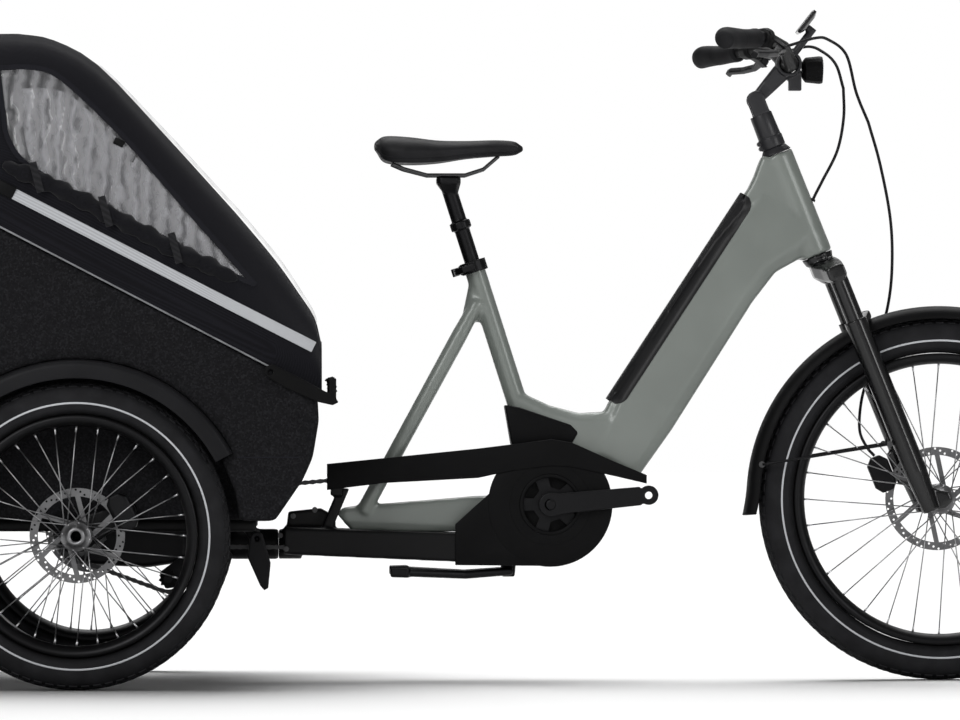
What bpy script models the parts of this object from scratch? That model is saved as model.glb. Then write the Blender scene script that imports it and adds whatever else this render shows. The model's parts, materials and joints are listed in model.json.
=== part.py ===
# Electric cargo tricycle
#
# A tilting front frame with one steered wheel pulls a two-wheeled platform with a moulded box.
# Metres, +X forward, +Y to the rider's left, +Z up. The origin lies on the floor, midway along
# the length and on the middle plane. Each named object is one physical piece. Each moving group
# hangs from an empty that stands on its joint.

import math

import bmesh
import bpy
from mathutils import Matrix, Vector

# Driving sizes: wheels
FRONT_TYRE_RADIUS = 0.3135
FRONT_TYRE_WIDTH = 0.060
FRONT_BEAD_RADIUS = 0.2535
REAR_TYRE_RADIUS = 0.258
REAR_TYRE_WIDTH = 0.055
REAR_BEAD_RADIUS = 0.203
RIM_DEPTH = 0.019
RIM_WIDTH = 0.034
RIM_LIP = 0.004
SPOKE_COUNT = 32
SPOKE_RADIUS = 0.0013
SPOKE_CROSSINGS = 2
FLANGE_SPLIT = 0.0028
FRONT_HUB_WIDTH = 0.100
FRONT_FLANGE_RADIUS = 0.026
FRONT_FLANGE_SPACING = 0.058
REAR_HUB_LENGTH = 0.074
REAR_FLANGE_RADIUS = 0.026
REAR_FLANGE_SPACING = 0.046
AXLE_STUB_RADIUS = 0.012
DISC_THICKNESS = 0.0022
FRONT_DISC_RADIUS = 0.090
REAR_DISC_RADIUS = 0.080
DISC_BAND = 0.014
WHEELBASE = 1.483
FRONT_AXLE_X = 0.8115
TRACK = 0.800
TYRE_SEGMENTS = 36

# Driving sizes: steering
HEAD_ANGLE = 68.2
HEAD_TOP = (0.529, 0.912)
HEAD_TUBE_LENGTH = 0.189
HEAD_TUBE_RADIUS = 0.0285
FORK_LEG_SPACING = 0.132
FORK_LEG_OFFSET = 0.015
STANCHION_RADIUS = 0.016
LOWER_LEG_RADIUS = 0.0205
STANCHION_SHOWN = 0.075
FORK_TRAVEL = 0.060
STEM_PIVOT = (0.493, 1.006)
BAR_CLAMP = (0.550, 1.068)
BAR_RADIUS = 0.011
BAR_CLAMP_RADIUS = 0.0159
BAR_CENTRE_HALF = 0.050
BAR_SHOULDER = (0.500, 0.200, 1.104)
BAR_END = (0.418, 0.355, 1.092)
LEVER_REACH = 0.046
LEVER_LENGTH = 0.135
FENDER_RADIUS = 0.335
FENDER_WIDTH = 0.076
FENDER_WALL = 0.0025
FENDER_REAR_ANGLE = 184.7
FENDER_FRONT_ANGLE = 60.0
GRIP_LENGTH = 0.130

# Driving sizes: frame and drive
CRANK_AXLE = (0.134, 0.305)
CRANK_LENGTH = 0.170
CRANK_RISE_ANGLE = 5.4
CRANK_INNER = 0.068
CRANK_THICKNESS = 0.014
SPINDLE_RADIUS = 0.012
CHAIN_PITCH = 0.0127
CHAINRING_TEETH = 38
SPROCKET_TEETH = 24
JOCKEY_TEETH = 11
CHAIN_LINE = -0.050
CHAIN_WIDTH = 0.006
CHAIN_HEIGHT = 0.009
SEAT_TUBE_TOP = (0.001, 0.724)
SEAT_TUBE_ANGLE = 72.3
SEAT_TUBE_RADIUS = 0.0185
SEAT_POST_RADIUS = 0.0136
DOWN_TUBE_DEPTH = 0.116
DOWN_TUBE_WIDTH = 0.078
TILT_AXIS = (-0.330, 0.236)

# Driving sizes: rear platform
BOX_REAR_X = -1.125
BOX_HALF_WIDTH = 0.422
BOX_WALL = 0.024
BOX_FLOOR = 0.283
BOX_SEAM = 0.390
ARCH_OUTER_RADIUS = 0.2955
ARCH_LIP_RADIUS = 0.2640
ARCH_PROUD = 0.0175
ARCH_HALF_WIDTH = BOX_HALF_WIDTH + ARCH_PROUD
HOOD_WALL = 0.006

# Clearances
GAP = 0.0003
RUNNING_GAP = 0.0015
BEARING_GAP = 0.0004


def polar(radius, degrees, centre=(0.0, 0.0)):
    """A point at an angle on a circle."""
    turn = math.radians(degrees)
    return (centre[0] + radius * math.cos(turn), centre[1] + radius * math.sin(turn))


def pitch_radius(teeth):
    """The radius of the pitch circle of a chain wheel."""
    return CHAIN_PITCH / (2.0 * math.sin(math.pi / teeth))


REAR_AXLE_X = FRONT_AXLE_X - WHEELBASE
FRONT_AXLE = Vector((FRONT_AXLE_X, 0.0, FRONT_TYRE_RADIUS))
REAR_AXLE = Vector((REAR_AXLE_X, 0.0, REAR_TYRE_RADIUS))
HEAD_DOWN = Vector((math.cos(math.radians(HEAD_ANGLE)), 0.0, -math.sin(math.radians(HEAD_ANGLE))))
HEAD_FORWARD = Vector((math.sin(math.radians(HEAD_ANGLE)), 0.0, math.cos(math.radians(HEAD_ANGLE))))
HEAD_TOP_POINT = Vector((HEAD_TOP[0], 0.0, HEAD_TOP[1]))
HEAD_BOTTOM_POINT = HEAD_TOP_POINT + HEAD_DOWN * HEAD_TUBE_LENGTH
SEAT_DOWN = Vector((math.cos(math.radians(SEAT_TUBE_ANGLE)), 0.0, -math.sin(math.radians(SEAT_TUBE_ANGLE))))
SEAT_TOP_POINT = Vector((SEAT_TUBE_TOP[0], 0.0, SEAT_TUBE_TOP[1]))
CRANK_POINT = Vector((CRANK_AXLE[0], 0.0, CRANK_AXLE[1]))
TILT_POINT = Vector((TILT_AXIS[0], 0.0, TILT_AXIS[1]))
RIGHT = -1
LEFT = 1


# Helpers


def clear_scene():
    """Remove every object of the open file."""
    for item in list(bpy.data.objects):
        bpy.data.objects.remove(item, do_unlink=True)


MATERIALS = {}


def material(name, colour, roughness, metallic=0.0, alpha=1.0):
    """A plain Principled material, made once for each name."""
    if name not in MATERIALS:
        made = bpy.data.materials.new(name)
        made.use_nodes = True
        shader = made.node_tree.nodes["Principled BSDF"]
        shader.inputs["Base Color"].default_value = (*colour, 1.0)
        shader.inputs["Roughness"].default_value = roughness
        shader.inputs["Metallic"].default_value = metallic
        shader.inputs["Alpha"].default_value = alpha
        made.diffuse_color = (*colour, alpha)
        MATERIALS[name] = made
    return MATERIALS[name]


def frame_paint():
    return material("frame_paint", (0.27, 0.30, 0.27), 0.45, 0.1)


def black_paint():
    return material("black_paint", (0.012, 0.012, 0.013), 0.4, 0.2)


def black_plastic():
    return material("black_plastic", (0.02, 0.02, 0.021), 0.55)


def rubber():
    return material("rubber", (0.016, 0.016, 0.018), 0.75)


def steel():
    return material("steel", (0.5, 0.5, 0.5), 0.35, 1.0)


def dark_steel():
    return material("dark_steel", (0.05, 0.05, 0.052), 0.4, 0.9)


def foam():
    return material("foam", (0.026, 0.026, 0.027), 0.8)


def fabric():
    return material("fabric", (0.018, 0.018, 0.02), 0.9)


EMPTIES = {}


def body(name, at, parent=None):
    """An empty that stands on a joint and carries the pieces that move together there."""
    empty = bpy.data.objects.new(name + "_group", None)
    bpy.context.scene.collection.objects.link(empty)
    empty.location = Vector(at)
    if parent:
        empty.parent = EMPTIES[parent][0]
        empty.location = Vector(at) - EMPTIES[parent][1]
    EMPTIES[name] = (empty, Vector(at))
    return empty


def finish(bm, name, finish_material, carrier, sharp=35.0):
    """Turn a mesh in world coordinates into a named object on its carrier."""
    bmesh.ops.remove_doubles(bm, verts=bm.verts, dist=1e-6)
    bmesh.ops.recalc_face_normals(bm, faces=bm.faces)
    empty, at = EMPTIES[carrier]
    bm.transform(Matrix.Translation(-at))
    mesh = bpy.data.meshes.new(name)
    bm.to_mesh(mesh)
    bm.free()
    mesh.materials.append(finish_material)
    mesh.shade_smooth()
    mesh.set_sharp_from_angle(angle=math.radians(sharp))
    made = bpy.data.objects.new(name, mesh)
    bpy.context.scene.collection.objects.link(made)
    made.parent = empty
    return made


def tool(bm, carrier):
    """A shape that is joined to or cut from another one, and then removed."""
    made = finish(bm, "tool", black_plastic(), carrier)
    made.hide_render = True
    made.display_type = "WIRE"
    return made


def combine(target, tools, operation):
    """Apply one Boolean with a group of tools, and remove the tools."""
    group = bpy.data.collections.new("tools")
    for item in tools:
        group.objects.link(item)
    step = target.modifiers.new(operation.lower(), "BOOLEAN")
    step.operation = operation
    step.operand_type = "COLLECTION"
    step.collection = group
    step.solver = "EXACT"
    step.use_self = True
    bpy.context.view_layer.update()
    graph = bpy.context.evaluated_depsgraph_get()
    finished = bpy.data.meshes.new_from_object(target.evaluated_get(graph))
    target.modifiers.clear()
    old = target.data
    finished.name = old.name
    target.data = finished
    bpy.data.meshes.remove(old)
    for item in tools:
        bpy.data.objects.remove(item, do_unlink=True)
    bpy.data.collections.remove(group)
    smooth_bodies(target)
    return target


def smooth_bodies(target, sharp=35.0):
    """Shade the round faces of a cut or joined piece smooth."""
    target.data.shade_smooth()
    target.data.set_sharp_from_angle(angle=math.radians(sharp))


def fuse(target, tools):
    return combine(target, tools, "UNION")


def cut(target, tools):
    return combine(target, tools, "DIFFERENCE")


def loft(bm, rings, closed=False):
    """Skin a row of rings that have the same number of points, and close its two ends."""
    rows = [[bm.verts.new(point) for point in ring] for ring in rings]
    pairs = list(zip(rows, rows[1:]))
    if closed:
        pairs.append((rows[-1], rows[0]))
    for here, there in pairs:
        count = len(here)
        for index in range(count):
            following = (index + 1) % count
            bm.faces.new((here[index], here[following], there[following], there[index]))
    if not closed:
        bm.faces.new(list(reversed(rows[0])))
        bm.faces.new(rows[-1])
    return bm


def oval(centre, across, up, sides, start=0.0):
    """A ring of points round a centre, on two half axes."""
    return [
        Vector(centre)
        + Vector(across) * math.cos(math.radians(start + 360.0 * index / sides))
        + Vector(up) * math.sin(math.radians(start + 360.0 * index / sides))
        for index in range(sides)
    ]


def rounded(centre, across, up, corner=0.3):
    """A ring of eight points: a rectangle on two half axes, with its corners cut."""
    ring = []
    for turn in range(4):
        first, second = (
            (across, up), (up, -Vector(across)), (-Vector(across), -Vector(up)), (-Vector(up), across)
        )[turn]
        first, second = Vector(first), Vector(second)
        ring.append(Vector(centre) + first + second * (1.0 - corner))
        ring.append(Vector(centre) + first * (1.0 - corner) + second)
    return ring


def tube(bm, path, radius, sides=10, start=None):
    """A round tube along a path of points, with mitred bends."""
    points = [Vector(point) for point in path]
    radii = radius if isinstance(radius, (list, tuple)) else [radius] * len(points)
    rings = []
    reference = None
    for index, point in enumerate(points):
        before = points[max(index - 1, 0)]
        after = points[min(index + 1, len(points) - 1)]
        incoming = (point - before).normalized() if index else (after - point).normalized()
        outgoing = (after - point).normalized() if index < len(points) - 1 else incoming
        along = (incoming + outgoing).normalized()
        if reference is None:
            reference = Vector((0.0, 1.0, 0.0)) if abs(along.y) < 0.9 else Vector((0.0, 0.0, 1.0))
        side = along.cross(reference).normalized()
        normal = side.cross(along).normalized()
        reference = normal
        stretch = 1.0 / max(along.dot(incoming), 0.5)
        bend = incoming.cross(outgoing)
        half_side, half_up = side * radii[index], normal * radii[index]
        if bend.length > 1e-4:
            hinge = bend.normalized()
            lengthen = hinge.cross(along)
            half_side += lengthen * (half_side.dot(lengthen)) * (stretch - 1.0)
            half_up += lengthen * (half_up.dot(lengthen)) * (stretch - 1.0)
        rings.append(oval(point, half_side, half_up, sides, 180.0 / sides if start is None else start))
    return loft(bm, rings)


def rod(bm, start, end, radius, sides=12, end_radius=None):
    """A straight round bar or cone between two points."""
    return tube(bm, (start, end), [radius, radius if end_radius is None else end_radius], sides)


def turned(bm, profile, centre, axis="Y", sides=24, start=None):
    """Spin a closed profile of (along, radius) points round an axis through a centre."""
    centre = Vector(centre)
    direction = {"X": Vector((1, 0, 0)), "Y": Vector((0, 1, 0)), "Z": Vector((0, 0, 1))}[axis]
    outward = {"X": Vector((0, 1, 0)), "Y": Vector((0, 0, 1)), "Z": Vector((1, 0, 0))}[axis]
    turn = Matrix.Rotation(math.pi / sides if start is None else start, 3, direction)
    outward = turn @ outward
    verts = [bm.verts.new(centre + direction * along + outward * radius) for along, radius in profile]
    edges = [bm.edges.new((verts[index], verts[(index + 1) % len(verts)])) for index in range(len(verts))]
    bmesh.ops.spin(
        bm, geom=verts + edges, cent=centre, axis=direction, angle=2.0 * math.pi, steps=sides, use_merge=True
    )
    return bm


def solid_turned(bm, profile, centre, axis="Y", sides=24):
    """Loft round plates of unlike radius along an axis: a turned solid with flat ends."""
    centre = Vector(centre)
    direction = {"X": Vector((1, 0, 0)), "Y": Vector((0, 1, 0)), "Z": Vector((0, 0, 1))}[axis]
    across = {"X": Vector((0, 1, 0)), "Y": Vector((0, 0, 1)), "Z": Vector((1, 0, 0))}[axis]
    up = direction.cross(across)
    rings = [
        oval(centre + direction * along, across * radius, up * radius, sides, 180.0 / sides)
        for along, radius in profile
    ]
    return loft(bm, rings)


def plate(bm, outline, near, far):
    """Extrude a side-view outline of (x, z) points from one y to another."""
    rings = [[Vector((x, y, z)) for x, z in outline] for y in (near, far)]
    return loft(bm, rings)


def block(bm, low, high):
    """A box between two corners."""
    outline = ((low[0], low[2]), (high[0], low[2]), (high[0], high[2]), (low[0], high[2]))
    return plate(bm, outline, low[1], high[1])


def arc(radius, first, last, steps, centre=(0.0, 0.0)):
    """Points on an arc, ends included."""
    return [polar(radius, first + (last - first) * index / steps, centre) for index in range(steps + 1)]


def new_part(builder, *arguments, **named):
    """A fresh mesh filled by one builder."""
    return builder(bmesh.new(), *arguments, **named)


# Wheels


def tyre_profile(width, outer, bead):
    """The section of a tyre as (along, radius) points: tread, side walls, beads and air space."""
    half = width / 2.0
    height = outer - bead
    wall = 0.0055
    outside = [
        (-0.30 * width, bead + GAP),
        (-half, bead + 0.48 * height),
        (-0.76 * half, bead + 0.86 * height),
        (-0.28 * half, outer),
        (0.28 * half, outer),
        (0.76 * half, bead + 0.86 * height),
        (half, bead + 0.48 * height),
        (0.30 * width, bead + GAP),
    ]
    inside = [
        (0.30 * width - wall, bead + GAP),
        (0.0, outer - 2.0 * wall),
        (-0.30 * width + wall, bead + GAP),
    ]
    return outside + inside


def flat_facet(radius, sides):
    """The corner radius of a faceted ring whose flats lie at a radius."""
    return radius / math.cos(math.pi / sides)


def make_tyre(name, centre, width, outer, bead, carrier):
    """A hollow tyre that stands on a flat facet of its tread."""
    profile = [
        (along, flat_facet(radius, TYRE_SEGMENTS)) for along, radius in tyre_profile(width, outer, bead)
    ]
    made = new_part(turned, profile, centre, "Y", TYRE_SEGMENTS)
    return finish(made, name, rubber(), carrier, 50.0)


def rim_profile(bead):
    """The section of a double-wall rim, with the lips that hold the tyre's beads."""
    half = RIM_WIDTH / 2.0
    inner = bead - RIM_DEPTH
    return [
        (-half - RIM_LIP, bead - GAP),
        (-half - RIM_LIP, bead - 0.55 * RIM_DEPTH),
        (-0.45 * half, inner),
        (0.45 * half, inner),
        (half + RIM_LIP, bead - 0.55 * RIM_DEPTH),
        (half + RIM_LIP, bead - GAP),
    ]


def spoke_ends(index, bead, flange_radius, flange_spacing):
    """The hub end and the rim end of one spoke, as (along, radius, degrees)."""
    side = -1.0 if index % 2 else 1.0
    step = 360.0 / SPOKE_COUNT
    leading = (index // 2) % 2
    lean = (1.0 if leading else -1.0) * SPOKE_CROSSINGS * step * 2.0
    rim_angle = index * step
    hub_angle = rim_angle - lean
    hub_along = side * (flange_spacing / 2.0 + (FLANGE_SPLIT if leading else -FLANGE_SPLIT))
    return (hub_along, flange_radius - 0.003, hub_angle), (
        side * 0.003, bead - RIM_DEPTH + 0.004, rim_angle
    )


def wheel_point(centre, along, radius, degrees):
    """A point of a wheel from its place along the axle, its radius and its angle."""
    x, z = polar(radius, degrees)
    return centre + Vector((x, along, z))


def make_spokes(centre, bead, flange_radius, flange_spacing, carrier):
    """Tangent spokes that cross each other, each one a slim three-sided bar."""
    spokes = []
    for index in range(SPOKE_COUNT):
        hub_end, rim_end = spoke_ends(index, bead, flange_radius, flange_spacing)
        bar = bmesh.new()
        rod(bar, wheel_point(centre, *hub_end), wheel_point(centre, *rim_end), SPOKE_RADIUS, 3)
        spokes.append(tool(bar, carrier))
    return spokes


def make_spoked_wheel(name, centre, bead, hub_profile, flange_radius, flange_spacing, carrier):
    """Rim, hub and spokes, laced into one wheel."""
    rim = [(along, flat_facet(radius, TYRE_SEGMENTS)) for along, radius in rim_profile(bead)]
    wheel = finish(new_part(turned, rim, centre, "Y", TYRE_SEGMENTS), name, black_paint(), carrier)
    hub = tool(new_part(solid_turned, hub_profile, centre, "Y", 12), carrier)
    return fuse(wheel, [hub] + make_spokes(centre, bead, flange_radius, flange_spacing, carrier))


def front_hub_profile():
    """The front hub shell from its right end to its left end, with the disc seat on the left."""
    flange = FRONT_FLANGE_SPACING / 2.0
    half = FRONT_HUB_WIDTH / 2.0
    disc_face = front_disc_y() - DISC_THICKNESS / 2.0 - GAP
    return [
        (-half + GAP, 0.010),
        (-flange - 0.006, 0.014),
        (-flange - 0.0035, FRONT_FLANGE_RADIUS),
        (-flange + 0.0035, FRONT_FLANGE_RADIUS),
        (-flange + 0.008, 0.014),
        (flange - 0.008, 0.014),
        (flange - 0.0035, FRONT_FLANGE_RADIUS),
        (flange + 0.0035, FRONT_FLANGE_RADIUS),
        (disc_face, 0.022),
    ]


def front_disc_y():
    """The middle of the front disc, on the left of the hub."""
    return FRONT_FLANGE_SPACING / 2.0 + 0.0115


def rear_disc_y(side):
    """The middle of a rear disc, on the inner side of its wheel."""
    return side * (TRACK / 2.0 - REAR_HUB_LENGTH / 2.0 - 0.006)


def rear_hub_profile(side):
    """A rear hub shell from its inner end to its outer cap."""
    flange = REAR_FLANGE_SPACING / 2.0
    half = REAR_HUB_LENGTH / 2.0
    disc_face = side * rear_disc_y(side) - TRACK / 2.0 + DISC_THICKNESS / 2.0 + GAP
    profile = [
        (disc_face, 0.022),
        (-flange - 0.0035, REAR_FLANGE_RADIUS),
        (-flange + 0.0035, REAR_FLANGE_RADIUS),
        (-flange + 0.008, 0.019),
        (flange - 0.008, 0.019),
        (flange - 0.0035, REAR_FLANGE_RADIUS),
        (flange + 0.0035, REAR_FLANGE_RADIUS),
        (half - 0.006, 0.018),
        (half, 0.012),
    ]
    return [(side * along, radius) for along, radius in profile]


def make_disc(name, centre, radius, carrier, bore):
    """A brake disc: a slotted band on swept arms and a centre ring."""
    half = DISC_THICKNESS / 2.0
    inner = radius - DISC_BAND
    band = new_part(
        turned, [(-half, inner), (-half, radius), (half, radius), (half, inner)], centre, "Y", 20
    )
    disc = finish(band, name, steel(), carrier)
    ring_radius = 0.026
    ring = tool(
        new_part(
            turned,
            [(-half, bore), (-half, ring_radius), (half, ring_radius), (half, bore)],
            centre,
            "Y",
            12,
        ),
        carrier,
    )
    arms = []
    for index in range(6):
        angle = index * 60.0
        root = [polar(ring_radius - 0.003, angle + shift) for shift in (-8.0, 8.0)]
        tip = [polar(inner + 0.003, angle + 30.0 + shift) for shift in (3.5, -3.5)]
        outline = [(centre.x + x, centre.z + z) for x, z in root + tip]
        arms.append(tool(new_part(plate, outline, centre.y - half, centre.y + half), carrier))
    fuse(disc, [ring] + arms)
    slots = []
    for index in range(6):
        angle = index * 60.0
        outline = [
            polar(inner + 0.0035, angle + 9.0),
            polar(radius - 0.0035, angle + 17.0),
            polar(radius - 0.0035, angle + 22.0),
            polar(inner + 0.0035, angle + 14.0),
        ]
        outline = [(centre.x + x, centre.z + z) for x, z in outline]
        slots.append(tool(new_part(plate, outline, centre.y - 0.004, centre.y + 0.004), carrier))
    return cut(disc, slots)


def make_front_wheel():
    make_tyre(
        "front_tyre", FRONT_AXLE, FRONT_TYRE_WIDTH, FRONT_TYRE_RADIUS, FRONT_BEAD_RADIUS, "front_wheel"
    )
    make_spoked_wheel(
        "front_spoked_wheel",
        FRONT_AXLE,
        FRONT_BEAD_RADIUS,
        front_hub_profile(),
        FRONT_FLANGE_RADIUS,
        FRONT_FLANGE_SPACING,
        "front_wheel",
    )
    centre = FRONT_AXLE + Vector((0.0, front_disc_y(), 0.0))
    make_disc("front_brake_disc", centre, FRONT_DISC_RADIUS, "front_wheel", 0.014)


def make_rear_wheel(side, label):
    centre = REAR_AXLE + Vector((0.0, side * TRACK / 2.0, 0.0))
    carrier = "rear_wheel_" + label
    make_tyre("rear_tyre_" + label, centre, REAR_TYRE_WIDTH, REAR_TYRE_RADIUS, REAR_BEAD_RADIUS, carrier)
    make_spoked_wheel(
        "rear_spoked_wheel_" + label,
        centre,
        REAR_BEAD_RADIUS,
        rear_hub_profile(side),
        REAR_FLANGE_RADIUS,
        REAR_FLANGE_SPACING,
        carrier,
    )
    disc_centre = REAR_AXLE + Vector((0.0, rear_disc_y(side), 0.0))
    make_disc(
        "rear_brake_disc_" + label, disc_centre, REAR_DISC_RADIUS, carrier, AXLE_STUB_RADIUS + RUNNING_GAP
    )


# Fork, front fender and front brake


def on_head_axis(down, forward=0.0, across=0.0):
    """A point by its distance below the head tube, ahead of the steering axis and to the left."""
    return HEAD_BOTTOM_POINT + HEAD_DOWN * down + HEAD_FORWARD * forward + Vector((0.0, across, 0.0))


def axle_drop():
    """How far the front axle lies below the head tube, along the steering axis."""
    return (FRONT_AXLE - HEAD_BOTTOM_POINT).dot(HEAD_DOWN)


CROWN_BOTTOM = 0.052
LOWER_TOP = CROWN_BOTTOM + STANCHION_SHOWN
STANCHION_HELD = 0.080
STEERER_RADIUS = 0.0143
HEADSET_HEIGHT = 0.012
LEG_HALF = FORK_LEG_SPACING / 2.0


def make_fork_upper():
    """Steerer, lower headset race, crown and the two stanchions."""
    steerer = new_part(rod, on_head_axis(0.010), on_head_axis(-HEAD_TUBE_LENGTH), STEERER_RADIUS, 12)
    upper = finish(steerer, "fork_upper", black_paint(), "steering")
    pieces = [new_part(rod, on_head_axis(GAP), on_head_axis(0.014), HEAD_TUBE_RADIUS, 16, 0.024)]
    crown = bmesh.new()
    stations = (
        (-LEG_HALF - 0.017, 0.016, CROWN_BOTTOM - 0.024, CROWN_BOTTOM),
        (-LEG_HALF + 0.014, 0.020, CROWN_BOTTOM - 0.034, CROWN_BOTTOM),
        (-0.020, 0.024, 0.011, 0.040),
        (0.020, 0.024, 0.011, 0.040),
        (LEG_HALF - 0.014, 0.020, CROWN_BOTTOM - 0.034, CROWN_BOTTOM),
        (LEG_HALF + 0.017, 0.016, CROWN_BOTTOM - 0.024, CROWN_BOTTOM),
    )
    rings = []
    for y, depth, top, bottom in stations:
        shift = FORK_LEG_OFFSET * min(1.0, abs(y) / LEG_HALF)
        centre = on_head_axis((top + bottom) / 2.0, shift, y)
        rings.append(rounded(centre, HEAD_FORWARD * depth, HEAD_DOWN * (bottom - top) / 2.0))
    pieces.append(loft(crown, rings))
    for side in (RIGHT, LEFT):
        top = on_head_axis(CROWN_BOTTOM - 0.010, FORK_LEG_OFFSET, side * LEG_HALF)
        foot = on_head_axis(LOWER_TOP + STANCHION_HELD, FORK_LEG_OFFSET, side * LEG_HALF)
        pieces.append(new_part(rod, top, foot, STANCHION_RADIUS, 12))
    return fuse(upper, [tool(piece, "steering") for piece in pieces])


def make_fork_lowers():
    """The sliding legs with their arch, the dropouts and the brake mount."""
    arch_half = 0.008
    arch_middle = axle_drop() - FENDER_RADIUS - GAP - arch_half
    arch = bmesh.new()
    rings = []
    for y, forward, down in (
        (-LEG_HALF, FORK_LEG_OFFSET, LOWER_TOP + 0.020),
        (-0.030, FORK_LEG_OFFSET + 0.022, arch_middle),
        (0.030, FORK_LEG_OFFSET + 0.022, arch_middle),
        (LEG_HALF, FORK_LEG_OFFSET, LOWER_TOP + 0.020),
    ):
        centre = on_head_axis(down, forward, y)
        rings.append(rounded(centre, HEAD_FORWARD * 0.010, HEAD_DOWN * arch_half))
    lowers = finish(loft(arch, rings), "fork_lowers", black_paint(), "fork_slide")
    pieces = []
    for side in (RIGHT, LEFT):
        y = side * LEG_HALF
        top = on_head_axis(LOWER_TOP, FORK_LEG_OFFSET, y)
        knee = on_head_axis(axle_drop() - 0.060, FORK_LEG_OFFSET, y)
        foot = on_head_axis(axle_drop() + 0.012, FORK_LEG_OFFSET, y)
        leg = new_part(tube, (top, knee, foot), [LOWER_LEG_RADIUS, LOWER_LEG_RADIUS, 0.015], 12)
        pieces.append(leg)
        inner = side * (FRONT_HUB_WIDTH / 2.0)
        outer = side * (LEG_HALF + 0.006)
        along = [
            on_head_axis(axle_drop() + 0.010, FORK_LEG_OFFSET - 0.004), FRONT_AXLE - HEAD_DOWN * -0.016
        ]
        along += [FRONT_AXLE + HEAD_FORWARD * 0.016 + HEAD_DOWN * 0.008]
        along += [FRONT_AXLE + HEAD_FORWARD * 0.016 - HEAD_DOWN * 0.008, FRONT_AXLE - HEAD_DOWN * 0.018]
        along += [on_head_axis(axle_drop() - 0.034, FORK_LEG_OFFSET + 0.008)]
        dropout = new_part(plate, [(point.x, point.z) for point in along], inner, outer)
        pieces.append(dropout)
    mount_y = front_disc_y()
    post = [on_head_axis(axle_drop() - drop, FORK_LEG_OFFSET - 0.006) for drop in (0.040, 0.110)]
    post += [on_head_axis(axle_drop() - drop, FORK_LEG_OFFSET - 0.027) for drop in (0.104, 0.046)]
    pieces.append(new_part(plate, [(point.x, point.z) for point in post], mount_y + 0.0125, LEG_HALF))
    fuse(lowers, [tool(piece, "fork_slide") for piece in pieces])
    bores = []
    depth = LOWER_TOP + STANCHION_HELD + FORK_TRAVEL + 0.004
    for side in (RIGHT, LEFT):
        top = on_head_axis(LOWER_TOP - 0.010, FORK_LEG_OFFSET, side * LEG_HALF)
        foot = on_head_axis(depth, FORK_LEG_OFFSET, side * LEG_HALF)
        bores.append(
            tool(new_part(rod, top, foot, flat_facet(STANCHION_RADIUS + GAP, 12), 12), "fork_slide")
        )
    return cut(lowers, bores)


def make_front_fender():
    """A curved guard with a rolled section, held by the arch and two wire stays."""
    half = FENDER_WIDTH / 2.0
    section = [(-half, -0.020), (-0.78 * half, -0.004), (-0.30 * half, 0.0), (0.30 * half, 0.0)]
    section += [(0.78 * half, -0.004), (half, -0.020)]
    outside = [(along, FENDER_RADIUS + rise) for along, rise in section]
    inside = [(0.96 * along, FENDER_RADIUS - FENDER_WALL + rise) for along, rise in reversed(section)]
    steps = 14
    rings = []
    for index in range(steps + 1):
        angle = FENDER_REAR_ANGLE + (FENDER_FRONT_ANGLE - FENDER_REAR_ANGLE) * index / steps
        rings.append([wheel_point(FRONT_AXLE, along, radius, angle) for along, radius in outside + inside])
    fender = finish(loft(bmesh.new(), rings), "front_fender", black_plastic(), "fork_slide")
    stays = []
    for side in (RIGHT, LEFT):
        edge = wheel_point(FRONT_AXLE, side * (half - 0.0015), FENDER_RADIUS - 0.019, 169.0)
        leg_drop = 0.349
        seat = on_head_axis(leg_drop, FORK_LEG_OFFSET - LOWER_LEG_RADIUS - 0.0035, side * LEG_HALF)
        bend = edge + (seat - edge) * 0.12 + Vector((0.0, side * 0.009, 0.0))
        stays.append(tool(new_part(tube, (edge, bend, seat), 0.0027, 6), "fork_slide"))
    return fuse(fender, stays)


def make_front_caliper():
    """The brake caliper, a bevelled body that straddles the disc."""
    y = front_disc_y()
    low, high = axle_drop() - 0.108, axle_drop() - 0.044
    rings = []
    for down, depth in ((low, 0.008), (low + 0.012, 0.019), (high - 0.012, 0.019), (high, 0.010)):
        centre = on_head_axis(down, FORK_LEG_OFFSET - 0.0485, y + 0.0005)
        rings.append(rounded(centre, HEAD_FORWARD * depth, Vector((0.0, 0.0115, 0.0))))
    caliper = finish(loft(bmesh.new(), rings), "front_caliper", black_paint(), "fork_slide")
    slot = FRONT_DISC_RADIUS + 0.004
    outline = [(FRONT_AXLE.x + x, FRONT_AXLE.z + z) for x, z in arc(slot, 100.0, 230.0, 16)]
    outline.append((FRONT_AXLE.x, FRONT_AXLE.z))
    half = DISC_THICKNESS / 2.0 + 0.0009
    return cut(caliper, [tool(new_part(plate, outline, y - half, y + half), "fork_slide")])


# Stem, handlebar and what it carries


STEM_PIVOT_POINT = Vector((STEM_PIVOT[0], 0.0, STEM_PIVOT[1]))
BAR_POINT = Vector((BAR_CLAMP[0], 0.0, BAR_CLAMP[1]))
STEM_KNUCKLE = 0.0156
STEM_TONGUE = 0.0105
STEM_EAR = 0.019
DISPLAY_SEAT = BAR_POINT + Vector((0.032, 0.0, 0.064))
DISPLAY_TILT = 52.0
DISPLAY_FACE = Vector((math.cos(math.radians(DISPLAY_TILT)), 0.0, math.sin(math.radians(DISPLAY_TILT))))
DISPLAY_NORMAL = Vector((-DISPLAY_FACE.z, 0.0, DISPLAY_FACE.x))


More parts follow.
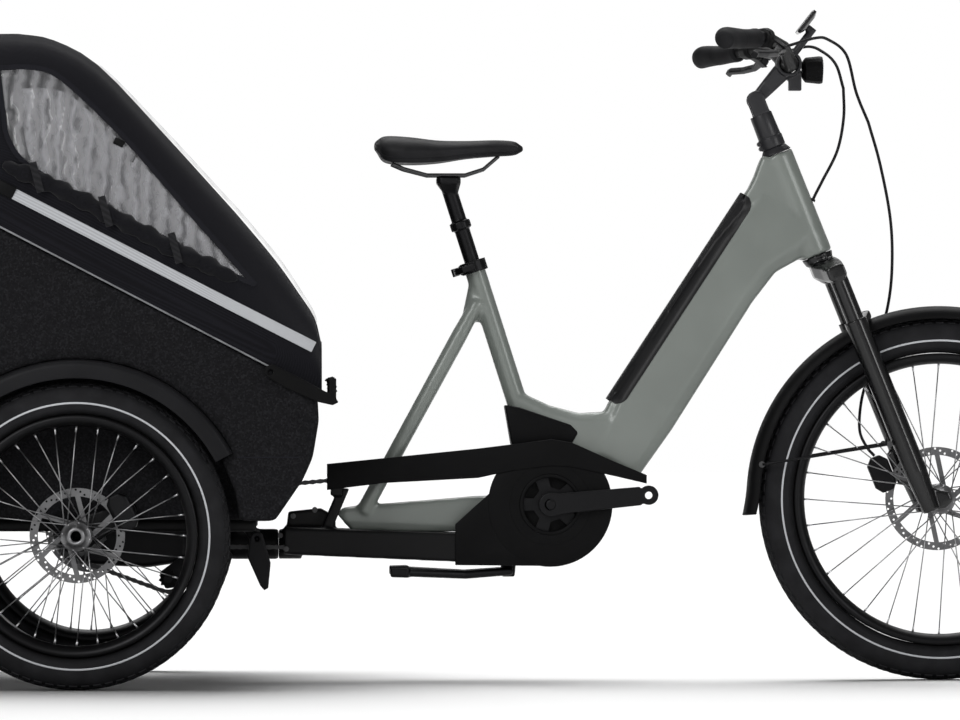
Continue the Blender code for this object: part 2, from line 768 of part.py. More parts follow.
def make_stem_base():
    """The tube on top of the steerer, with the headset cap and two ears for the tilting arm."""
    top = HEAD_TOP_POINT - HEAD_DOWN * GAP
    collar = new_part(rod, top, top - HEAD_DOWN * HEADSET_HEIGHT, HEAD_TUBE_RADIUS, 16, 0.021)
    base = finish(collar, "stem_base", black_paint(), "steering")
    tube_top = STEM_PIVOT_POINT + HEAD_DOWN * 0.022
    pieces = [new_part(rod, top - HEAD_DOWN * (HEADSET_HEIGHT - 0.003), tube_top, 0.0178, 12, 0.0165)]
    for side in (RIGHT, LEFT):
        inner, outer = side * (STEM_TONGUE + GAP), side * STEM_EAR
        knuckle = [(inner, STEM_KNUCKLE), (outer, STEM_KNUCKLE)]
        pieces.append(new_part(solid_turned, knuckle, STEM_PIVOT_POINT, "Y", 14))
        low = tube_top + HEAD_DOWN * 0.006
        ear = [low + HEAD_FORWARD * 0.0145, low - HEAD_FORWARD * 0.0145]
        ear += [STEM_PIVOT_POINT - HEAD_FORWARD * 0.0145, STEM_PIVOT_POINT + HEAD_FORWARD * 0.0145]
        pieces.append(new_part(plate, [(point.x, point.z) for point in ear], inner, outer))
    return fuse(base, [tool(piece, "steering") for piece in pieces])


def make_stem_arm():
    """The tilting arm: a tongue on the pivot, a neck and the clamp round the handlebar."""
    knuckle = [(-STEM_TONGUE, STEM_KNUCKLE - 0.001), (STEM_TONGUE, STEM_KNUCKLE - 0.001)]
    arm = finish(
        new_part(solid_turned, knuckle, STEM_PIVOT_POINT, "Y", 14), "stem_arm", black_paint(), "handlebar"
    )
    along = (BAR_POINT - STEM_PIVOT_POINT).normalized()
    up = along.cross(Vector((0.0, 1.0, 0.0)))
    start = STEM_PIVOT_POINT + along * 0.004
    end = BAR_POINT - along * (BAR_CLAMP_RADIUS + 0.002)
    neck = bmesh.new()
    across = Vector((0.0, 1.0, 0.0))
    loft(
        neck,
        [
            rounded(start, up * 0.011, across * (STEM_TONGUE - 0.0005)),
            rounded(start + (end - start) * 0.45, up * 0.0135, across * (STEM_TONGUE - 0.0005)),
            rounded(end, up * 0.016, across * 0.021),
        ],
    )
    collar = [(-0.024, 0.0225), (0.024, 0.0225)]
    pieces = [neck, new_part(solid_turned, collar, BAR_POINT, "Y", 16)]
    pieces.append(
        new_part(
            block, BAR_POINT + Vector((0.0, -0.012, -0.046)), BAR_POINT + Vector((0.022, 0.012, -0.012))
        )
    )
    stalk = (BAR_POINT + Vector((0.008, 0.0, 0.016)), DISPLAY_SEAT - DISPLAY_NORMAL * 0.010, DISPLAY_SEAT)
    pieces.append(new_part(tube, stalk, 0.007, 8))
    fuse(arm, [tool(piece, "handlebar") for piece in pieces])
    bore = [
        (-0.030, flat_facet(BAR_CLAMP_RADIUS + GAP, 16)), (0.030, flat_facet(BAR_CLAMP_RADIUS + GAP, 16))
    ]
    return cut(arm, [tool(new_part(solid_turned, bore, BAR_POINT, "Y", 16), "handlebar")])




def bar_path(side=1.0):
    """The handlebar's bends from its middle to one end."""
    shoulder, end = Vector(BAR_SHOULDER), Vector(BAR_END)
    middle = BAR_POINT + Vector((0.0, BAR_CENTRE_HALF, 0.0))
    path = [BAR_POINT + Vector((0.0, 0.030, 0.0)), middle]
    path += [middle + (shoulder - middle) * 0.45 + Vector((0.006, 0.0, 0.008)), shoulder]
    path += [shoulder + (end - shoulder) * 0.2, end]
    return [Vector((point.x, side * point.y, point.z)) for point in path]


def make_handlebar():
    """The bent bar with its thicker middle, and the two lever clamps."""
    right = list(reversed(bar_path(-1.0)))
    left = bar_path(1.0)
    radii = [BAR_RADIUS] * 4 + [0.0125, BAR_CLAMP_RADIUS]
    bar = finish(
        new_part(
            tube, right + left, radii + list(reversed(radii)), 10
        ), "handlebar", black_paint(), "handlebar"
    )
    pieces = []
    for side in (RIGHT, LEFT):
        pivot, along, ahead, axis = lever_frame(side)
        seat = grip_axis_point(side, -0.034)
        ring = new_part(rod, seat - along * 0.010, seat + along * 0.010, 0.0175, 10)
        pieces.append(ring)
        arm = bmesh.new()
        loft(
            arm,
            [
                rounded(seat + ahead * 0.008, along * 0.010, axis * 0.011),
                rounded(pivot - ahead * 0.0142 - along * 0.004, along * 0.013, axis * 0.0095),
            ],
        )
        pieces.append(arm)
        for level in (-1.0, 1.0):
            ear = bmesh.new()
            low, high = level * (LEVER_HALF + GAP), level * (LEVER_HALF + 0.0035)
            outline = []
            for forward, shift in ((-0.016, -0.012), (0.008, -0.009), (0.008, 0.009), (-0.016, 0.008)):
                outline.append(pivot + ahead * forward + along * shift)
            loft(
                ear, [[point + axis * low for point in outline], [point + axis * high for point in outline]]
            )
            pieces.append(ear)
    return fuse(bar, [tool(piece, "handlebar") for piece in pieces])


LEVER_HALF = 0.0055


def grip_axis_point(side, beyond):
    """A point on the handlebar's end stretch, measured outwards from the grip's inner end."""
    shoulder, end = Vector(BAR_SHOULDER), Vector(BAR_END)
    shoulder.y *= side
    end.y *= side
    along = (end - shoulder).normalized()
    return end - along * (GRIP_LENGTH - beyond)


def lever_frame(side):
    """A brake lever's pivot, the direction outwards along the grip, ahead of it, and its axis."""
    along = (grip_axis_point(side, 0.1) - grip_axis_point(side, 0.0)).normalized()
    ahead = Vector((1.0, 0.0, -0.55))
    ahead = (ahead - along * ahead.dot(along)).normalized()
    axis = ahead.cross(along).normalized()
    pivot = grip_axis_point(side, -0.034) + ahead * (LEVER_REACH - 0.010)
    return pivot, along, ahead, axis


def make_brake_lever(side, label):
    """A curved lever blade that starts in its clamp's ears."""
    pivot, along, ahead, axis = lever_frame(side)
    shape = (
        (-0.006, 0.000, 0.007),
        (0.012, 0.001, 0.0075),
        (0.045, 0.011, 0.0055),
        (0.085, 0.012, 0.005),
        (LEVER_LENGTH - 0.014, 0.008, 0.005),
        (LEVER_LENGTH, 0.012, 0.006),
    )
    rings = []
    for shift, forward, thick in shape:
        centre = pivot + along * shift + ahead * forward
        rings.append(rounded(centre, ahead * thick, axis * LEVER_HALF))
    return finish(loft(bmesh.new(), rings), "brake_lever_" + label, black_paint(), "brake_lever_" + label)


def make_grip(side, label):
    """A rubber grip that swells towards its outer end and closes over the bar's end."""
    inner, outer = grip_axis_point(side, 0.0), grip_axis_point(side, GRIP_LENGTH + 0.005)
    along = (outer - inner).normalized()
    up = along.cross(Vector((1.0, 0.0, 0.0))).normalized()
    back = along.cross(up)
    rings = []
    bore = flat_facet(BAR_RADIUS + GAP, 12)
    for share, radius, drop in (
        (0.0, 0.0165, 0.0),
        (0.12, 0.0150, 0.0),
        (0.55, 0.0160, 0.0005),
        (0.82, 0.0185, 0.002),
        (0.97, 0.0180, 0.003),
        (1.0, 0.0150, 0.002),
    ):
        centre = inner + (outer - inner) * share
        rings.append(oval(centre, up * (radius - drop), back * radius, 12, 15.0))
    grip = finish(loft(bmesh.new(), rings), "grip_" + label, rubber(), "handlebar")
    hole = new_part(rod, inner - along * 0.01, grip_axis_point(side, GRIP_LENGTH + 0.0006), bore, 12)
    return cut(grip, [tool(hole, "handlebar")])


def make_display():
    """A small tilted screen on its stalk."""
    face, normal = DISPLAY_FACE, DISPLAY_NORMAL
    centre = DISPLAY_SEAT + normal * (0.0060 + GAP) + face * 0.006
    across = Vector((0.0, 1.0, 0.0))
    rings = [
        rounded(centre - normal * 0.006, face * 0.016, across * 0.026),
        rounded(centre - normal * 0.002, face * 0.024, across * 0.034, 0.2),
        rounded(centre + normal * 0.004, face * 0.024, across * 0.034, 0.2),
    ]
    return finish(loft(bmesh.new(), rings), "display", black_plastic(), "handlebar")


def make_headlight():
    """A short lamp housing with its hood and lens face."""
    centre = BAR_POINT + Vector((0.0, 0.0, -0.010))
    back = BAR_CLAMP_RADIUS + 0.0068 + 0.0003
    profile = [(back, 0.014), (back + 0.006, 0.022), (back + 0.030, 0.0245), (back + 0.036, 0.0235)]
    lamp = finish(
        new_part(solid_turned, profile, centre, "X", 16), "headlight", black_plastic(), "handlebar"
    )
    bowl = [(back + 0.031, 0.019), (back + 0.040, 0.021)]
    return cut(lamp, [tool(new_part(solid_turned, bowl, centre, "X", 16), "handlebar")])


# Main frame, battery, motor and rear beam


SEAT_TUBE_LENGTH = 0.335
SEAT_BORE = 0.240
DOWN_TUBE_START = (0.2355, 0.484)
DOWN_TUBE_ANGLE = 56.8
BATTERY_HALF_WIDTH = 0.0255
BATTERY_LENGTH = 0.424
BATTERY_START = 0.003
BATTERY_FLOOR = -0.062
COVER_DEPTH = 0.012
COVER_RISE = 0.0015
MOTOR_RADIUS = 0.088
MOTOR_RIGHT = -0.042
MOTOR_LEFT = 0.055
COVER_RADIUS = 0.1075
COVER_FACE = -0.0605
COVER_WALL = 0.003
COVER_WINDOW = 0.047
STAY_FOOT = (-0.189, 0.290)
SEAT_APEX = (0.010, 0.655)
BEAM_REAR = -0.325
BEAM_FRONT = 0.077
BEAM_HALF_WIDTH = 0.033
BEAM_WALL = 0.003
BEAM_EDGE = 0.0035
CHAIN_STAY_REAR = -0.2206
CHAIN_STAY_HALF = 0.028
STAND_PIVOT = (0.063, 0.1885)
STAND_LENGTH = 0.205
STAND_ROD_RADIUS = 0.006
STAND_LEG_RADIUS = 0.0075
ACROSS = Vector((0.0, 1.0, 0.0))


def side(point, y=0.0):
    """A point in space from a side-view point."""
    return Vector((point[0], y, point[1]))


def beam_level(x, rear, front):
    """A height that runs straight from the beam's rear end to its front end."""
    return rear + (front - rear) * (x - BEAM_REAR) / (BEAM_FRONT - BEAM_REAR)


def beam_top(x):
    return beam_level(x, 0.2665, 0.2525)


def beam_bottom(x):
    return beam_level(x, 0.2190, 0.2015)


def down_tube_frame():
    """The start of the down tube's top edge, its direction, and the direction up out of it."""
    turn = math.radians(DOWN_TUBE_ANGLE)
    along = Vector((math.cos(turn), 0.0, math.sin(turn)))
    return side(DOWN_TUBE_START), along, Vector((-along.z, 0.0, along.x))


def down_tube_rings():
    """The stations of the wide down tube: place along it, top, bottom and half width."""
    start, along, up = down_tube_frame()
    depth, half = DOWN_TUBE_DEPTH, DOWN_TUBE_WIDTH / 2.0
    stations = (
        (-0.085, -0.020, -depth, half - 0.002),
        (0.018, 0.0, -depth - 0.004, half),
        (0.280, 0.0, -depth, half - 0.001),
        (0.345, 0.0, -depth - 0.005, half - 0.003),
        (0.400, -0.001, -depth - 0.034, half - 0.006),
        (0.445, -0.005, -depth - 0.044, half - 0.011),
    )
    rings = []
    for place, top, bottom, wide in stations:
        centre = start + along * place + up * (top + bottom) / 2.0
        rings.append(rounded(centre, up * (top - bottom) / 2.0, ACROSS * wide, 0.34))
    return rings


def battery_frame():
    """The battery bay's lower end on the tube's top edge, its direction and the direction out."""
    start, along, up = down_tube_frame()
    return start + along * BATTERY_START, along, up


def section(x, low, high, half, corner=0.3):
    """An upright eight-sided section at one place along the length."""
    return rounded((x, 0.0, (low + high) / 2.0), (0.0, 0.0, (high - low) / 2.0), (0.0, half, 0.0), corner)


def make_main_frame():
    """Head tube, down tube, bridge, seat tube, stays and chain stay, welded into one frame."""
    frame = finish(loft(bmesh.new(), down_tube_rings()), "main_frame", frame_paint(), "front_frame")
    pieces = [new_part(rod, HEAD_TOP_POINT, HEAD_BOTTOM_POINT, HEAD_TUBE_RADIUS, 16)]
    seat_foot = SEAT_TOP_POINT + SEAT_DOWN * SEAT_TUBE_LENGTH
    pieces.append(new_part(rod, SEAT_TOP_POINT, seat_foot, SEAT_TUBE_RADIUS, 14))
    bridge = [section(0.072, 0.415, 0.505, 0.0175), section(0.134, 0.380, 0.476, 0.028)]
    bridge += [section(0.185, 0.375, 0.4625, 0.034), section(0.245, 0.375, 0.466, 0.036)]
    pieces.append(new_part(loft, bridge))
    apex = side(SEAT_APEX)
    for hand in (RIGHT, LEFT):
        foot = side(STAY_FOOT, hand * (CHAIN_STAY_HALF - 0.006))
        top = apex + ACROSS * hand * 0.009
        knee = top + (foot - top) * 0.16 + ACROSS * hand * 0.007
        pieces.append(new_part(tube, (top, knee, foot), [0.0125, 0.0145, 0.0135], 10))
    pieces.append(new_part(rod, side((-0.004, 0.622)), side((0.008, 0.680)), 0.0150, 10))
    front = 0.056
    stay = [section(CHAIN_STAY_REAR, 0.2715, 0.2992, CHAIN_STAY_HALF)]
    stay += [
        section(-0.100, 0.2640, 0.3090, CHAIN_STAY_HALF),
        section(0.004, beam_top(0.004) + GAP, 0.3190, CHAIN_STAY_HALF),
    ]
    stay += [section(front, beam_top(0.004) + GAP, 0.3200, CHAIN_STAY_HALF)]
    pieces.append(new_part(loft, stay))
    fuse(frame, [tool(piece, "front_frame") for piece in pieces])
    return hollow_main_frame(frame)


def motor_seat(radius_gap):
    """A drum on the crank axle that clears the motor's place in the pieces round it."""
    radius = MOTOR_RADIUS + radius_gap
    return new_part(solid_turned, [(-0.075, radius), (0.075, radius)], CRANK_POINT, "Y", 20)


def battery_bay():
    """The box that the battery and its cover fill, open at the top of the down tube."""
    start, along, up = battery_frame()
    end = start + along * BATTERY_LENGTH
    rings = []
    for level in (BATTERY_FLOOR, 0.010):
        corners = ((start, -1.0), (start, 1.0), (end, 1.0), (end, -1.0))
        rings.append([corner + up * level + ACROSS * hand * BATTERY_HALF_WIDTH for corner, hand in corners])
    return new_part(loft, rings)


def hollow_main_frame(frame):
    """Bore the head tube and the seat tube, and open the battery bay and the motor seat."""
    bore = flat_facet(STEERER_RADIUS + RUNNING_GAP, 12)
    low, high = HEAD_BOTTOM_POINT + HEAD_DOWN * 0.010, HEAD_TOP_POINT - HEAD_DOWN * 0.010
    cutters = [new_part(rod, low, high, bore, 12)]
    seat_bore = flat_facet(SEAT_POST_RADIUS + GAP, 12)
    top, bottom = SEAT_TOP_POINT - SEAT_DOWN * 0.010, SEAT_TOP_POINT + SEAT_DOWN * SEAT_BORE
    cutters.append(new_part(rod, top, bottom, seat_bore, 12))
    cutters.append(battery_bay())
    cutters.append(motor_seat(GAP))
    return cut(frame, [tool(cutter, "front_frame") for cutter in cutters])


def make_battery():
    """The battery in its bay, and the flush cover above it."""
    start, along, up = battery_frame()
    half_long, half_wide = BATTERY_LENGTH / 2.0 - 0.0012, BATTERY_HALF_WIDTH - 0.0012
    middle = start + along * BATTERY_LENGTH / 2.0
    top, crown = -COVER_DEPTH, COVER_RISE

    def layer(level, shrink):
        return rounded(
            middle + up * level, along * (half_long - shrink), ACROSS * (half_wide - shrink), 0.12
        )

    rings = [
        layer(BATTERY_FLOOR + GAP, 0.004),
        layer(BATTERY_FLOOR + 0.006, 0.0),
        layer(top - 0.004, 0.0),
        layer(top, 0.004),
    ]
    finish(new_part(loft, rings), "battery_pack", black_plastic(), "front_frame")
    rings = [layer(top + GAP, 0.0), layer(crown - 0.004, 0.0), layer(crown, 0.005)]
    return finish(new_part(loft, rings), "battery_cover", black_plastic(), "front_frame")


def make_drive_unit():
    """The mid motor: a drum on the crank axle, bored for the spindle."""
    profile = [(MOTOR_RIGHT, 0.066), (MOTOR_RIGHT + 0.008, MOTOR_RADIUS)]
    profile += [(MOTOR_LEFT - 0.014, MOTOR_RADIUS), (MOTOR_LEFT, 0.070)]
    unit = finish(
        new_part(solid_turned, profile, CRANK_POINT, "Y", 20), "drive_unit", black_plastic(), "front_frame"
    )
    bore = flat_facet(SPINDLE_RADIUS + BEARING_GAP, 12)
    return cut(
        unit,
        [tool(new_part(solid_turned, [(-0.08, bore), (0.08, bore)], CRANK_POINT, "Y", 12), "front_frame")],
    )


def make_motor_cover():
    """The black shield outside the chainring: a windowed disc that runs back over the beam."""
    outline = arc(COVER_RADIUS, -100.0, 170.0, 16, CRANK_AXLE)
    outline += [(-0.030, 0.271), (-0.030, 0.2005)]
    plate_part = new_part(plate, outline, COVER_FACE, COVER_FACE + COVER_WALL)
    cover = finish(plate_part, "motor_cover", black_plastic(), "front_frame")
    window = new_part(
        solid_turned, [(-0.02, COVER_WINDOW), (0.02, COVER_WINDOW)], side(CRANK_AXLE, COVER_FACE), "Y", 18
    )
    post_place = side((0.030, 0.290), COVER_FACE + COVER_WALL - 0.001)
    post = new_part(
        rod, post_place, post_place + ACROSS * (-post_place.y - CHAIN_STAY_HALF - GAP), 0.006, 8
    )
    fuse(cover, [tool(post, "front_frame")])
    return cut(cover, [tool(window, "front_frame")])


def make_chain_guard():
    """The angled guard over the upper chain run."""
    face = COVER_FACE - GAP
    outer, inner, wall = face - COVER_WALL, CHAIN_LINE + 0.009, COVER_WALL
    stations = (
        (-0.2512, 0.3301, 0.3750),
        (-0.1529, 0.3422, 0.3850),
        (0.0092, 0.3508, 0.4015),
        (0.0696, 0.3640, 0.4090),
        (0.1360, 0.3720, 0.4175),
        (0.1713, 0.3700, 0.4120),
        (0.2450, 0.3540, 0.3790),
        (0.3006, 0.3410, 0.3560),
    )
    rings = []
    for x, low, high in stations:
        corners = (
            (outer, low), (outer, high), (inner, high), (inner, high - wall), (outer + wall, high - wall),
            (outer + wall, low),
        )
        rings.append([Vector((x, y, z)) for y, z in corners])
    return finish(new_part(loft, rings), "chain_guard", black_plastic(), "front_frame")


def make_tilt_beam():
    """The black rear beam: a box with the lower chain channel, the tilt bearing and the stand bracket."""
    outer, inner = COVER_FACE + COVER_WALL + GAP, BEAM_HALF_WIDTH
    rings = []
    for x in (BEAM_REAR, BEAM_FRONT):
        low, high = beam_bottom(x), beam_top(x)
        corners = ((outer, low + BEAM_EDGE), (outer, high - BEAM_EDGE), (outer + BEAM_EDGE, high))
        corners += ((inner - BEAM_EDGE, high), (inner, high - BEAM_EDGE), (inner, low + BEAM_EDGE))
        corners += ((inner - BEAM_EDGE, low), (outer + BEAM_EDGE, low))
        rings.append([Vector((x, y, z)) for y, z in corners])
    beam = finish(new_part(loft, rings), "tilt_beam", black_paint(), "front_frame")
    bearing = [(BEAM_REAR - 0.0095, 0.026), (BEAM_REAR + 0.030, 0.026)]
    bearing = [(along - TILT_AXIS[0], radius) for along, radius in bearing]
    pieces = [new_part(solid_turned, bearing, TILT_POINT, "X", 16)]
    top = beam_top(-0.30)
    pieces.append(
        new_part(
            plate,
            [(-0.322, top - 0.01), (-0.318, 0.292), (-0.262, 0.298), (-0.236, 0.284), (-0.236, top - 0.01)],
            -0.018,
            0.018,
        )
    )
    pieces.append(
        new_part(
            plate, [(-0.262, 0.262), (-0.232, 0.3330), (-0.212, 0.3330), (-0.242, 0.262)], -0.0395, -0.030
        )
    )
    pieces.append(new_part(block, (-0.245, COVER_FACE, 0.320), (-0.225, -0.034, 0.338)))
    low = beam_bottom(STAND_PIVOT[0])
    bracket = [(STAND_PIVOT[0] - 0.013, low + 0.004), (STAND_PIVOT[0] - 0.011, STAND_PIVOT[1] - 0.009)]
    bracket += [(STAND_PIVOT[0] + 0.011, STAND_PIVOT[1] - 0.009), (STAND_PIVOT[0] + 0.013, low + 0.004)]
    pieces.append(new_part(plate, bracket, -0.022, 0.022))
    fuse(beam, [tool(piece, "front_frame") for piece in pieces])
    rings = []
    for x in (BEAM_REAR - 0.02, BEAM_FRONT + 0.02):
        low, high = beam_bottom(x) + BEAM_WALL, beam_top(x) - BEAM_WALL
        corners = (
            (outer + BEAM_WALL, low), (outer + BEAM_WALL, high), (CHAIN_LINE + 0.009, high),
            (CHAIN_LINE + 0.009, low),
        )
        rings.append([Vector((x, y, z)) for y, z in corners])
    bore = flat_facet(STAND_ROD_RADIUS + BEARING_GAP, 10)
    hole = new_part(solid_turned, [(-0.05, bore), (0.05, bore)], side(STAND_PIVOT), "Y", 10)
    cutters = [new_part(loft, rings), hole, motor_seat(2.0 * GAP)]
    return cut(beam, [tool(cutter, "front_frame") for cutter in cutters])


def make_kickstand():
    """A two-legged stand on a cross rod, folded up behind its pivot."""
    pivot = side(STAND_PIVOT)
    rod_part = new_part(
        solid_turned, [(-0.036, STAND_ROD_RADIUS), (0.036, STAND_ROD_RADIUS)], pivot, "Y", 10
    )
    stand = finish(rod_part, "kickstand", black_paint(), "kickstand")
    pieces = []
    for hand in (RIGHT, LEFT):
        top = pivot + ACROSS * hand * 0.033
        knee = pivot + Vector((-0.075, hand * 0.050, -0.005))
        foot = pivot + Vector((-STAND_LENGTH + 0.022, hand * 0.085, 0.0))
        pieces.append(new_part(tube, (top + Vector((0.006, 0.0, 0.001)), knee, foot), STAND_LEG_RADIUS, 8))
        pad = [rounded(foot + Vector((0.010, 0.0, 0.0)), (0.0, 0.0, 0.009), (0.0, 0.010, 0.0))]
        pad.append(rounded(foot + Vector((-0.022, 0.0, 0.0)), (0.0, 0.0, 0.008), (0.0, 0.010, 0.0)))
        pieces.append(new_part(loft, pad))
    return fuse(stand, [tool(piece, "kickstand") for piece in pieces])


# Seat, cranks and chain


SEAT_CLAMP_HEIGHT = 0.020
SEAT_CLAMP_WALL = 0.0048
SEAT_POST_HELD = 0.150
SEAT_POST_SHOWN = 0.1365
POST_RING_DROP = 0.060
POST_HEAD_RISE = 0.0205
RAIL_RADIUS = 0.0036
SEAT_HEAD = SEAT_TOP_POINT - SEAT_DOWN * SEAT_POST_SHOWN
RAIL_HEIGHT = SEAT_HEAD.z + POST_HEAD_RISE
CHAINRING_THICKNESS = 0.004
TOOTH_HEIGHT = 0.0038
CHAIN_CLEARANCE = 0.0012
JOCKEY_PLACE = (-0.525, 0.177)
IDLER_PLACE = (-0.425, 0.2155)
IDLER_RADIUS = 0.0165
CHAIN_SPLIT = -0.335


def make_seat_clamp():
    """The quick-release ring round the top of the seat tube."""
    bore = flat_facet(SEAT_TUBE_RADIUS + GAP, 14)
    low, high = SEAT_TOP_POINT + SEAT_DOWN * (SEAT_CLAMP_HEIGHT - 0.002), SEAT_TOP_POINT - SEAT_DOWN * 0.002
    ring = finish(
        new_part(
            rod, low, high, SEAT_TUBE_RADIUS + SEAT_CLAMP_WALL, 16
        ), "seat_clamp", black_paint(), "front_frame"
    )
    pivot, back, _ = clamp_lever_frame()
    lug = bmesh.new()
    half = SEAT_CLAMP_HEIGHT / 2.0 - 0.002
    loft(
        lug,
        [
            rounded(pivot - back * 0.018, ACROSS * 0.012, SEAT_DOWN * half),
            rounded(pivot - back * 0.0072, ACROSS * 0.008, SEAT_DOWN * half),
        ],
    )
    fuse(ring, [tool(lug, "front_frame")])
    hole = new_part(rod, low + SEAT_DOWN * 0.01, high - SEAT_DOWN * 0.01, bore, 14)
    return cut(ring, [tool(hole, "front_frame")])


def clamp_lever_frame():
    """The lever's pivot behind the seat tube, the direction back, and the pivot's axis."""
    back = ACROSS.cross(SEAT_DOWN).normalized()
    if back.x > 0.0:
        back.negate()
    middle = SEAT_TOP_POINT + SEAT_DOWN * (SEAT_CLAMP_HEIGHT / 2.0 - 0.002)
    return middle + back * (SEAT_TUBE_RADIUS + SEAT_CLAMP_WALL + 0.010), back, -SEAT_DOWN


def make_seat_clamp_lever():
    """The cam lever that closes the seat clamp, folded round its right side."""
    pivot, back, axis = clamp_lever_frame()
    knuckle = new_part(rod, pivot - axis * 0.007, pivot + axis * 0.007, 0.0068, 10)
    lever = finish(knuckle, "seat_clamp_lever", black_paint(), "seat_clamp_lever")
    blade = bmesh.new()
    rings = []
    for out, forward, half in (
        (0.002, 0.0, 0.0045), (0.022, 0.002, 0.0035), (0.034, 0.012, 0.003), (0.036, 0.034, 0.003)
    ):
        centre = pivot - ACROSS * out - back * forward
        heading = -ACROSS if out < 0.03 else -back
        thick = heading.cross(axis).normalized()
        rings.append(rounded(centre, thick * half, axis * 0.006))
    loft(blade, rings)
    return fuse(lever, [tool(blade, "seat_clamp_lever")])


def make_seat_post():
    """The seat post with its guide ring and the cradle that grips the rails."""
    foot = SEAT_TOP_POINT + SEAT_DOWN * SEAT_POST_HELD
    head = SEAT_HEAD
    post = finish(new_part(rod, foot, head, SEAT_POST_RADIUS, 14), "seat_post", black_paint(), "seat")
    ring_low = SEAT_TOP_POINT - SEAT_DOWN * (POST_RING_DROP + 0.014)
    ring = new_part(rod, SEAT_TOP_POINT - SEAT_DOWN * POST_RING_DROP, ring_low, 0.0185, 14)
    cradle = bmesh.new()
    top = RAIL_HEIGHT - RAIL_RADIUS - GAP
    loft(
        cradle,
        [
            rounded(head + Vector((0.004, 0.0, -0.012)), (0.012, 0.0, 0.0), (0.0, 0.012, 0.0)),
            rounded(Vector((head.x, 0.0, top - 0.010)), (0.021, 0.0, 0.0), (0.0, 0.0285, 0.0)),
            rounded(Vector((head.x, 0.0, top)), (0.021, 0.0, 0.0), (0.0, 0.0285, 0.0)),
        ],
    )
    return fuse(post, [tool(ring, "seat"), tool(cradle, "seat")])


def on_rails(x, y, z):
    """A point of the saddle from its place ahead of the post's head and above the rails."""
    return Vector((SEAT_HEAD.x + x, y, RAIL_HEIGHT + z))


def make_saddle_rails():
    """Two bent rails in one wire, from the nose of the saddle to its tail."""
    path = []
    for hand in (RIGHT, LEFT):
        y = hand * 0.022
        run = [
            on_rails(0.0855, hand * 0.008, 0.0320),
            on_rails(0.0605, hand * 0.016, 0.0105),
            on_rails(0.0285, y, 0.0),
            on_rails(-0.0375, y, 0.0),
            on_rails(-0.0775, hand * 0.032, 0.0105),
            on_rails(-0.0985, hand * 0.040, 0.0197),
        ]
        path.append(run)
    rails = finish(
        new_part(tube, list(reversed(path[0])) + path[1], RAIL_RADIUS, 6), "saddle_rails", steel(), "seat"
    )
    return rails


def make_saddle():
    """The padded shell: broad tail, waisted nose, crowned top and drawn-in sides."""
    stations = (
        (-0.1255, 0.050, 0.0415, 0.0595),
        (-0.1095, 0.074, 0.0235, 0.0675),
        (-0.0695, 0.080, 0.0195, 0.0655),
        (-0.0195, 0.062, 0.0215, 0.0595),
        (0.0305, 0.038, 0.0295, 0.0595),
        (0.0805, 0.022, 0.0335, 0.0615),
        (0.1125, 0.019, 0.0355, 0.0595),
        (0.1255, 0.012, 0.0395, 0.0525),
    )
    rings = []
    for x, half, low, high in stations:
        middle = low + 0.35 * (high - low)
        dip = 0.0035 if half < 0.07 and x > -0.08 else 0.0020
        ring = [
            (0.0, high - dip),
            (0.35 * half, high),
            (0.78 * half, high - 0.006),
            (half, middle + 0.004),
            (0.86 * half, low),
            (0.0, low + 0.0045),
            (-0.86 * half, low),
            (-half, middle + 0.004),
            (-0.78 * half, high - 0.006),
            (-0.35 * half, high),
        ]
        rings.append([on_rails(x, y, z) for y, z in ring])
    return finish(new_part(loft, rings), "saddle", rubber(), "seat", 60.0)


def crank_outline(direction):
    """The side-view outline of a crank arm with round ends, a waist and a boss."""
    turn = math.radians(direction)
    along, up = Vector((math.cos(turn), math.sin(turn))), Vector((-math.sin(turn), math.cos(turn)))
    points = []
    for step in range(7):
        angle = math.radians(90.0 + 180.0 * step / 6)
        points.append((0.021 * math.cos(angle), 0.021 * math.sin(angle)))
    points.append((0.060, -0.0125))
    for step in range(7):
        angle = math.radians(-90.0 + 180.0 * step / 6)
        points.append((CRANK_LENGTH + 0.0135 * math.cos(angle), 0.0135 * math.sin(angle)))
    points.append((0.060, 0.0125))
    return [
        (CRANK_POINT.x + along.x * x + up.x * z, CRANK_POINT.z + along.y * x + up.y * z) for x, z in points
    ]


def make_crank(hand, label, direction):
    """One crank arm with the bare eye for a pedal."""
    inner, outer = hand * CRANK_INNER, hand * (CRANK_INNER + CRANK_THICKNESS)
    crank = finish(
        new_part(plate, crank_outline(direction), inner, outer), "crank_" + label, black_paint(), "cranks"
    )
    turn = math.radians(direction)
    eye = CRANK_POINT + Vector((math.cos(turn), 0.0, math.sin(turn))) * CRANK_LENGTH
    cutters = [new_part(solid_turned, [(-0.1, 0.0068), (0.1, 0.0068)], eye, "Y", 10)]
    if hand == RIGHT:
        bore = flat_facet(SPINDLE_RADIUS - 0.003 + GAP, 12)
        cutters.append(new_part(solid_turned, [(-0.1, bore), (0.1, bore)], CRANK_POINT, "Y", 12))
    crank = cut(crank, [tool(cutter, "cranks") for cutter in cutters])
    if hand == LEFT:
        seat = -CRANK_INNER - CRANK_THICKNESS - 0.003
        profile = [(seat, SPINDLE_RADIUS - 0.003), (-CRANK_INNER - GAP + 0.001, SPINDLE_RADIUS - 0.003)]
        profile += [(-CRANK_INNER + 0.001, SPINDLE_RADIUS), (CRANK_INNER + 0.004, SPINDLE_RADIUS)]
        fuse(crank, [tool(new_part(solid_turned, profile, CRANK_POINT, "Y", 12), "cranks")])
    return crank


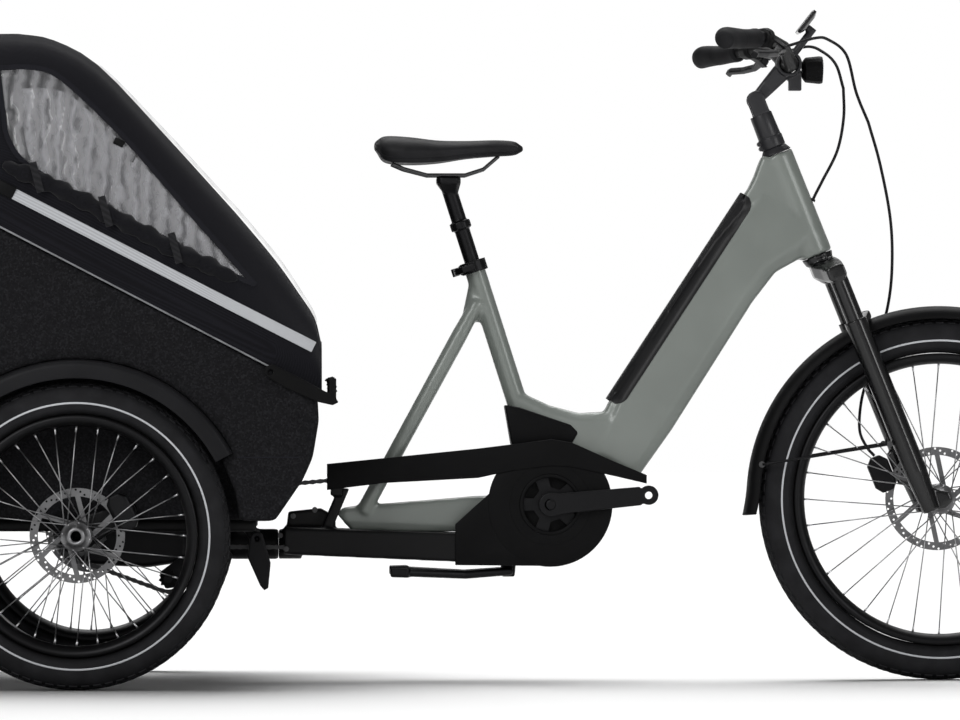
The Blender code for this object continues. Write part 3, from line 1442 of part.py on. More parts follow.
def toothed_ring(teeth, centre_point, half):
    """A chain wheel's toothed plate: one tooth and one root for each link."""
    tip = pitch_radius(teeth) - CHAIN_HEIGHT / 2.0 - CHAIN_CLEARANCE
    outline = []
    for index in range(teeth):
        for share, radius in ((0.25, tip - TOOTH_HEIGHT), (0.75, tip)):
            outline.append(polar(radius, 360.0 * (index + share) / teeth, (centre_point.x, centre_point.z)))
    return new_part(plate, outline, centre_point.y - half, centre_point.y + half)


def make_chainring():
    """The chainring with its spider, open between the arms, seated on the spindle."""
    centre = CRANK_POINT + ACROSS * CHAIN_LINE
    ring = finish(
        toothed_ring(CHAINRING_TEETH, centre, CHAINRING_THICKNESS / 2.0),
        "chainring",
        dark_steel(),
        "cranks",
    )
    cutters = []
    for index in range(5):
        angle = index * 72.0
        outline = [polar(0.058, angle - 24.0), polar(0.060, angle), polar(0.058, angle + 24.0)]
        outline += [polar(0.030, angle + 16.0), polar(0.030, angle - 16.0)]
        outline = [(centre.x + x, centre.z + z) for x, z in outline]
        cutters.append(new_part(plate, outline, centre.y - 0.01, centre.y + 0.01))
    bore = flat_facet(SPINDLE_RADIUS + GAP, 12)
    cutters.append(new_part(solid_turned, [(-0.01, bore), (0.01, bore)], centre, "Y", 12))
    return cut(ring, [tool(cutter, "cranks") for cutter in cutters])


def tangent_points(first, first_radius, second, second_radius, hand):
    """Where a straight chain run leaves one wheel and meets the next; a radius is negative below."""
    start, end = Vector(first), Vector(second)
    reach = end - start
    distance = reach.length
    direction = reach / distance
    normal = Vector((-direction.y, direction.x)) * hand
    lean = (first_radius - second_radius) / distance
    out = direction * lean + normal * math.sqrt(1.0 - lean * lean)
    return start + out * first_radius, end + out * second_radius


def chain_route():
    """The closed side-view path of the chain: top run, sprocket, jockey, idler, chainring."""
    ring, sprocket = pitch_radius(CHAINRING_TEETH), pitch_radius(SPROCKET_TEETH)
    jockey = pitch_radius(JOCKEY_TEETH)
    rear = (REAR_AXLE.x, REAR_AXLE.z)
    top_front, top_rear = tangent_points(CRANK_AXLE, ring, rear, sprocket, -1.0)
    low_rear, low_jockey = tangent_points(rear, sprocket, JOCKEY_PLACE, jockey, -1.0)
    rise_jockey, rise_idler = tangent_points(JOCKEY_PLACE, jockey, IDLER_PLACE, -IDLER_RADIUS, -1.0)
    last_idler, last_front = tangent_points(IDLER_PLACE, -IDLER_RADIUS, CRANK_AXLE, ring, -1.0)
    return {
        "top": (top_front, top_rear),
        "sprocket": (rear, top_rear, low_rear),
        "low": (low_rear, low_jockey),
        "jockey": (JOCKEY_PLACE, low_jockey, rise_jockey),
        "rise": (rise_jockey, rise_idler),
        "idler": (IDLER_PLACE, rise_idler, last_idler),
        "last": (last_idler, last_front),
        "ring": (CRANK_AXLE, last_front, top_front),
    }


def wrap(centre, start, end, turning, steps):
    """Points of the chain round a wheel, from one tangent point to the other."""
    radius = (Vector(start) - Vector(centre)).length
    first = math.degrees(math.atan2(start[1] - centre[1], start[0] - centre[0]))
    last = math.degrees(math.atan2(end[1] - centre[1], end[0] - centre[0]))
    while turning > 0 and last < first:
        last += 360.0
    while turning < 0 and last > first:
        last -= 360.0
    return [Vector(point) for point in arc(radius, first, last, steps, centre)]


def at_split(start, end):
    """Where a straight run crosses the plane that parts the front and rear chains."""
    start, end = Vector(start), Vector(end)
    share = (CHAIN_SPLIT - start.x) / (end.x - start.x)
    return start + (end - start) * share


def chain_band(name, path, carrier, half_height):
    """A band along a side-view path, with its width across the chain line and square cut ends."""
    rings = []
    count = len(path)
    for index, point in enumerate(path):
        before, after = path[max(index - 1, 0)], path[min(index + 1, count - 1)]
        along = (Vector(after) - Vector(before)).normalized()
        up = Vector((-along.y, along.x))
        if index in (0, count - 1):
            up = Vector((0.0, 1.0 if up.y > 0.0 else -1.0))
        ring = []
        for height, across in ((-1, -1), (1, -1), (1, 1), (-1, 1)):
            place = Vector(point) + up * height * half_height
            ring.append(Vector((place.x, CHAIN_LINE + across * CHAIN_WIDTH / 2.0, place.y)))
        rings.append(ring)
    return finish(new_part(loft, rings), name, dark_steel(), carrier)


CHAIN_GAP = 0.0002


def make_chains():
    """The chain in two parts, which meet where the front frame tilts."""
    route = chain_route()
    half = CHAIN_HEIGHT / 2.0
    shift = Vector((CHAIN_GAP, 0.0))
    low_split, top_split = at_split(*route["last"]), at_split(*route["top"])
    front = [low_split + shift, *wrap(*route["ring"], 1, 14), top_split + shift]
    chain_band("front_chain", front, "front_frame", half)
    rear = [top_split - shift, *wrap(*route["sprocket"], 1, 12), *wrap(*route["jockey"], 1, 8)]
    rear += [*wrap(*route["idler"], -1, 4), low_split - shift]
    return chain_band("rear_chain", rear, "rear_platform", half)


# Rear platform


AXLE_TUBE_RADIUS = 0.024
AXLE_TUBE_HALF = 0.325
AXLE_STUB_END = 0.3581
SPINE_RADIUS = 0.027
SPINE_FRONT = TILT_AXIS[0] - 0.0048
SIDE_RAIL_Y = 0.200
RAIL_LOW = 0.262
RAIL_HIGH = BOX_FLOOR - GAP
CALIPER_ANGLE = 27.0
CALIPER_REACH = 0.0985
HOUSING_RIGHT = -0.036
HOUSING_LEFT = 0.090
ARM_INNER = -0.0405
ARM_OUTER = -0.0440
JOCKEY_PIN_RADIUS = 0.004
PEDAL_PIVOT = (-0.372, 0.247)
PEDAL_PIN_RADIUS = 0.004
PEDAL_INNER = -0.077
PEDAL_OUTER = -0.085


def rear_caliper_point(hand, reach=CALIPER_REACH):
    """A point at the rear caliper's angle, on the plane of its disc."""
    x, z = polar(reach, CALIPER_ANGLE, (REAR_AXLE.x, REAR_AXLE.z))
    return Vector((x, rear_disc_y(hand), z))


def make_rear_frame():
    """The platform's steel frame: axle tube, tilt spine, rails, cross members and brake mounts."""
    axle = [(-AXLE_STUB_END, AXLE_STUB_RADIUS), (-AXLE_TUBE_HALF - GAP, AXLE_STUB_RADIUS)]
    axle += [(-AXLE_TUBE_HALF, AXLE_TUBE_RADIUS), (AXLE_TUBE_HALF, AXLE_TUBE_RADIUS)]
    axle += [(AXLE_TUBE_HALF + GAP, AXLE_STUB_RADIUS), (AXLE_STUB_END, AXLE_STUB_RADIUS)]
    frame = finish(
        new_part(solid_turned, axle, REAR_AXLE, "Y", 14), "rear_frame", black_paint(), "rear_platform"
    )
    spine = [side((SPINE_FRONT, TILT_AXIS[1])), side((-0.420, TILT_AXIS[1]))]
    pieces = [new_part(rod, *spine, SPINE_RADIUS, 12)]
    for hand in (RIGHT, LEFT):
        y = hand * SIDE_RAIL_Y
        pieces.append(new_part(block, (-1.060, y - 0.014, RAIL_LOW), (-0.372, y + 0.014, RAIL_HIGH)))
        inner, outer = hand * (AXLE_TUBE_HALF - 0.012), hand * (AXLE_TUBE_HALF - 0.0005)
        mount = arc(0.030, 117.0, 297.0, 8, (REAR_AXLE.x, REAR_AXLE.z))
        lug = rear_caliper_point(hand)
        mount += arc(0.013, -63.0, 117.0, 4, (lug.x, lug.z))
        pieces.append(new_part(plate, mount, inner, outer))
    for x in (-1.055, -0.392):
        pieces.append(
            new_part(block, (x - 0.014, -SIDE_RAIL_Y, RAIL_LOW), (x + 0.014, SIDE_RAIL_Y, RAIL_HIGH))
        )
    gusset = [(-0.412, 0.232), (-0.408, RAIL_LOW + 0.004), (-0.376, RAIL_LOW + 0.004), (-0.350, 0.240)]
    pieces.append(new_part(plate, gusset, -0.020, 0.020))
    hanger = [(PEDAL_PIVOT[0] - 0.026, RAIL_LOW + 0.004), (PEDAL_PIVOT[0] - 0.010, PEDAL_PIVOT[1] - 0.008)]
    hanger += [(PEDAL_PIVOT[0] + 0.008, PEDAL_PIVOT[1] - 0.008), (PEDAL_PIVOT[0] + 0.004, RAIL_LOW + 0.004)]
    pieces.append(new_part(plate, hanger, PEDAL_INNER + GAP, PEDAL_INNER + 0.009))
    pin = [(PEDAL_OUTER - 0.002, PEDAL_PIN_RADIUS), (PEDAL_INNER + 0.003, PEDAL_PIN_RADIUS)]
    pieces.append(new_part(solid_turned, pin, side(PEDAL_PIVOT), "Y", 10))
    return fuse(frame, [tool(piece, "rear_platform") for piece in pieces])


def make_tilt_lock_pedal():
    """The foot blade under the box's nose that locks and frees the tilt."""
    top = arc(0.012, 0.0, 180.0, 6, PEDAL_PIVOT)
    outline = top + [(-0.388, 0.215), (-0.366, 0.166), (-0.359, 0.158), (-0.352, 0.162), (-0.348, 0.205)]
    pedal = finish(
        new_part(
            plate, outline, PEDAL_OUTER, PEDAL_INNER
        ), "tilt_lock_pedal", dark_steel(), "tilt_lock_pedal"
    )
    bore = flat_facet(PEDAL_PIN_RADIUS + GAP, 10)
    hole = new_part(solid_turned, [(-0.1, bore), (0.1, bore)], side(PEDAL_PIVOT), "Y", 10)
    return cut(pedal, [tool(hole, "tilt_lock_pedal")])


def make_axle_housing():
    """The differential housing round the axle tube, with its nose towards the tensioner."""
    rings = []
    for y, shrink in (
        (HOUSING_RIGHT, 0.006), (HOUSING_RIGHT + 0.010, 0.0), (HOUSING_LEFT - 0.020, 0.0),
        (HOUSING_LEFT, 0.018),
    ):
        outline = [(-0.715, 0.290), (-0.728, 0.262), (-0.718, 0.222), (-0.690, 0.202), (-0.560, 0.196)]
        outline += [(-0.492, 0.206), (-0.490, 0.262), (-0.530, 0.281), (-0.640, 0.308), (-0.690, 0.308)]
        middle = Vector((-0.610, 0.0, 0.250))
        ring = [side(point, y) for point in outline]
        rings.append(
            [point + (middle - Vector((point.x, 0.0, point.z))).normalized() * shrink for point in ring]
        )
    housing = finish(new_part(loft, rings), "axle_housing", black_paint(), "rear_platform")
    bore = flat_facet(AXLE_TUBE_RADIUS + GAP, 16)
    return cut(
        housing,
        [tool(new_part(solid_turned, [(-0.2, bore), (0.2, bore)], REAR_AXLE, "Y", 16), "rear_platform")],
    )


def make_rear_sprocket():
    """The driven sprocket, which turns round the axle tube."""
    centre = REAR_AXLE + ACROSS * CHAIN_LINE
    sprocket = finish(
        toothed_ring(SPROCKET_TEETH, centre, CHAINRING_THICKNESS / 2.0),
        "rear_sprocket",
        dark_steel(),
        "rear_sprocket",
    )
    hub = new_part(solid_turned, [(-0.006, 0.033), (0.011, 0.033)], centre, "Y", 16)
    fuse(sprocket, [tool(hub, "rear_sprocket")])
    bore = flat_facet(AXLE_TUBE_RADIUS + RUNNING_GAP, 16)
    return cut(
        sprocket,
        [tool(new_part(solid_turned, [(-0.1, bore), (0.1, bore)], centre, "Y", 16), "rear_sprocket")],
    )


def make_tensioner_arm():
    """The arm bolted to the housing, with the jockey's pin, its outer cheek and the chain slider."""
    outline = [(-0.528, 0.160), (-0.512, 0.162), (-0.492, 0.190), (-0.430, 0.196), (-0.420, 0.2005)]
    outline += [(-0.424, 0.212), (-0.470, 0.216), (-0.505, 0.214), (-0.540, 0.188)]
    arm = finish(
        new_part(plate, outline, ARM_OUTER, ARM_INNER), "tensioner_arm", black_paint(), "rear_platform"
    )
    pieces = []
    for place in ((-0.500, 0.211), (-0.4975, 0.2125)):
        foot = side(place, ARM_INNER - 0.001)
        pieces.append(new_part(rod, foot, side(place, HOUSING_RIGHT - GAP), 0.007, 8))
    jockey = side(JOCKEY_PLACE)
    pin = [(-0.0585, JOCKEY_PIN_RADIUS), (ARM_OUTER + 0.001, JOCKEY_PIN_RADIUS)]
    pieces.append(new_part(solid_turned, pin, jockey, "Y", 10))
    pieces.append(new_part(solid_turned, [(-0.0595, 0.0075), (-0.0565, 0.0075)], jockey, "Y", 10))
    slider = IDLER_RADIUS - CHAIN_HEIGHT / 2.0 - CHAIN_CLEARANCE
    block_profile = [(CHAIN_LINE - 0.004, slider), (ARM_OUTER + 0.001, slider)]
    pieces.append(new_part(solid_turned, block_profile, side(IDLER_PLACE), "Y", 12))
    return fuse(arm, [tool(piece, "rear_platform") for piece in pieces])


def make_jockey_wheel():
    """The tensioner's toothed wheel on its pin."""
    centre = side(JOCKEY_PLACE, CHAIN_LINE)
    wheel = finish(
        toothed_ring(JOCKEY_TEETH, centre, 0.002), "jockey_wheel", black_plastic(), "jockey_wheel"
    )
    fuse(
        wheel,
        [tool(new_part(solid_turned, [(-0.004, 0.009), (0.004, 0.009)], centre, "Y", 12), "jockey_wheel")],
    )
    bore = flat_facet(JOCKEY_PIN_RADIUS + GAP, 10)
    return cut(
        wheel, [tool(new_part(solid_turned, [(-0.1, bore), (0.1, bore)], centre, "Y", 10), "jockey_wheel")]
    )


def make_rear_caliper(hand, label):
    """A rear brake caliper: a bevelled body across the disc and a foot on its mount."""
    turn = math.radians(CALIPER_ANGLE)
    outward = Vector((math.cos(turn), 0.0, math.sin(turn)))
    along = Vector((-outward.z, 0.0, outward.x))
    rings = []
    for place, depth in ((-0.032, 0.010), (-0.022, 0.019), (0.022, 0.019), (0.032, 0.010)):
        centre = rear_caliper_point(hand, 0.0855) + along * place
        rings.append(rounded(centre, outward * depth, ACROSS * 0.0110))
    caliper = finish(new_part(loft, rings), "rear_caliper_" + label, black_paint(), "rear_platform")
    foot = rear_caliper_point(hand)
    foot_near = Vector((foot.x, hand * (AXLE_TUBE_HALF - 0.0005 + GAP), foot.z))
    foot_far = Vector((foot.x, hand * (abs(foot.y) - 0.004), foot.z))
    fuse(caliper, [tool(new_part(rod, foot_near, foot_far, 0.0095, 8), "rear_platform")])
    outline = arc(REAR_DISC_RADIUS + 0.004, -30.0, 90.0, 14, (REAR_AXLE.x, REAR_AXLE.z))
    outline.append((REAR_AXLE.x, REAR_AXLE.z))
    half = DISC_THICKNESS / 2.0 + 0.0009
    return cut(caliper, [tool(new_part(plate, outline, foot.y - half, foot.y + half), "rear_platform")])


# Box, arches, cushions and hood


BOX_WELL_INNER = TRACK / 2.0 - 0.092
ARCH_INNER = TRACK / 2.0 - 0.055
ARCH_WALL = 0.006
ARCH_START = 28.0
ARCH_END_GAP = 0.06
WELL_RADIUS = 0.276
TUNNEL_RIGHT = -0.110
TUNNEL_LEFT = 0.100
TUNNEL_TOP = 0.380
TUNNEL_REAR = -0.750
BENCH_TOP = 0.430
BOX_REAR_FACE = BOX_REAR_X + 0.012
BOX_FRONT = (-0.266, 0.4507)
HOOD_HINGE = (BOX_REAR_FACE, 0.881)
RIM = ((BOX_REAR_FACE, 0.880), (-0.980, 0.867), (-0.3965, 0.5645), (-0.300, 0.514), (-0.262, 0.490))
ROOF = (
    (-1.112, 1.030),
    (-1.090, 1.062),
    (-1.030, 1.092),
    (-0.980, 1.101),
    (-0.900, 1.107),
    (-0.800, 1.109),
    (-0.766, 1.108),
    (-0.715, 1.098),
    (-0.642, 1.057),
    (-0.541, 0.952),
    (-0.432, 0.832),
    (-0.3965, 0.792),
    (-0.339, 0.723),
    (-0.300, 0.668),
    (-0.273, 0.626),
    (-0.262, 0.585),
)
LATCH_PIVOT = (-0.347, 0.5325)
LATCH_SEAT_Y = BOX_HALF_WIDTH + 0.007
LATCH_PIN_RADIUS = 0.004


def level_at(table, x):
    """The height of a row of side-view points at one place along the length."""
    for (left, low), (right, high) in zip(table, table[1:]):
        if x <= right:
            return low + (high - low) * (x - left) / (right - left)
    return table[-1][1]


def make_cargo_box():
    """The thick moulded box: wheel wells, drive tunnel, bench and foot wells."""
    half = BOX_HALF_WIDTH - 0.002
    outline = [(-1.085, BOX_FLOOR), (-0.340, BOX_FLOOR), (-0.2926, 0.352), (-0.276, BOX_SEAM), BOX_FRONT]
    outline += [(-0.268, 0.492), RIM[3], RIM[2], RIM[1], RIM[0], (BOX_REAR_FACE, 0.320)]
    box = finish(new_part(plate, outline, -half, half), "cargo_box", foam(), "rear_platform")
    bases = []
    base = [
        (-0.362, 0.531), (-0.352, 0.5385), (-0.300, 0.5115), (-0.272, 0.488), (-0.272, 0.452),
        (-0.290, 0.452),
    ]
    base.append((-0.312, 0.498))
    for hand in (RIGHT, LEFT):
        bases.append(new_part(plate, base, hand * (half - 0.004), hand * LATCH_SEAT_Y))
        pin = side(LATCH_PIVOT, hand * (LATCH_SEAT_Y - 0.002))
        bases.append(new_part(rod, pin, pin + ACROSS * hand * 0.0105, LATCH_PIN_RADIUS, 8))
    fuse(box, [tool(piece, "rear_platform") for piece in bases])
    wall = BOX_WALL
    rear = BOX_REAR_FACE + wall
    cutters = []
    step = 0.0005
    upper = [
        (rear, 1.200), (rear, BENCH_TOP + step), (-0.950, BENCH_TOP + step), (-0.925, 0.458),
        (-0.840, 0.535),
    ]
    upper += [(-0.740, 0.575), (-0.603, 0.575), (-0.503, 0.535), (-0.418, 0.458), (-0.378, 0.400)]
    upper += [(-0.362, 0.345), (-0.327, 0.345), (-0.3124, 0.3656), (-0.300, 0.392), (-0.290, 0.4507)]
    upper.append((-0.290, 1.200))
    cutters.append(new_part(plate, upper, -half + wall, half - wall))
    low_half = BOX_WELL_INNER - wall
    middle = [(rear + step, 1.190), (rear + step, BENCH_TOP), (-0.700, BENCH_TOP)]
    middle += [(-0.700, TUNNEL_TOP + wall), (-0.300, TUNNEL_TOP + wall), (-0.291, 0.4507), (-0.291, 1.190)]
    cutters.append(new_part(plate, middle, -low_half, low_half))
    foot = [(-0.700 + step, 0.410), (-0.700 + step, BOX_FLOOR + wall), (-0.3526, BOX_FLOOR + wall)]
    foot += [(-0.3134, 0.3646), (-0.3035, 0.410)]
    cutters.append(new_part(plate, foot, -low_half + step, TUNNEL_RIGHT - wall))
    cutters.append(new_part(plate, foot, TUNNEL_LEFT + wall, low_half - step))
    cutters.append(new_part(block, (TUNNEL_REAR, TUNNEL_RIGHT, 0.200), (-0.200, TUNNEL_LEFT, TUNNEL_TOP)))
    hub = (REAR_AXLE.x, REAR_AXLE.z)
    well = arc(WELL_RADIUS, 0.0, 345.0, 23, hub)
    arch = arc(
        ARCH_OUTER_RADIUS + GAP, ARCH_START - ARCH_END_GAP, 180.0 + ARCH_END_GAP - ARCH_START, 14, hub
    )
    arch.append(hub)
    for hand in (RIGHT, LEFT):
        cutters.append(new_part(plate, well, hand * BOX_WELL_INNER, hand * 0.5))
        cutters.append(new_part(plate, arch, hand * (BOX_WELL_INNER + step), hand * 0.501))
    return cut(box, [tool(cutter, "rear_platform") for cutter in cutters])


def make_wheel_arch(hand, label):
    """A wheel arch: a curved channel that closes the top of the wheel well."""
    outer, lip = ARCH_OUTER_RADIUS, ARCH_LIP_RADIUS
    far, near = ARCH_HALF_WIDTH, ARCH_INNER
    section_points = [(near, lip), (near, outer - 0.003), (near + 0.003, outer), (far - 0.012, outer)]
    section_points += [
        (far, outer - 0.012), (far, lip), (far - ARCH_WALL, lip),
        (far - ARCH_WALL, outer - ARCH_WALL - 0.010),
    ]
    section_points += [
        (far - ARCH_WALL - 0.009, outer - ARCH_WALL), (near + ARCH_WALL, outer - ARCH_WALL),
        (near + ARCH_WALL, lip),
    ]
    rings = []
    steps = 14
    for index in range(steps + 1):
        angle = ARCH_START + (180.0 - 2.0 * ARCH_START) * index / steps
        rings.append([wheel_point(REAR_AXLE, hand * y, radius, angle) for y, radius in section_points])
    return finish(new_part(loft, rings), "wheel_arch_" + label, black_plastic(), "rear_platform")


def cushion_rings(low, high, thickness_at):
    """Sections of a cushion across the width; the padding is drawn in at the edges and the seams."""
    rings = []
    half = 0.274
    count = 18
    for index in range(count + 1):
        share = 2.0 * index / count - 1.0
        puff = thickness_at(share)
        y = half * share
        rings.append([Vector((point[0], y, point[1])) for point in section_between(low, high, puff)])
    return rings


def section_between(low, high, puff):
    """A rounded side-view section whose padded face swells by a share of its depth."""
    (x0, z0), (x1, z1) = low, high
    if x1 - x0 > z1 - z0:
        top = z0 + (z1 - z0) * puff
        bevel = 0.30 * (z1 - z0)
        return [
            (x0 + 0.004, z0),
            (x1 - 0.006, z0),
            (x1, z0 + bevel),
            (x1 - 0.006, top - 0.35 * bevel),
            (x1 - 0.045, top),
            ((x0 + x1) / 2.0, top + 0.002 * puff),
            (x0 + 0.045, top),
            (x0 + 0.006, top - 0.35 * bevel),
            (x0, z0 + bevel),
        ]
    face = x0 + (x1 - x0) * puff
    bevel = 0.30 * (x1 - x0)
    return [
        (x0, z0 + 0.006),
        (x0 + bevel, z0),
        (face - 0.35 * bevel, z0 + 0.006),
        (face, z0 + 0.045),
        (face + 0.002 * puff, (z0 + z1) / 2.0),
        (face, z1 - 0.045),
        (face - 0.35 * bevel, z1 - 0.006),
        (x0 + bevel, z1),
        (x0, z1 - 0.006),
    ]


def padding(share):
    """How full a cushion is across its width: three pads with two seams between them."""
    pad = abs(math.sin(math.pi * 1.5 * (share + 1.0)))
    return 0.72 + 0.28 * pad**0.5


def make_seat_cushion():
    low, high = (BOX_REAR_FACE + BOX_WALL + 0.001, BENCH_TOP + GAP), (-0.705, BENCH_TOP + 0.058)
    return finish(
        new_part(loft, cushion_rings(low, high, padding)), "seat_cushion", fabric(), "rear_platform", 60.0
    )


def make_back_cushion():
    low, high = (
        BOX_REAR_FACE + BOX_WALL + GAP, BENCH_TOP + 0.0625
    ), (BOX_REAR_FACE + BOX_WALL + 0.050, 0.850)
    return finish(
        new_part(loft, cushion_rings(low, high, padding)), "back_cushion", fabric(), "rear_platform", 60.0
    )


def hood_section(x, inset, drop):
    """A cross section of the hood at one place: rim, upright belt, sloping side and roof."""
    low, high = level_at(RIM, x) + 2.0 * GAP, level_at(ROOF, x)
    height = high - low
    wide = BOX_HALF_WIDTH - 0.002 - inset
    if x > -0.34:
        wide -= 0.020 * (x + 0.34) / 0.078
    roof_half = 0.300 + 0.040 * max(0.0, (x + 0.70) / 0.438) - inset
    belt = low + min(0.055, 0.40 * height)
    shoulder = high - inset - min(0.060, 0.30 * height)
    half_ring = [(wide, low - drop), (wide - 0.002, belt), (roof_half + 0.030, shoulder)]
    half_ring += [(roof_half - 0.020, high - inset - 0.008), (0.0, high - inset)]
    ring = [Vector((x, -y, z)) for y, z in half_ring]
    return ring + [Vector((x, y, z)) for y, z in reversed(half_ring[:-1])]


def make_hood_shell():
    """The folding hood's cover: a thin shell with its clear side windows, open below."""
    places = [x for x, _ in ROOF]
    shell = finish(
        new_part(loft, [hood_section(x, 0.0, 0.0) for x in places]), "hood_shell", fabric(), "hood"
    )
    inner = [places[0] + HOOD_WALL, *places[1:-1], places[-1] - HOOD_WALL]
    cavity = new_part(loft, [hood_section(x, HOOD_WALL, 0.03) for x in inner])
    return cut(shell, [tool(cavity, "hood")])


def make_hood_bow():
    """The tube that carries the hood's roof."""
    radius = 0.008
    ring = hood_section(-0.850, HOOD_WALL + radius + 0.0046, -0.020)
    return finish(new_part(tube, ring, radius, 8), "hood_bow", black_paint(), "hood")


def make_latch_lever(hand, label):
    """The bar that holds the hood's front corner, with a knob at its free end."""
    inner, outer = hand * (LATCH_SEAT_Y + GAP), hand * (LATCH_SEAT_Y + 0.0080)
    outline = [(-0.357, 0.527), (-0.356, 0.541), (-0.344, 0.546), (-0.300, 0.524), (-0.240, 0.492)]
    outline += [(-0.233, 0.482), (-0.243, 0.477), (-0.270, 0.483), (-0.320, 0.505)]
    lever = finish(
        new_part(
            plate, outline, inner, outer
        ), "latch_lever_" + label, black_plastic(), "latch_lever_" + label
    )
    knob = new_part(
        plate, [(-0.249, 0.492), (-0.249, 0.522), (-0.237, 0.522), (-0.237, 0.488)], inner, outer
    )
    fuse(lever, [tool(knob, "latch_lever_" + label)])
    bore = flat_facet(LATCH_PIN_RADIUS + GAP, 8)
    hole = new_part(solid_turned, [(-0.6, bore), (0.6, bore)], side(LATCH_PIVOT), "Y", 8)
    return cut(lever, [tool(hole, "latch_lever_" + label)])


def make_rear_light():
    """The lamp on the back of the box."""
    rings = []
    for x, shrink in ((BOX_REAR_FACE - GAP, 0.0), (BOX_REAR_X + 0.004, 0.0), (BOX_REAR_X, 0.004)):
        rings.append(rounded((x, 0.0, 0.620), (0.0, 0.050 - shrink, 0.0), (0.0, 0.0, 0.018 - shrink)))
    return finish(
        new_part(loft, rings), "rear_light", material("red_lens", (0.30, 0.01, 0.01), 0.2), "rear_platform"
    )


# Cables


CABLE_RADIUS = 0.0027


def cable(name, path, radius, carrier):
    """A cable that is held all the way: a round curve with closed ends through its clips."""
    points = smooth_path([Vector(point) for point in path])
    empty, at = EMPTIES[carrier]
    data = bpy.data.curves.new(name, "CURVE")
    data.dimensions = "3D"
    data.bevel_depth = radius
    data.bevel_resolution = 2
    data.use_fill_caps = True
    spline = data.splines.new("POLY")
    spline.points.add(len(points) - 1)
    for item, point in zip(spline.points, points):
        item.co = (*(point - at), 1.0)
    data.materials.append(rubber())
    made = bpy.data.objects.new(name, data)
    bpy.context.scene.collection.objects.link(made)
    made.parent = empty
    return made


def smooth_path(points, per_span=4):
    """Even points on a smooth curve through the given ones."""
    ends = [points[0] * 2.0 - points[1], *points, points[-1] * 2.0 - points[-2]]
    smooth = []
    for index in range(1, len(ends) - 2):
        before, start, end, after = ends[index - 1 : index + 3]
        for step in range(per_span):
            t = step / per_span
            smooth.append(
                0.5
                * (
                    2.0 * start
                    + (end - before) * t
                    + (2.0 * before - 5.0 * start + 4.0 * end - after) * t * t
                    + (3.0 * start - before - 3.0 * end + after) * t * t * t
                )
            )
    return smooth + [points[-1]]


def hose_start(hand):
    """The first points of a hose, from the inner face of a brake lever's clamp."""
    pivot, along, ahead, _ = lever_frame(hand)
    start = pivot - ahead * 0.0142 - along * 0.0177
    return [start, start - along * 0.022 + ahead * 0.004]


def make_cables():
    """The front brake hose from its lever to its caliper, and the rear one into the head tube."""
    hose = hose_start(RIGHT) + [
        (0.588, -0.110, 1.108),
        (0.616, -0.050, 1.108),
        (0.650, -0.008, 1.084),
        (0.670, 0.026, 1.020),
        (0.692, 0.036, 0.968),
        (0.713, 0.042, 0.895),
        (0.731, 0.045, 0.800),
        (0.734, 0.048, 0.715),
        (0.727, 0.062, 0.645),
        (0.709, 0.086, 0.580),
        (0.696, 0.0925, 0.530),
        (0.683, 0.086, 0.480),
        (0.679, 0.066, 0.432),
        (0.690, 0.046, 0.403),
        on_head_axis(axle_drop() - 0.1098, FORK_LEG_OFFSET - 0.0485, 0.0405),
    ]
    cable("brake_hose_front", hose, CABLE_RADIUS, "steering")
    bundle = hose_start(LEFT) + [
        (0.588, 0.110, 1.104),
        (0.614, 0.054, 1.092),
        (0.634, 0.018, 1.068),
        (0.645, -0.006, 1.026),
        (0.645, -0.012, 0.975),
        (0.634, -0.012, 0.918),
        (0.608, -0.009, 0.868),
        (0.5945, -0.007, 0.849),
    ]
    return cable("brake_hose_rear", bundle, CABLE_RADIUS, "front_frame")


# The whole tricycle


def make_bodies():
    """One empty on each joint, from the rear platform outwards."""
    body("rear_platform", (0.0, 0.0, 0.0))
    body("tilt_lock_pedal", side(PEDAL_PIVOT), "rear_platform")
    body("rear_sprocket", REAR_AXLE, "rear_platform")
    body("jockey_wheel", side(JOCKEY_PLACE), "rear_platform")
    body("hood", side(HOOD_HINGE), "rear_platform")
    body("front_frame", TILT_POINT, "rear_platform")
    body("kickstand", side(STAND_PIVOT), "front_frame")
    body("seat", SEAT_TOP_POINT, "front_frame")
    body("seat_clamp_lever", clamp_lever_frame()[0], "front_frame")
    body("cranks", CRANK_POINT, "front_frame")
    body("steering", HEAD_BOTTOM_POINT, "front_frame")
    body("handlebar", STEM_PIVOT_POINT, "steering")
    body("fork_slide", on_head_axis(LOWER_TOP), "steering")
    body("front_wheel", FRONT_AXLE, "fork_slide")
    for hand, label in ((RIGHT, "right"), (LEFT, "left")):
        body("brake_lever_" + label, lever_frame(hand)[0], "handlebar")
        body("latch_lever_" + label, side(LATCH_PIVOT, hand * LATCH_SEAT_Y), "rear_platform")
        body("rear_wheel_" + label, REAR_AXLE + ACROSS * hand * TRACK / 2.0, "rear_platform")


def make_rear():
    make_rear_frame()
    make_axle_housing()
    make_rear_sprocket()
    make_tensioner_arm()
    make_jockey_wheel()
    make_tilt_lock_pedal()
    make_cargo_box()
    make_seat_cushion()
    make_back_cushion()
    make_rear_light()
    make_hood_shell()
    make_hood_bow()
    for hand, label in ((RIGHT, "right"), (LEFT, "left")):
        make_rear_wheel(hand, label)
        make_rear_caliper(hand, label)
        make_wheel_arch(hand, label)
        make_latch_lever(hand, label)


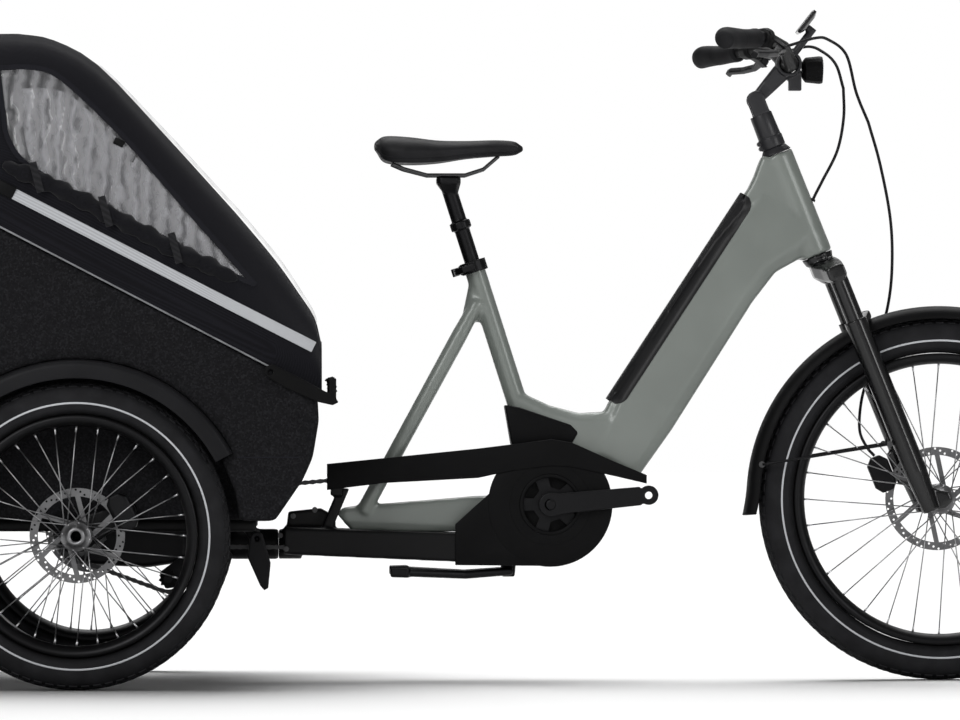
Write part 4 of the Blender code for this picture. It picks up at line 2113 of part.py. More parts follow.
def make_front():
    make_main_frame()
    make_battery()
    make_drive_unit()
    make_motor_cover()
    make_chain_guard()
    make_tilt_beam()
    make_kickstand()
    make_seat_clamp()
    make_seat_clamp_lever()
    make_seat_post()
    make_saddle()
    make_saddle_rails()
    make_crank(RIGHT, "right", CRANK_RISE_ANGLE)
    make_crank(LEFT, "left", CRANK_RISE_ANGLE + 180.0)
    make_chainring()
    make_chains()
    make_cables()


def make_cockpit():
    make_fork_upper()
    make_fork_lowers()
    make_front_fender()
    make_front_caliper()
    make_front_wheel()
    make_stem_base()
    make_stem_arm()
    make_handlebar()
    make_display()
    make_headlight()
    for hand, label in ((RIGHT, "right"), (LEFT, "left")):
        make_grip(hand, label)
        make_brake_lever(hand, label)


def main():
    clear_scene()
    make_bodies()
    make_rear()
    make_front()
    make_cockpit()


main()
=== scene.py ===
"""Looks of an electric cargo tricycle: finishes, wheels, chain, hood, cushions and studio."""

import json
import math

import bmesh
import bpy
from bpy.props import FloatProperty, FloatVectorProperty, IntProperty, PointerProperty
from mathutils.bvhtree import BVHTree
from mathutils import Matrix, Vector


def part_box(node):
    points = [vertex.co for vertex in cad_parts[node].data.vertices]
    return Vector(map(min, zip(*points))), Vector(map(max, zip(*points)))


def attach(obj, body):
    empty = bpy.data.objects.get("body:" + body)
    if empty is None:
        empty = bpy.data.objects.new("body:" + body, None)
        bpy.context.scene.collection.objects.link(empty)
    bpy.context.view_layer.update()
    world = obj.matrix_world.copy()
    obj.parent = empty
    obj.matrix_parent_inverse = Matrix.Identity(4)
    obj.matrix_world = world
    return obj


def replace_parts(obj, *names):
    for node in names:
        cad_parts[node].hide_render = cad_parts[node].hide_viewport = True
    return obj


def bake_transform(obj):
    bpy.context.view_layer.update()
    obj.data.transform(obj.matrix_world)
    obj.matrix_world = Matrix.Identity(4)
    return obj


bl_info = {
    "name": "Electric Cargo Tricycle",
    "version": (1, 0, 0),
    "blender": (4, 5, 0),
    "location": "3D View > Sidebar > Tricycle",
    "description": "Dresses the packed tricycle with its finishes, soft goods and studio",
    "category": "Object",
}

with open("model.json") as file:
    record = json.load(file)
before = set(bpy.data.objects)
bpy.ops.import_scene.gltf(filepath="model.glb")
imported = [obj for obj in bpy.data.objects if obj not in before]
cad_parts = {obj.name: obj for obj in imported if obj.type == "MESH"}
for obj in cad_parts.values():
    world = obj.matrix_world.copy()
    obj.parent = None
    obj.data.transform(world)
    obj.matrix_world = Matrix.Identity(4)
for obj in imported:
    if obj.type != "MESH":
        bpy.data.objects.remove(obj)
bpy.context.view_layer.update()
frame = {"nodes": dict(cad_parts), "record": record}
NODES = frame["nodes"]
BODIES = frame["record"]["behaviour"]["bodies"]
BODY_OF = {node: body for body, nodes in BODIES.items() for node in nodes}

RIGHT = -1
LEFT = 1
SIDES = ((RIGHT, "right"), (LEFT, "left"))
FRONT_AXLE = Vector((0.8115, 0.0, 0.3135))
REAR_AXLE = Vector((-0.6715, 0.0, 0.258))
REAR_TRACK_HALF = 0.400
CRANK_AXLE = Vector((0.134, 0.0, 0.305))
CHAIN_LINE = -0.050
CHAIN_PITCH = 0.0127
CHAIN_SPLIT = -0.335


# Settings that a user would change


def colour_property(name, description, default):
    """A colour in linear light, with a swatch in the panel."""
    return FloatVectorProperty(
        name=name, description=description, subtype="COLOR", size=3, min=0.0, max=1.0, default=default
    )


def length_property(name, description, default, low=0.0, high=1.0):
    """A length in metres between two limits."""
    return FloatProperty(
        name=name, description=description, default=default, min=low, max=high, unit="LENGTH", precision=4
    )


class TricycleColours(bpy.types.PropertyGroup):
    """Colours of the finishes, in linear light."""

    frame_paint: colour_property("Frame paint", "Grey-green paint of the front frame", (0.168, 0.185, 0.170))
    black_paint: colour_property("Black paint", "Satin black of fork, beam and bar", (0.004, 0.004, 0.0045))
    plastic: colour_property("Moulded plastic", "Guards, arches and housings", (0.0040, 0.0040, 0.0045))
    foam: colour_property("Box foam", "Charcoal beads of the moulded box", (0.009, 0.009, 0.010))
    hood: colour_property("Hood fabric", "Near-black cloth of the folding hood", (0.006, 0.006, 0.008))
    cushion: colour_property("Cushion fabric", "Dark cloth of the bench", (0.020, 0.020, 0.022))
    stripe: colour_property("Reflective stripe", "Light grey band on the hood", (0.46, 0.47, 0.49))
    rubber: colour_property("Rubber", "Tyres, grips and hoses", (0.009, 0.009, 0.010))
    steel: colour_property("Bare steel", "Discs, spokes and nipples", (0.52, 0.52, 0.53))


class TricycleSizes(bpy.types.PropertyGroup):
    """Sizes of the pieces that are modelled here."""

    spoke: length_property("Spoke", "Diameter of a spoke", 0.0021, 0.001, 0.005)
    nipple: length_property("Nipple", "Diameter of a spoke nipple", 0.0042, 0.002, 0.008)
    tyre_stripe: length_property("Tyre stripe", "Width of the reflective line on a tyre", 0.0032, 0.001, 0.01)
    hood_stripe: length_property("Hood stripe", "Width of the hood's reflective band", 0.018, 0.005, 0.05)
    piping: length_property("Piping", "Diameter of the hood's piping", 0.0032, 0.001, 0.01)
    voxel: length_property("Remesh", "Voxel that rounds the welded pieces", 0.0026, 0.001, 0.01)
    spokes: IntProperty(name="Spokes", description="Number of spokes in a wheel", default=32, min=16, max=48)


def colours():
    """The colours as the panel has them."""
    return bpy.context.scene.tricycle_colours


def sizes():
    """The sizes as the panel has them."""
    return bpy.context.scene.tricycle_sizes


# Finishes


FINISH_PREFIX = "tricycle_"


def new_finish(name, colour, roughness, metallic=0.0, specular=0.5):
    """A Principled material whose even values stand on the shader's own sockets."""
    made = bpy.data.materials.new(FINISH_PREFIX + name)
    made.use_nodes = True
    shader = made.node_tree.nodes["Principled BSDF"]
    shader.inputs["Base Color"].default_value = (*colour, 1.0)
    shader.inputs["Roughness"].default_value = roughness
    shader.inputs["Metallic"].default_value = metallic
    shader.inputs["Specular IOR Level"].default_value = specular
    made.diffuse_color = (*colour, 1.0)
    return made


def shader_of(made):
    """The shader that carries a finish."""
    return made.node_tree.nodes["Principled BSDF"]


def object_point(made, stretch=(1.0, 1.0, 1.0)):
    """The object's own coordinates, stretched where a pattern runs one way."""
    nodes, links = made.node_tree.nodes, made.node_tree.links
    place = nodes.new("ShaderNodeTexCoord")
    mapping = nodes.new("ShaderNodeMapping")
    mapping.inputs["Scale"].default_value = stretch
    links.new(place.outputs["Object"], mapping.inputs["Vector"])
    return mapping.outputs["Vector"]


def noise(made, scale, detail=3.0, stretch=(1.0, 1.0, 1.0), distortion=0.0):
    """Cloudy noise on the object's own coordinates."""
    node = made.node_tree.nodes.new("ShaderNodeTexNoise")
    node.inputs["Scale"].default_value = scale
    node.inputs["Detail"].default_value = detail
    node.inputs["Distortion"].default_value = distortion
    made.node_tree.links.new(object_point(made, stretch), node.inputs["Vector"])
    return node.outputs["Fac"]


def cells(made, scale, feature="F1", output="Distance"):
    """A cell pattern on the object's own coordinates."""
    node = made.node_tree.nodes.new("ShaderNodeTexVoronoi")
    node.feature = feature
    node.inputs["Scale"].default_value = scale
    made.node_tree.links.new(object_point(made), node.inputs["Vector"])
    return node.outputs[output]


def ramp(made, value, stops):
    """A colour ramp over (position, colour) stops."""
    node = made.node_tree.nodes.new("ShaderNodeValToRGB")
    elements = node.color_ramp.elements
    while len(elements) < len(stops):
        elements.new(0.5)
    for element, (position, colour) in zip(elements, stops):
        element.position = position
        element.color = (*colour, 1.0)
    made.node_tree.links.new(value, node.inputs["Fac"])
    return node.outputs["Color"]


def scaled(colour, factor):
    """A colour made darker or lighter."""
    return tuple(min(1.0, channel * factor) for channel in colour)


def mottle(made, colour, value, spread=0.12, low=0.35, high=0.65):
    """Let the base colour wander a little with a texture."""
    stops = ((low, scaled(colour, 1.0 - spread)), (high, scaled(colour, 1.0 + spread)))
    made.node_tree.links.new(ramp(made, value, stops), shader_of(made).inputs["Base Color"])


def vary_roughness(made, value, low, high):
    """Let the gloss wander between two roughnesses."""
    node = made.node_tree.nodes.new("ShaderNodeMapRange")
    node.inputs["To Min"].default_value = low
    node.inputs["To Max"].default_value = high
    made.node_tree.links.new(value, node.inputs["Value"])
    made.node_tree.links.new(node.outputs["Result"], shader_of(made).inputs["Roughness"])


def bump(made, value, strength, distance):
    """Raise the surface by a texture, on top of any relief that is there already."""
    node = made.node_tree.nodes.new("ShaderNodeBump")
    node.inputs["Strength"].default_value = strength
    node.inputs["Distance"].default_value = distance
    socket = shader_of(made).inputs["Normal"]
    if socket.is_linked:
        made.node_tree.links.new(socket.links[0].from_socket, node.inputs["Normal"])
    made.node_tree.links.new(value, node.inputs["Height"])
    made.node_tree.links.new(node.outputs["Normal"], socket)


def painted(name, colour, roughness, coat=0.3, metallic=0.0, specular=0.35):
    """Sprayed paint: a slight orange peel, a clear coat and faint unevenness."""
    made = new_finish(name, colour, roughness, metallic, specular)
    mottle(made, colour, noise(made, 9.0, 2.0), 0.05)
    vary_roughness(made, noise(made, 60.0, 4.0), roughness - 0.05, roughness + 0.07)
    bump(made, noise(made, 700.0, 2.0), 0.06, 0.0004)
    shader_of(made).inputs["Coat Weight"].default_value = coat
    shader_of(made).inputs["Coat Roughness"].default_value = 0.18
    return made


def moulded(name, colour, roughness):
    """Grained plastic: a fine leathery relief and small wear in the gloss."""
    made = new_finish(name, colour, roughness, specular=0.09)
    mottle(made, colour, noise(made, 14.0, 3.0), 0.14)
    vary_roughness(made, noise(made, 35.0, 5.0), roughness - 0.08, roughness + 0.10)
    bump(made, noise(made, 1100.0, 3.0), 0.25, 0.0005)
    return made


def anodised(name, colour, roughness):
    """Blasted and anodised alloy."""
    made = new_finish(name, colour, roughness, 0.75)
    vary_roughness(made, noise(made, 90.0, 4.0), roughness - 0.06, roughness + 0.08)
    bump(made, noise(made, 1600.0, 2.0), 0.08, 0.0003)
    return made


def bare_steel(name, colour, roughness):
    """Ground steel with fine brushed lines."""
    made = new_finish(name, colour, roughness, 1.0)
    lines = noise(made, 160.0, 3.0, (1.0, 14.0, 1.0))
    vary_roughness(made, lines, roughness - 0.08, roughness + 0.14)
    mottle(made, colour, noise(made, 40.0, 3.0), 0.10)
    bump(made, lines, 0.05, 0.0003)
    return made


def beaded_foam(name, colour):
    """Moulded bead foam: small closed cells, each of its own tone, with darker joints."""
    made = new_finish(name, colour, 0.85, specular=0.06)
    tones = ramp(
        made,
        cells(made, 330.0, output="Color"),
        ((0.15, scaled(colour, 0.70)), (0.55, colour), (0.92, scaled(colour, 1.8))),
    )
    made.node_tree.links.new(tones, shader_of(made).inputs["Base Color"])
    bump(made, cells(made, 330.0), 0.45, 0.0012)
    bump(made, noise(made, 18.0, 3.0), 0.10, 0.004)
    return made


def woven(name, colour, thread=0.0011, sheen=0.06, lift=1.5):
    """Plain weave: two crossed sets of threads, fuzz and a soft sheen."""
    made = new_finish(name, colour, 0.88, specular=0.10)
    nodes, links = made.node_tree.nodes, made.node_tree.links
    threads = []
    for direction in ("X", "Y", "Z"):
        node = nodes.new("ShaderNodeTexWave")
        node.wave_type = "BANDS"
        node.bands_direction = direction
        node.inputs["Scale"].default_value = 0.314 / thread
        node.inputs["Distortion"].default_value = 0.6
        node.inputs["Detail"].default_value = 1.0
        links.new(object_point(made), node.inputs["Vector"])
        threads.append(node.outputs["Fac"])
    total = nodes.new("ShaderNodeMath")
    total.operation = "MAXIMUM"
    links.new(threads[0], total.inputs[0])
    links.new(threads[2], total.inputs[1])
    weave = nodes.new("ShaderNodeMath")
    weave.operation = "MULTIPLY"
    links.new(total.outputs[0], weave.inputs[0])
    links.new(threads[1], weave.inputs[1])
    stops = ((0.1, scaled(colour, 0.75)), (0.9, scaled(colour, lift)))
    links.new(ramp(made, weave.outputs[0], stops), shader_of(made).inputs["Base Color"])
    bump(made, weave.outputs[0], 0.35, 0.0005)
    bump(made, noise(made, 24.0, 4.0), 0.25, 0.003)
    shader_of(made).inputs["Sheen Weight"].default_value = sheen
    shader_of(made).inputs["Sheen Roughness"].default_value = 0.5
    return made


def rubbery(name, colour, roughness=0.72):
    """Rubber: a dull fine grain that shines a little more in patches."""
    made = new_finish(name, colour, roughness, specular=0.14)
    mottle(made, colour, noise(made, 30.0, 4.0), 0.22)
    vary_roughness(made, noise(made, 50.0, 4.0), roughness - 0.10, roughness + 0.08)
    bump(made, noise(made, 900.0, 3.0), 0.18, 0.0004)
    return made


FILM_WAVE = 0.026


def upright_waves(made, spacing):
    """Soft bands that stand upright and wander, at a given spacing along the object."""
    wave = made.node_tree.nodes.new("ShaderNodeTexWave")
    wave.wave_type = "BANDS"
    wave.bands_direction = "X"
    wave.inputs["Scale"].default_value = 2.0 * math.pi / (20.0 * spacing)
    wave.inputs["Distortion"].default_value = 4.2
    wave.inputs["Detail"].default_value = 2.6
    wave.inputs["Detail Scale"].default_value = 3.0
    made.node_tree.links.new(object_point(made, (1.0, 0.4, 0.9)), wave.inputs["Vector"])
    return wave.outputs["Fac"]


def clear_film(name, tint, least, most):
    """Crumpled clear film: see-through, with soft upright waves that catch the light."""
    made = bpy.data.materials.new(FINISH_PREFIX + name)
    made.use_nodes = True
    nodes, links = made.node_tree.nodes, made.node_tree.links
    nodes.remove(nodes["Principled BSDF"])
    clear = nodes.new("ShaderNodeBsdfTransparent")
    clear.inputs["Color"].default_value = (*tint, 1.0)
    haze = nodes.new("ShaderNodeBsdfPrincipled")
    haze.name = "Principled BSDF"
    haze.inputs["Base Color"].default_value = (0.30, 0.30, 0.31, 1.0)
    haze.inputs["Roughness"].default_value = 0.12
    mix = nodes.new("ShaderNodeMixShader")
    waves = upright_waves(made, FILM_WAVE)
    share = nodes.new("ShaderNodeMapRange")
    share.inputs["To Min"].default_value = least
    share.inputs["To Max"].default_value = most
    links.new(waves, share.inputs["Value"])
    links.new(share.outputs["Result"], mix.inputs["Fac"])
    links.new(clear.outputs["BSDF"], mix.inputs[1])
    links.new(haze.outputs["BSDF"], mix.inputs[2])
    links.new(mix.outputs["Shader"], nodes["Material Output"].inputs["Surface"])
    bump(made, waves, 0.35, 0.003)
    bump(made, noise(made, 11.0, 1.0, (1.0, 1.0, 0.6), 0.8), 0.5, 0.010)
    return made


def seen_white(tree, own, white, target):
    """Show the camera plain white, and leave every other ray the shader's own light."""
    path = tree.nodes.new("ShaderNodeLightPath")
    mix = tree.nodes.new("ShaderNodeMixShader")
    tree.links.new(path.outputs["Is Camera Ray"], mix.inputs["Fac"])
    tree.links.new(own, mix.inputs[1])
    tree.links.new(white, mix.inputs[2])
    tree.links.new(mix.outputs["Shader"], target)


def white_backdrop(name):
    """A pale wall that looks plain white to the camera."""
    made = new_finish(name, (0.9, 0.9, 0.9), 0.9)
    nodes = made.node_tree.nodes
    bright = nodes.new("ShaderNodeEmission")
    bright.inputs["Strength"].default_value = 1.0
    target = nodes["Material Output"].inputs["Surface"]
    seen_white(made.node_tree, shader_of(made).outputs["BSDF"], bright.outputs["Emission"], target)


WINDOW_TINT = (0.80, 0.80, 0.81)
WEATHER_TINT = (0.96, 0.96, 0.96)
LENS_RED = (0.32, 0.008, 0.008)
FLOOR_TONE = (0.93, 0.93, 0.93)


def make_finishes():
    """Every finish of the tricycle and its studio."""
    tone = colours()
    painted("frame_paint", tone.frame_paint, 0.42, 0.35, 0.15)
    painted("black_paint", scaled(tone.black_paint, 0.8), 0.44, 0.03, specular=0.14)
    anodised("black_alloy", scaled(tone.black_paint, 1.6), 0.42)
    moulded("black_plastic", scaled(tone.plastic, 0.55), 0.50)
    # The arches' plastic is a lighter copy of the guards' plastic: partly the arches' own greyer tone, partly
    # a painted highlight for the light along their top edge.
    moulded("arch_tone_and_highlight", scaled(tone.plastic, 2.2), 0.44)
    painted("glossy_plastic", scaled(tone.plastic, 0.6), 0.20, 0.6)
    beaded_foam("foam", tone.foam)
    woven("hood_cloth", tone.hood, sheen=0.02)
    woven("cushion_cloth", tone.cushion, 0.0016, 0.12, 1.9)
    woven("webbing", scaled(tone.cushion, 0.7), 0.0022, 0.06)
    woven("stripe", tone.stripe, 0.0012, 0.15, 1.08)
    rubbery("rubber", tone.rubber)
    rubbery("tyre_rubber", scaled(tone.rubber, 1.25), 0.78)
    painted("tyre_stripe", tone.stripe, 0.45, 0.0)
    bare_steel("steel", tone.steel, 0.30)
    bare_steel("disc_steel", scaled(tone.steel, 0.30), 0.36)
    bare_steel("dark_steel", scaled(tone.steel, 0.14), 0.38)
    bare_steel("chain_steel", scaled(tone.steel, 0.09), 0.40)
    painted("red_lens", LENS_RED, 0.12, 0.8)
    painted("battery_strip", scaled(tone.plastic, 1.3), 0.42, 0.03, specular=0.18)
    rubbery("saddle_cover", scaled(tone.rubber, 1.15), 0.55)
    woven("gathered_cloth", scaled(tone.hood, 0.8), 0.0010, 0.08)
    painted("lamp_lens", scaled(tone.stripe, 1.3), 0.08, 0.8)
    rubbery("piping", scaled(tone.stripe, 0.42), 0.6)
    woven("binding", scaled(tone.hood, 1.5), 0.0010, 0.04)
    bare_steel("spoke_steel", scaled(tone.steel, 0.55), 0.28)
    anodised("wheel_alloy", scaled(tone.black_paint, 1.5), 0.40)
    bare_steel("hub_alloy", scaled(tone.steel, 0.42), 0.34)
    painted("stem_alloy", scaled(tone.black_paint, 4.2), 0.40, 0.10, specular=0.25)
    painted("fork_paint", scaled(tone.black_paint, 0.7), 0.22, 0.12, specular=0.40)
    clear_film("window_film", WINDOW_TINT, 0.16, 0.60)
    clear_film("weather_film", WEATHER_TINT, 0.04, 0.12)
    new_finish("floor", FLOOR_TONE, 0.95, specular=0.0)
    white_backdrop("backdrop")


def finish(name):
    """A finish by its name."""
    return bpy.data.materials[FINISH_PREFIX + name]


# Shaping helpers


def placed(name, data):
    """A new object at the origin."""
    made = bpy.data.objects.new(name, data)
    bpy.context.scene.collection.objects.link(made)
    return made


def mesh_object_kept(name, bm, finish_name):
    """Turn a bmesh into a smooth object, with its faces as they are."""
    mesh = bpy.data.meshes.new(name)
    bm.to_mesh(mesh)
    bm.free()
    mesh.materials.append(finish(finish_name))
    mesh.shade_smooth()
    return placed(name, mesh)


def mesh_object(name, bm, finish_name, smooth=True):
    """Turn a bmesh into an object with its faces outward."""
    bmesh.ops.recalc_face_normals(bm, faces=bm.faces)
    made = mesh_object_kept(name, bm, finish_name)
    if not smooth:
        made.data.shade_flat()
    return made


def skin_of(name):
    """A search tree over a piece's surface."""
    data = bpy.data.objects[name].data
    faces = [list(face.vertices) for face in data.polygons]
    return BVHTree.FromPolygons([vert.co for vert in data.vertices], faces)


def apply_modifiers(obj):
    """Freeze the live modifiers into the mesh."""
    bpy.context.view_layer.update()
    evaluated = obj.evaluated_get(bpy.context.evaluated_depsgraph_get())
    frozen = bpy.data.meshes.new_from_object(evaluated)
    obj.modifiers.clear()
    obj.data = frozen
    return obj


def remeshed(obj, voxel):
    """Lay an even skin round every closed form of a piece."""
    even = obj.modifiers.new("even", "REMESH")
    even.mode = "VOXEL"
    even.voxel_size = voxel


def subdivided(obj):
    """Round a piece by one level of subdivision."""
    finer = obj.modifiers.new("finer", "SUBSURF")
    finer.levels = finer.render_levels = 1
    return apply_modifiers(obj)


def walled(obj, thickness, offset=0.0):
    """Give a sheet its thickness, about its middle or, at an offset of -1, all on the inner side."""
    wall = obj.modifiers.new("wall", "SOLIDIFY")
    wall.thickness = thickness
    wall.offset = offset
    return apply_modifiers(obj)


def tube(name, points, radius, finish_name, segments=12, closed=False):
    """A round tube along points, as a mesh."""
    curve = bpy.data.curves.new(name, "CURVE")
    curve.dimensions = "3D"
    curve.bevel_depth = radius
    curve.bevel_resolution = max(1, segments // 4)
    curve.use_fill_caps = not closed
    spline = curve.splines.new("POLY")
    spline.points.add(len(points) - 1)
    for target, point in zip(spline.points, points):
        target.co = (*point, 1.0)
    spline.use_cyclic_u = closed
    holder = placed(name, curve)
    bpy.context.view_layer.update()
    evaluated = holder.evaluated_get(bpy.context.evaluated_depsgraph_get())
    mesh = bpy.data.meshes.new_from_object(evaluated)
    bpy.data.objects.remove(holder)
    mesh.materials.clear()
    mesh.materials.append(finish(finish_name))
    mesh.shade_smooth()
    return placed(name, mesh)


def smooth_path(points, per_span=6):
    """Catmull-Rom points through the given ones."""
    path = []
    knots = [Vector(p) for p in points]
    knots = [knots[0] * 2 - knots[1]] + knots + [knots[-1] * 2 - knots[-2]]
    for index in range(1, len(knots) - 2):
        before, start, end, after = knots[index - 1 : index + 3]
        for step in range(per_span):
            t = step / per_span
            path.append(
                0.5
                * (
                    2 * start
                    + (end - before) * t
                    + (2 * before - 5 * start + 4 * end - after) * t**2
                    + (3 * start - before - 3 * end + after) * t**3
                )
            )
    path.append(knots[-2].copy())
    return path


def join(name, pieces):
    """Merge meshes into one object at the origin."""
    bm = bmesh.new()
    materials = []
    for piece in pieces:
        offset = len(materials)
        materials.extend(piece.data.materials)
        start = len(bm.faces)
        bm.from_mesh(piece.data)
        bm.faces.ensure_lookup_table()
        for face in bm.faces[start:]:
            face.material_index += offset
    mesh = bpy.data.meshes.new(name)
    bm.to_mesh(mesh)
    bm.free()
    unique = []
    for material in materials:
        if material not in unique:
            unique.append(material)
    remap = [unique.index(material) for material in materials]
    for material in unique:
        mesh.materials.append(material)
    for polygon in mesh.polygons:
        polygon.material_index = remap[polygon.material_index]
    for piece in pieces:
        bpy.data.objects.remove(piece)
    return placed(name, mesh)


def paint(node, finish_name):
    """Give a CAD node its finish."""
    obj = NODES[node]
    obj.data.materials.clear()
    obj.data.materials.append(finish(finish_name))
    for polygon in obj.data.polygons:
        polygon.material_index = 0


# Studio

CAMERA_PLACE = Vector((-0.296, -12.0, 0.50))
CAMERA_YAW = math.radians(-1.4812)
CAMERA_PITCH = math.radians(0.2607)
CAMERA_LENS = 259.65
CAMERA_REACH = 100.0
SENSOR = 36.0


def area_light(name, place, target, size, power):
    """A square soft box that looks at a target."""
    data = bpy.data.lights.new(name, "AREA")
    data.shape = "SQUARE"
    data.size = size
    data.energy = power
    lamp = placed(name, data)
    lamp.location = place
    lamp.rotation_euler = (Vector(target) - Vector(place)).to_track_quat("-Z", "Y").to_euler()
    return lamp


def make_camera():
    """The photograph's long lens, 12 m away on the right side."""
    data = bpy.data.cameras.new("photo_camera")
    data.lens = CAMERA_LENS
    data.sensor_width = SENSOR
    data.clip_end = CAMERA_REACH
    camera = placed("photo_camera", data)
    camera.location = CAMERA_PLACE
    camera.rotation_euler = (math.pi / 2 + CAMERA_PITCH, 0.0, CAMERA_YAW)
    bpy.context.scene.camera = camera


# Rounded bodies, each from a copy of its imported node: finish, voxel, passes and share of faces kept

WELD = 0.00002
SOFTENED = (
    ("main_frame", "frame_paint", 0.0034, 9, 0.6),
    ("tilt_beam", "black_paint", 0.0024, 5, 0.5),
    ("rear_frame", "black_paint", 0.0040, 4, 0.6),
    ("axle_housing", "black_alloy", 0.0036, 10, 0.5),
    ("fork_upper", "fork_paint", 0.0020, 5, 0.5),
    ("fork_lowers", "fork_paint", 0.0022, 6, 0.5),
    ("stem_arm", "stem_alloy", 0.0016, 4, 0.5),
    ("stem_base", "stem_alloy", 0.0018, 4, 0.5),
    ("seat_post", "black_alloy", 0.0016, 4, 0.5),
    ("seat_clamp", "black_alloy", 0.0011, 3, 0.5),
    ("crank_right", "black_alloy", 0.0013, 5, 0.6),
    ("crank_left", "black_alloy", 0.0014, 5, 0.5),
    ("front_caliper", "black_alloy", 0.0012, 4, 0.5),
    ("rear_caliper_right", "black_alloy", 0.0012, 4, 0.5),
    ("rear_caliper_left", "black_alloy", 0.0012, 4, 0.5),
    ("kickstand", "black_alloy", 0.0018, 5, 0.5),
    ("cargo_box", "foam", 0.0072, 3, 0.55),
    ("latch_lever_right", "black_plastic", 0.0012, 4, 0.5),
    ("latch_lever_left", "black_plastic", 0.0012, 4, 0.5),
    ("tilt_lock_pedal", "black_alloy", 0.0012, 4, 0.5),
    ("drive_unit", "black_plastic", 0.0030, 6, 0.5),
    ("brake_lever_right", "black_alloy", 0.0010, 4, 0.5),
    ("brake_lever_left", "black_alloy", 0.0010, 4, 0.5),
    ("headlight", "black_plastic", 0.0012, 3, 0.5),
    ("display", "glossy_plastic", 0.0010, 3, 0.5),
    ("saddle_rails", "dark_steel", 0.0009, 4, 0.5),
    ("hood_bow", "black_alloy", 0.0024, 6, 0.5),
    ("handlebar", "black_paint", 0.0018, 5, 0.5),
    ("seat_clamp_lever", "black_alloy", 0.0009, 3, 0.5),
)
NECK_GUSSET = (
    (0.4640, 0.8290),
    (0.4800, 0.8530),
    (0.4905, 0.8750),
    (0.4980, 0.8960),
    (0.5040, 0.9090),
    (0.5450, 0.8980),
    (0.5600, 0.7700),
    (0.4837, 0.7878),
)
NECK_HALF = 0.0265
TUBE_FOOT = ((0.2130, 0.4600), (0.2290, 0.4640), (0.2400, 0.4860), (0.2600, 0.4700), (0.2400, 0.4400))
TUBE_FOOT_HALF = 0.0325
STAY_WEB = (
    (-0.2338, 0.2882),
    (-0.2234, 0.2986),
    (-0.1992, 0.3021),
    (0.0134, 0.3193),
    (0.0290, 0.3159),
    (0.0290, 0.2571),
    (-0.2078, 0.2588),
)
STAY_WEB_HALF = 0.0255
CRANK_RISE = 5.5
CRANK_LENGTH = 0.170
CRANK_INNER = 0.068
CRANK_OUTER = 0.082
CRANK_FLANK = ((0.0, 0.0185), (0.050, 0.0175), (0.156, 0.0160))
CRANK_SHY = 0.0004
EYE_RING = (0.0072, 0.0168)
BOSS_RING = (0.0100, 0.0195)
CRANK_ARMS = {"crank_right": (RIGHT, CRANK_RISE), "crank_left": (LEFT, CRANK_RISE + 180.0)}


def crank_fillers(side, degrees):
    """The deep arm, its boss round the spindle and the ring round the pedal's eye."""
    turn = math.radians(degrees)
    along = Vector((math.cos(turn), 0.0, math.sin(turn)))
    up = Vector((-along.z, 0.0, along.x))
    outline = [CRANK_AXLE + along * place + up * high for place, high in CRANK_FLANK]
    outline += [CRANK_AXLE + along * place - up * high for place, high in reversed(CRANK_FLANK)]
    half = (CRANK_OUTER - CRANK_INNER) / 2.0 - CRANK_SHY
    arm = prism([(point.x, point.z) for point in outline], half)
    bmesh.ops.translate(arm, verts=arm.verts, vec=(0, side * (CRANK_OUTER + CRANK_INNER) / 2.0, 0))
    eye = CRANK_AXLE + along * CRANK_LENGTH
    near, far = sorted((side * CRANK_INNER, side * CRANK_OUTER))
    rings = []
    for (inner, outer), centre, steps in ((EYE_RING, eye, 32), (BOSS_RING, CRANK_AXLE, 40)):
        ring = spun([(near, inner), (far, inner), (far, outer), (near, outer)], centre, steps)
        bmesh.ops.recalc_face_normals(ring, faces=ring.faces)
        rings.append(ring)
    return arm, *rings


def plate(bm, points, reach):
    """A flat face through points, extruded across the tricycle."""
    face = bm.faces.new([bm.verts.new(point) for point in points])
    made = bmesh.ops.extrude_face_region(bm, geom=[face])
    moved = [item for item in made["geom"] if isinstance(item, bmesh.types.BMVert)]
    bmesh.ops.translate(bm, verts=moved, vec=(0, reach, 0))


def prism(outline, half):
    """A side-view outline carried across the width."""
    bm = bmesh.new()
    plate(bm, [(x, -half, z) for x, z in outline], 2.0 * half)
    bmesh.ops.recalc_face_normals(bm, faces=bm.faces)
    return bm


def added_to(bm, other):
    """Put a second closed form into a mesh before it is remeshed into one skin."""
    holder = bpy.data.meshes.new("filler")
    other.to_mesh(holder)
    other.free()
    bm.from_mesh(holder)
    bpy.data.meshes.remove(holder)


def welded(node):
    """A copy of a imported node's triangles with their points merged."""
    bm = bmesh.new()
    bm.from_mesh(NODES[node].data)
    bm.transform(NODES[node].matrix_world)
    bmesh.ops.remove_doubles(bm, verts=bm.verts, dist=WELD)
    return bm


def softened(node, finish_name, voxel, passes, keep):
    """Round a node's edges: remesh a welded copy evenly, relax it and thin its faces out."""
    bm = welded(node)
    if node == "main_frame":
        added_to(bm, prism(NECK_GUSSET, NECK_HALF))
        added_to(bm, prism(TUBE_FOOT, TUBE_FOOT_HALF))
        added_to(bm, prism(STAY_WEB, STAY_WEB_HALF))
    if node in CRANK_ARMS:
        for filler in crank_fillers(*CRANK_ARMS[node]):
            added_to(bm, filler)
    made = mesh_object(node + "_finished", bm, finish_name)
    remeshed(made, voxel)
    relax = made.modifiers.new("relax", "SMOOTH")
    relax.factor = 0.5
    relax.iterations = passes
    thin = made.modifiers.new("thin", "DECIMATE")
    thin.ratio = keep
    apply_modifiers(made)
    made.data.shade_smooth()
    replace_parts(made, node)
    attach(made, BODY_OF[node])
    return made


def make_softened():
    """Round every body of the list."""
    for row in SOFTENED:
        softened(*row)


# Trim that lies on the frame

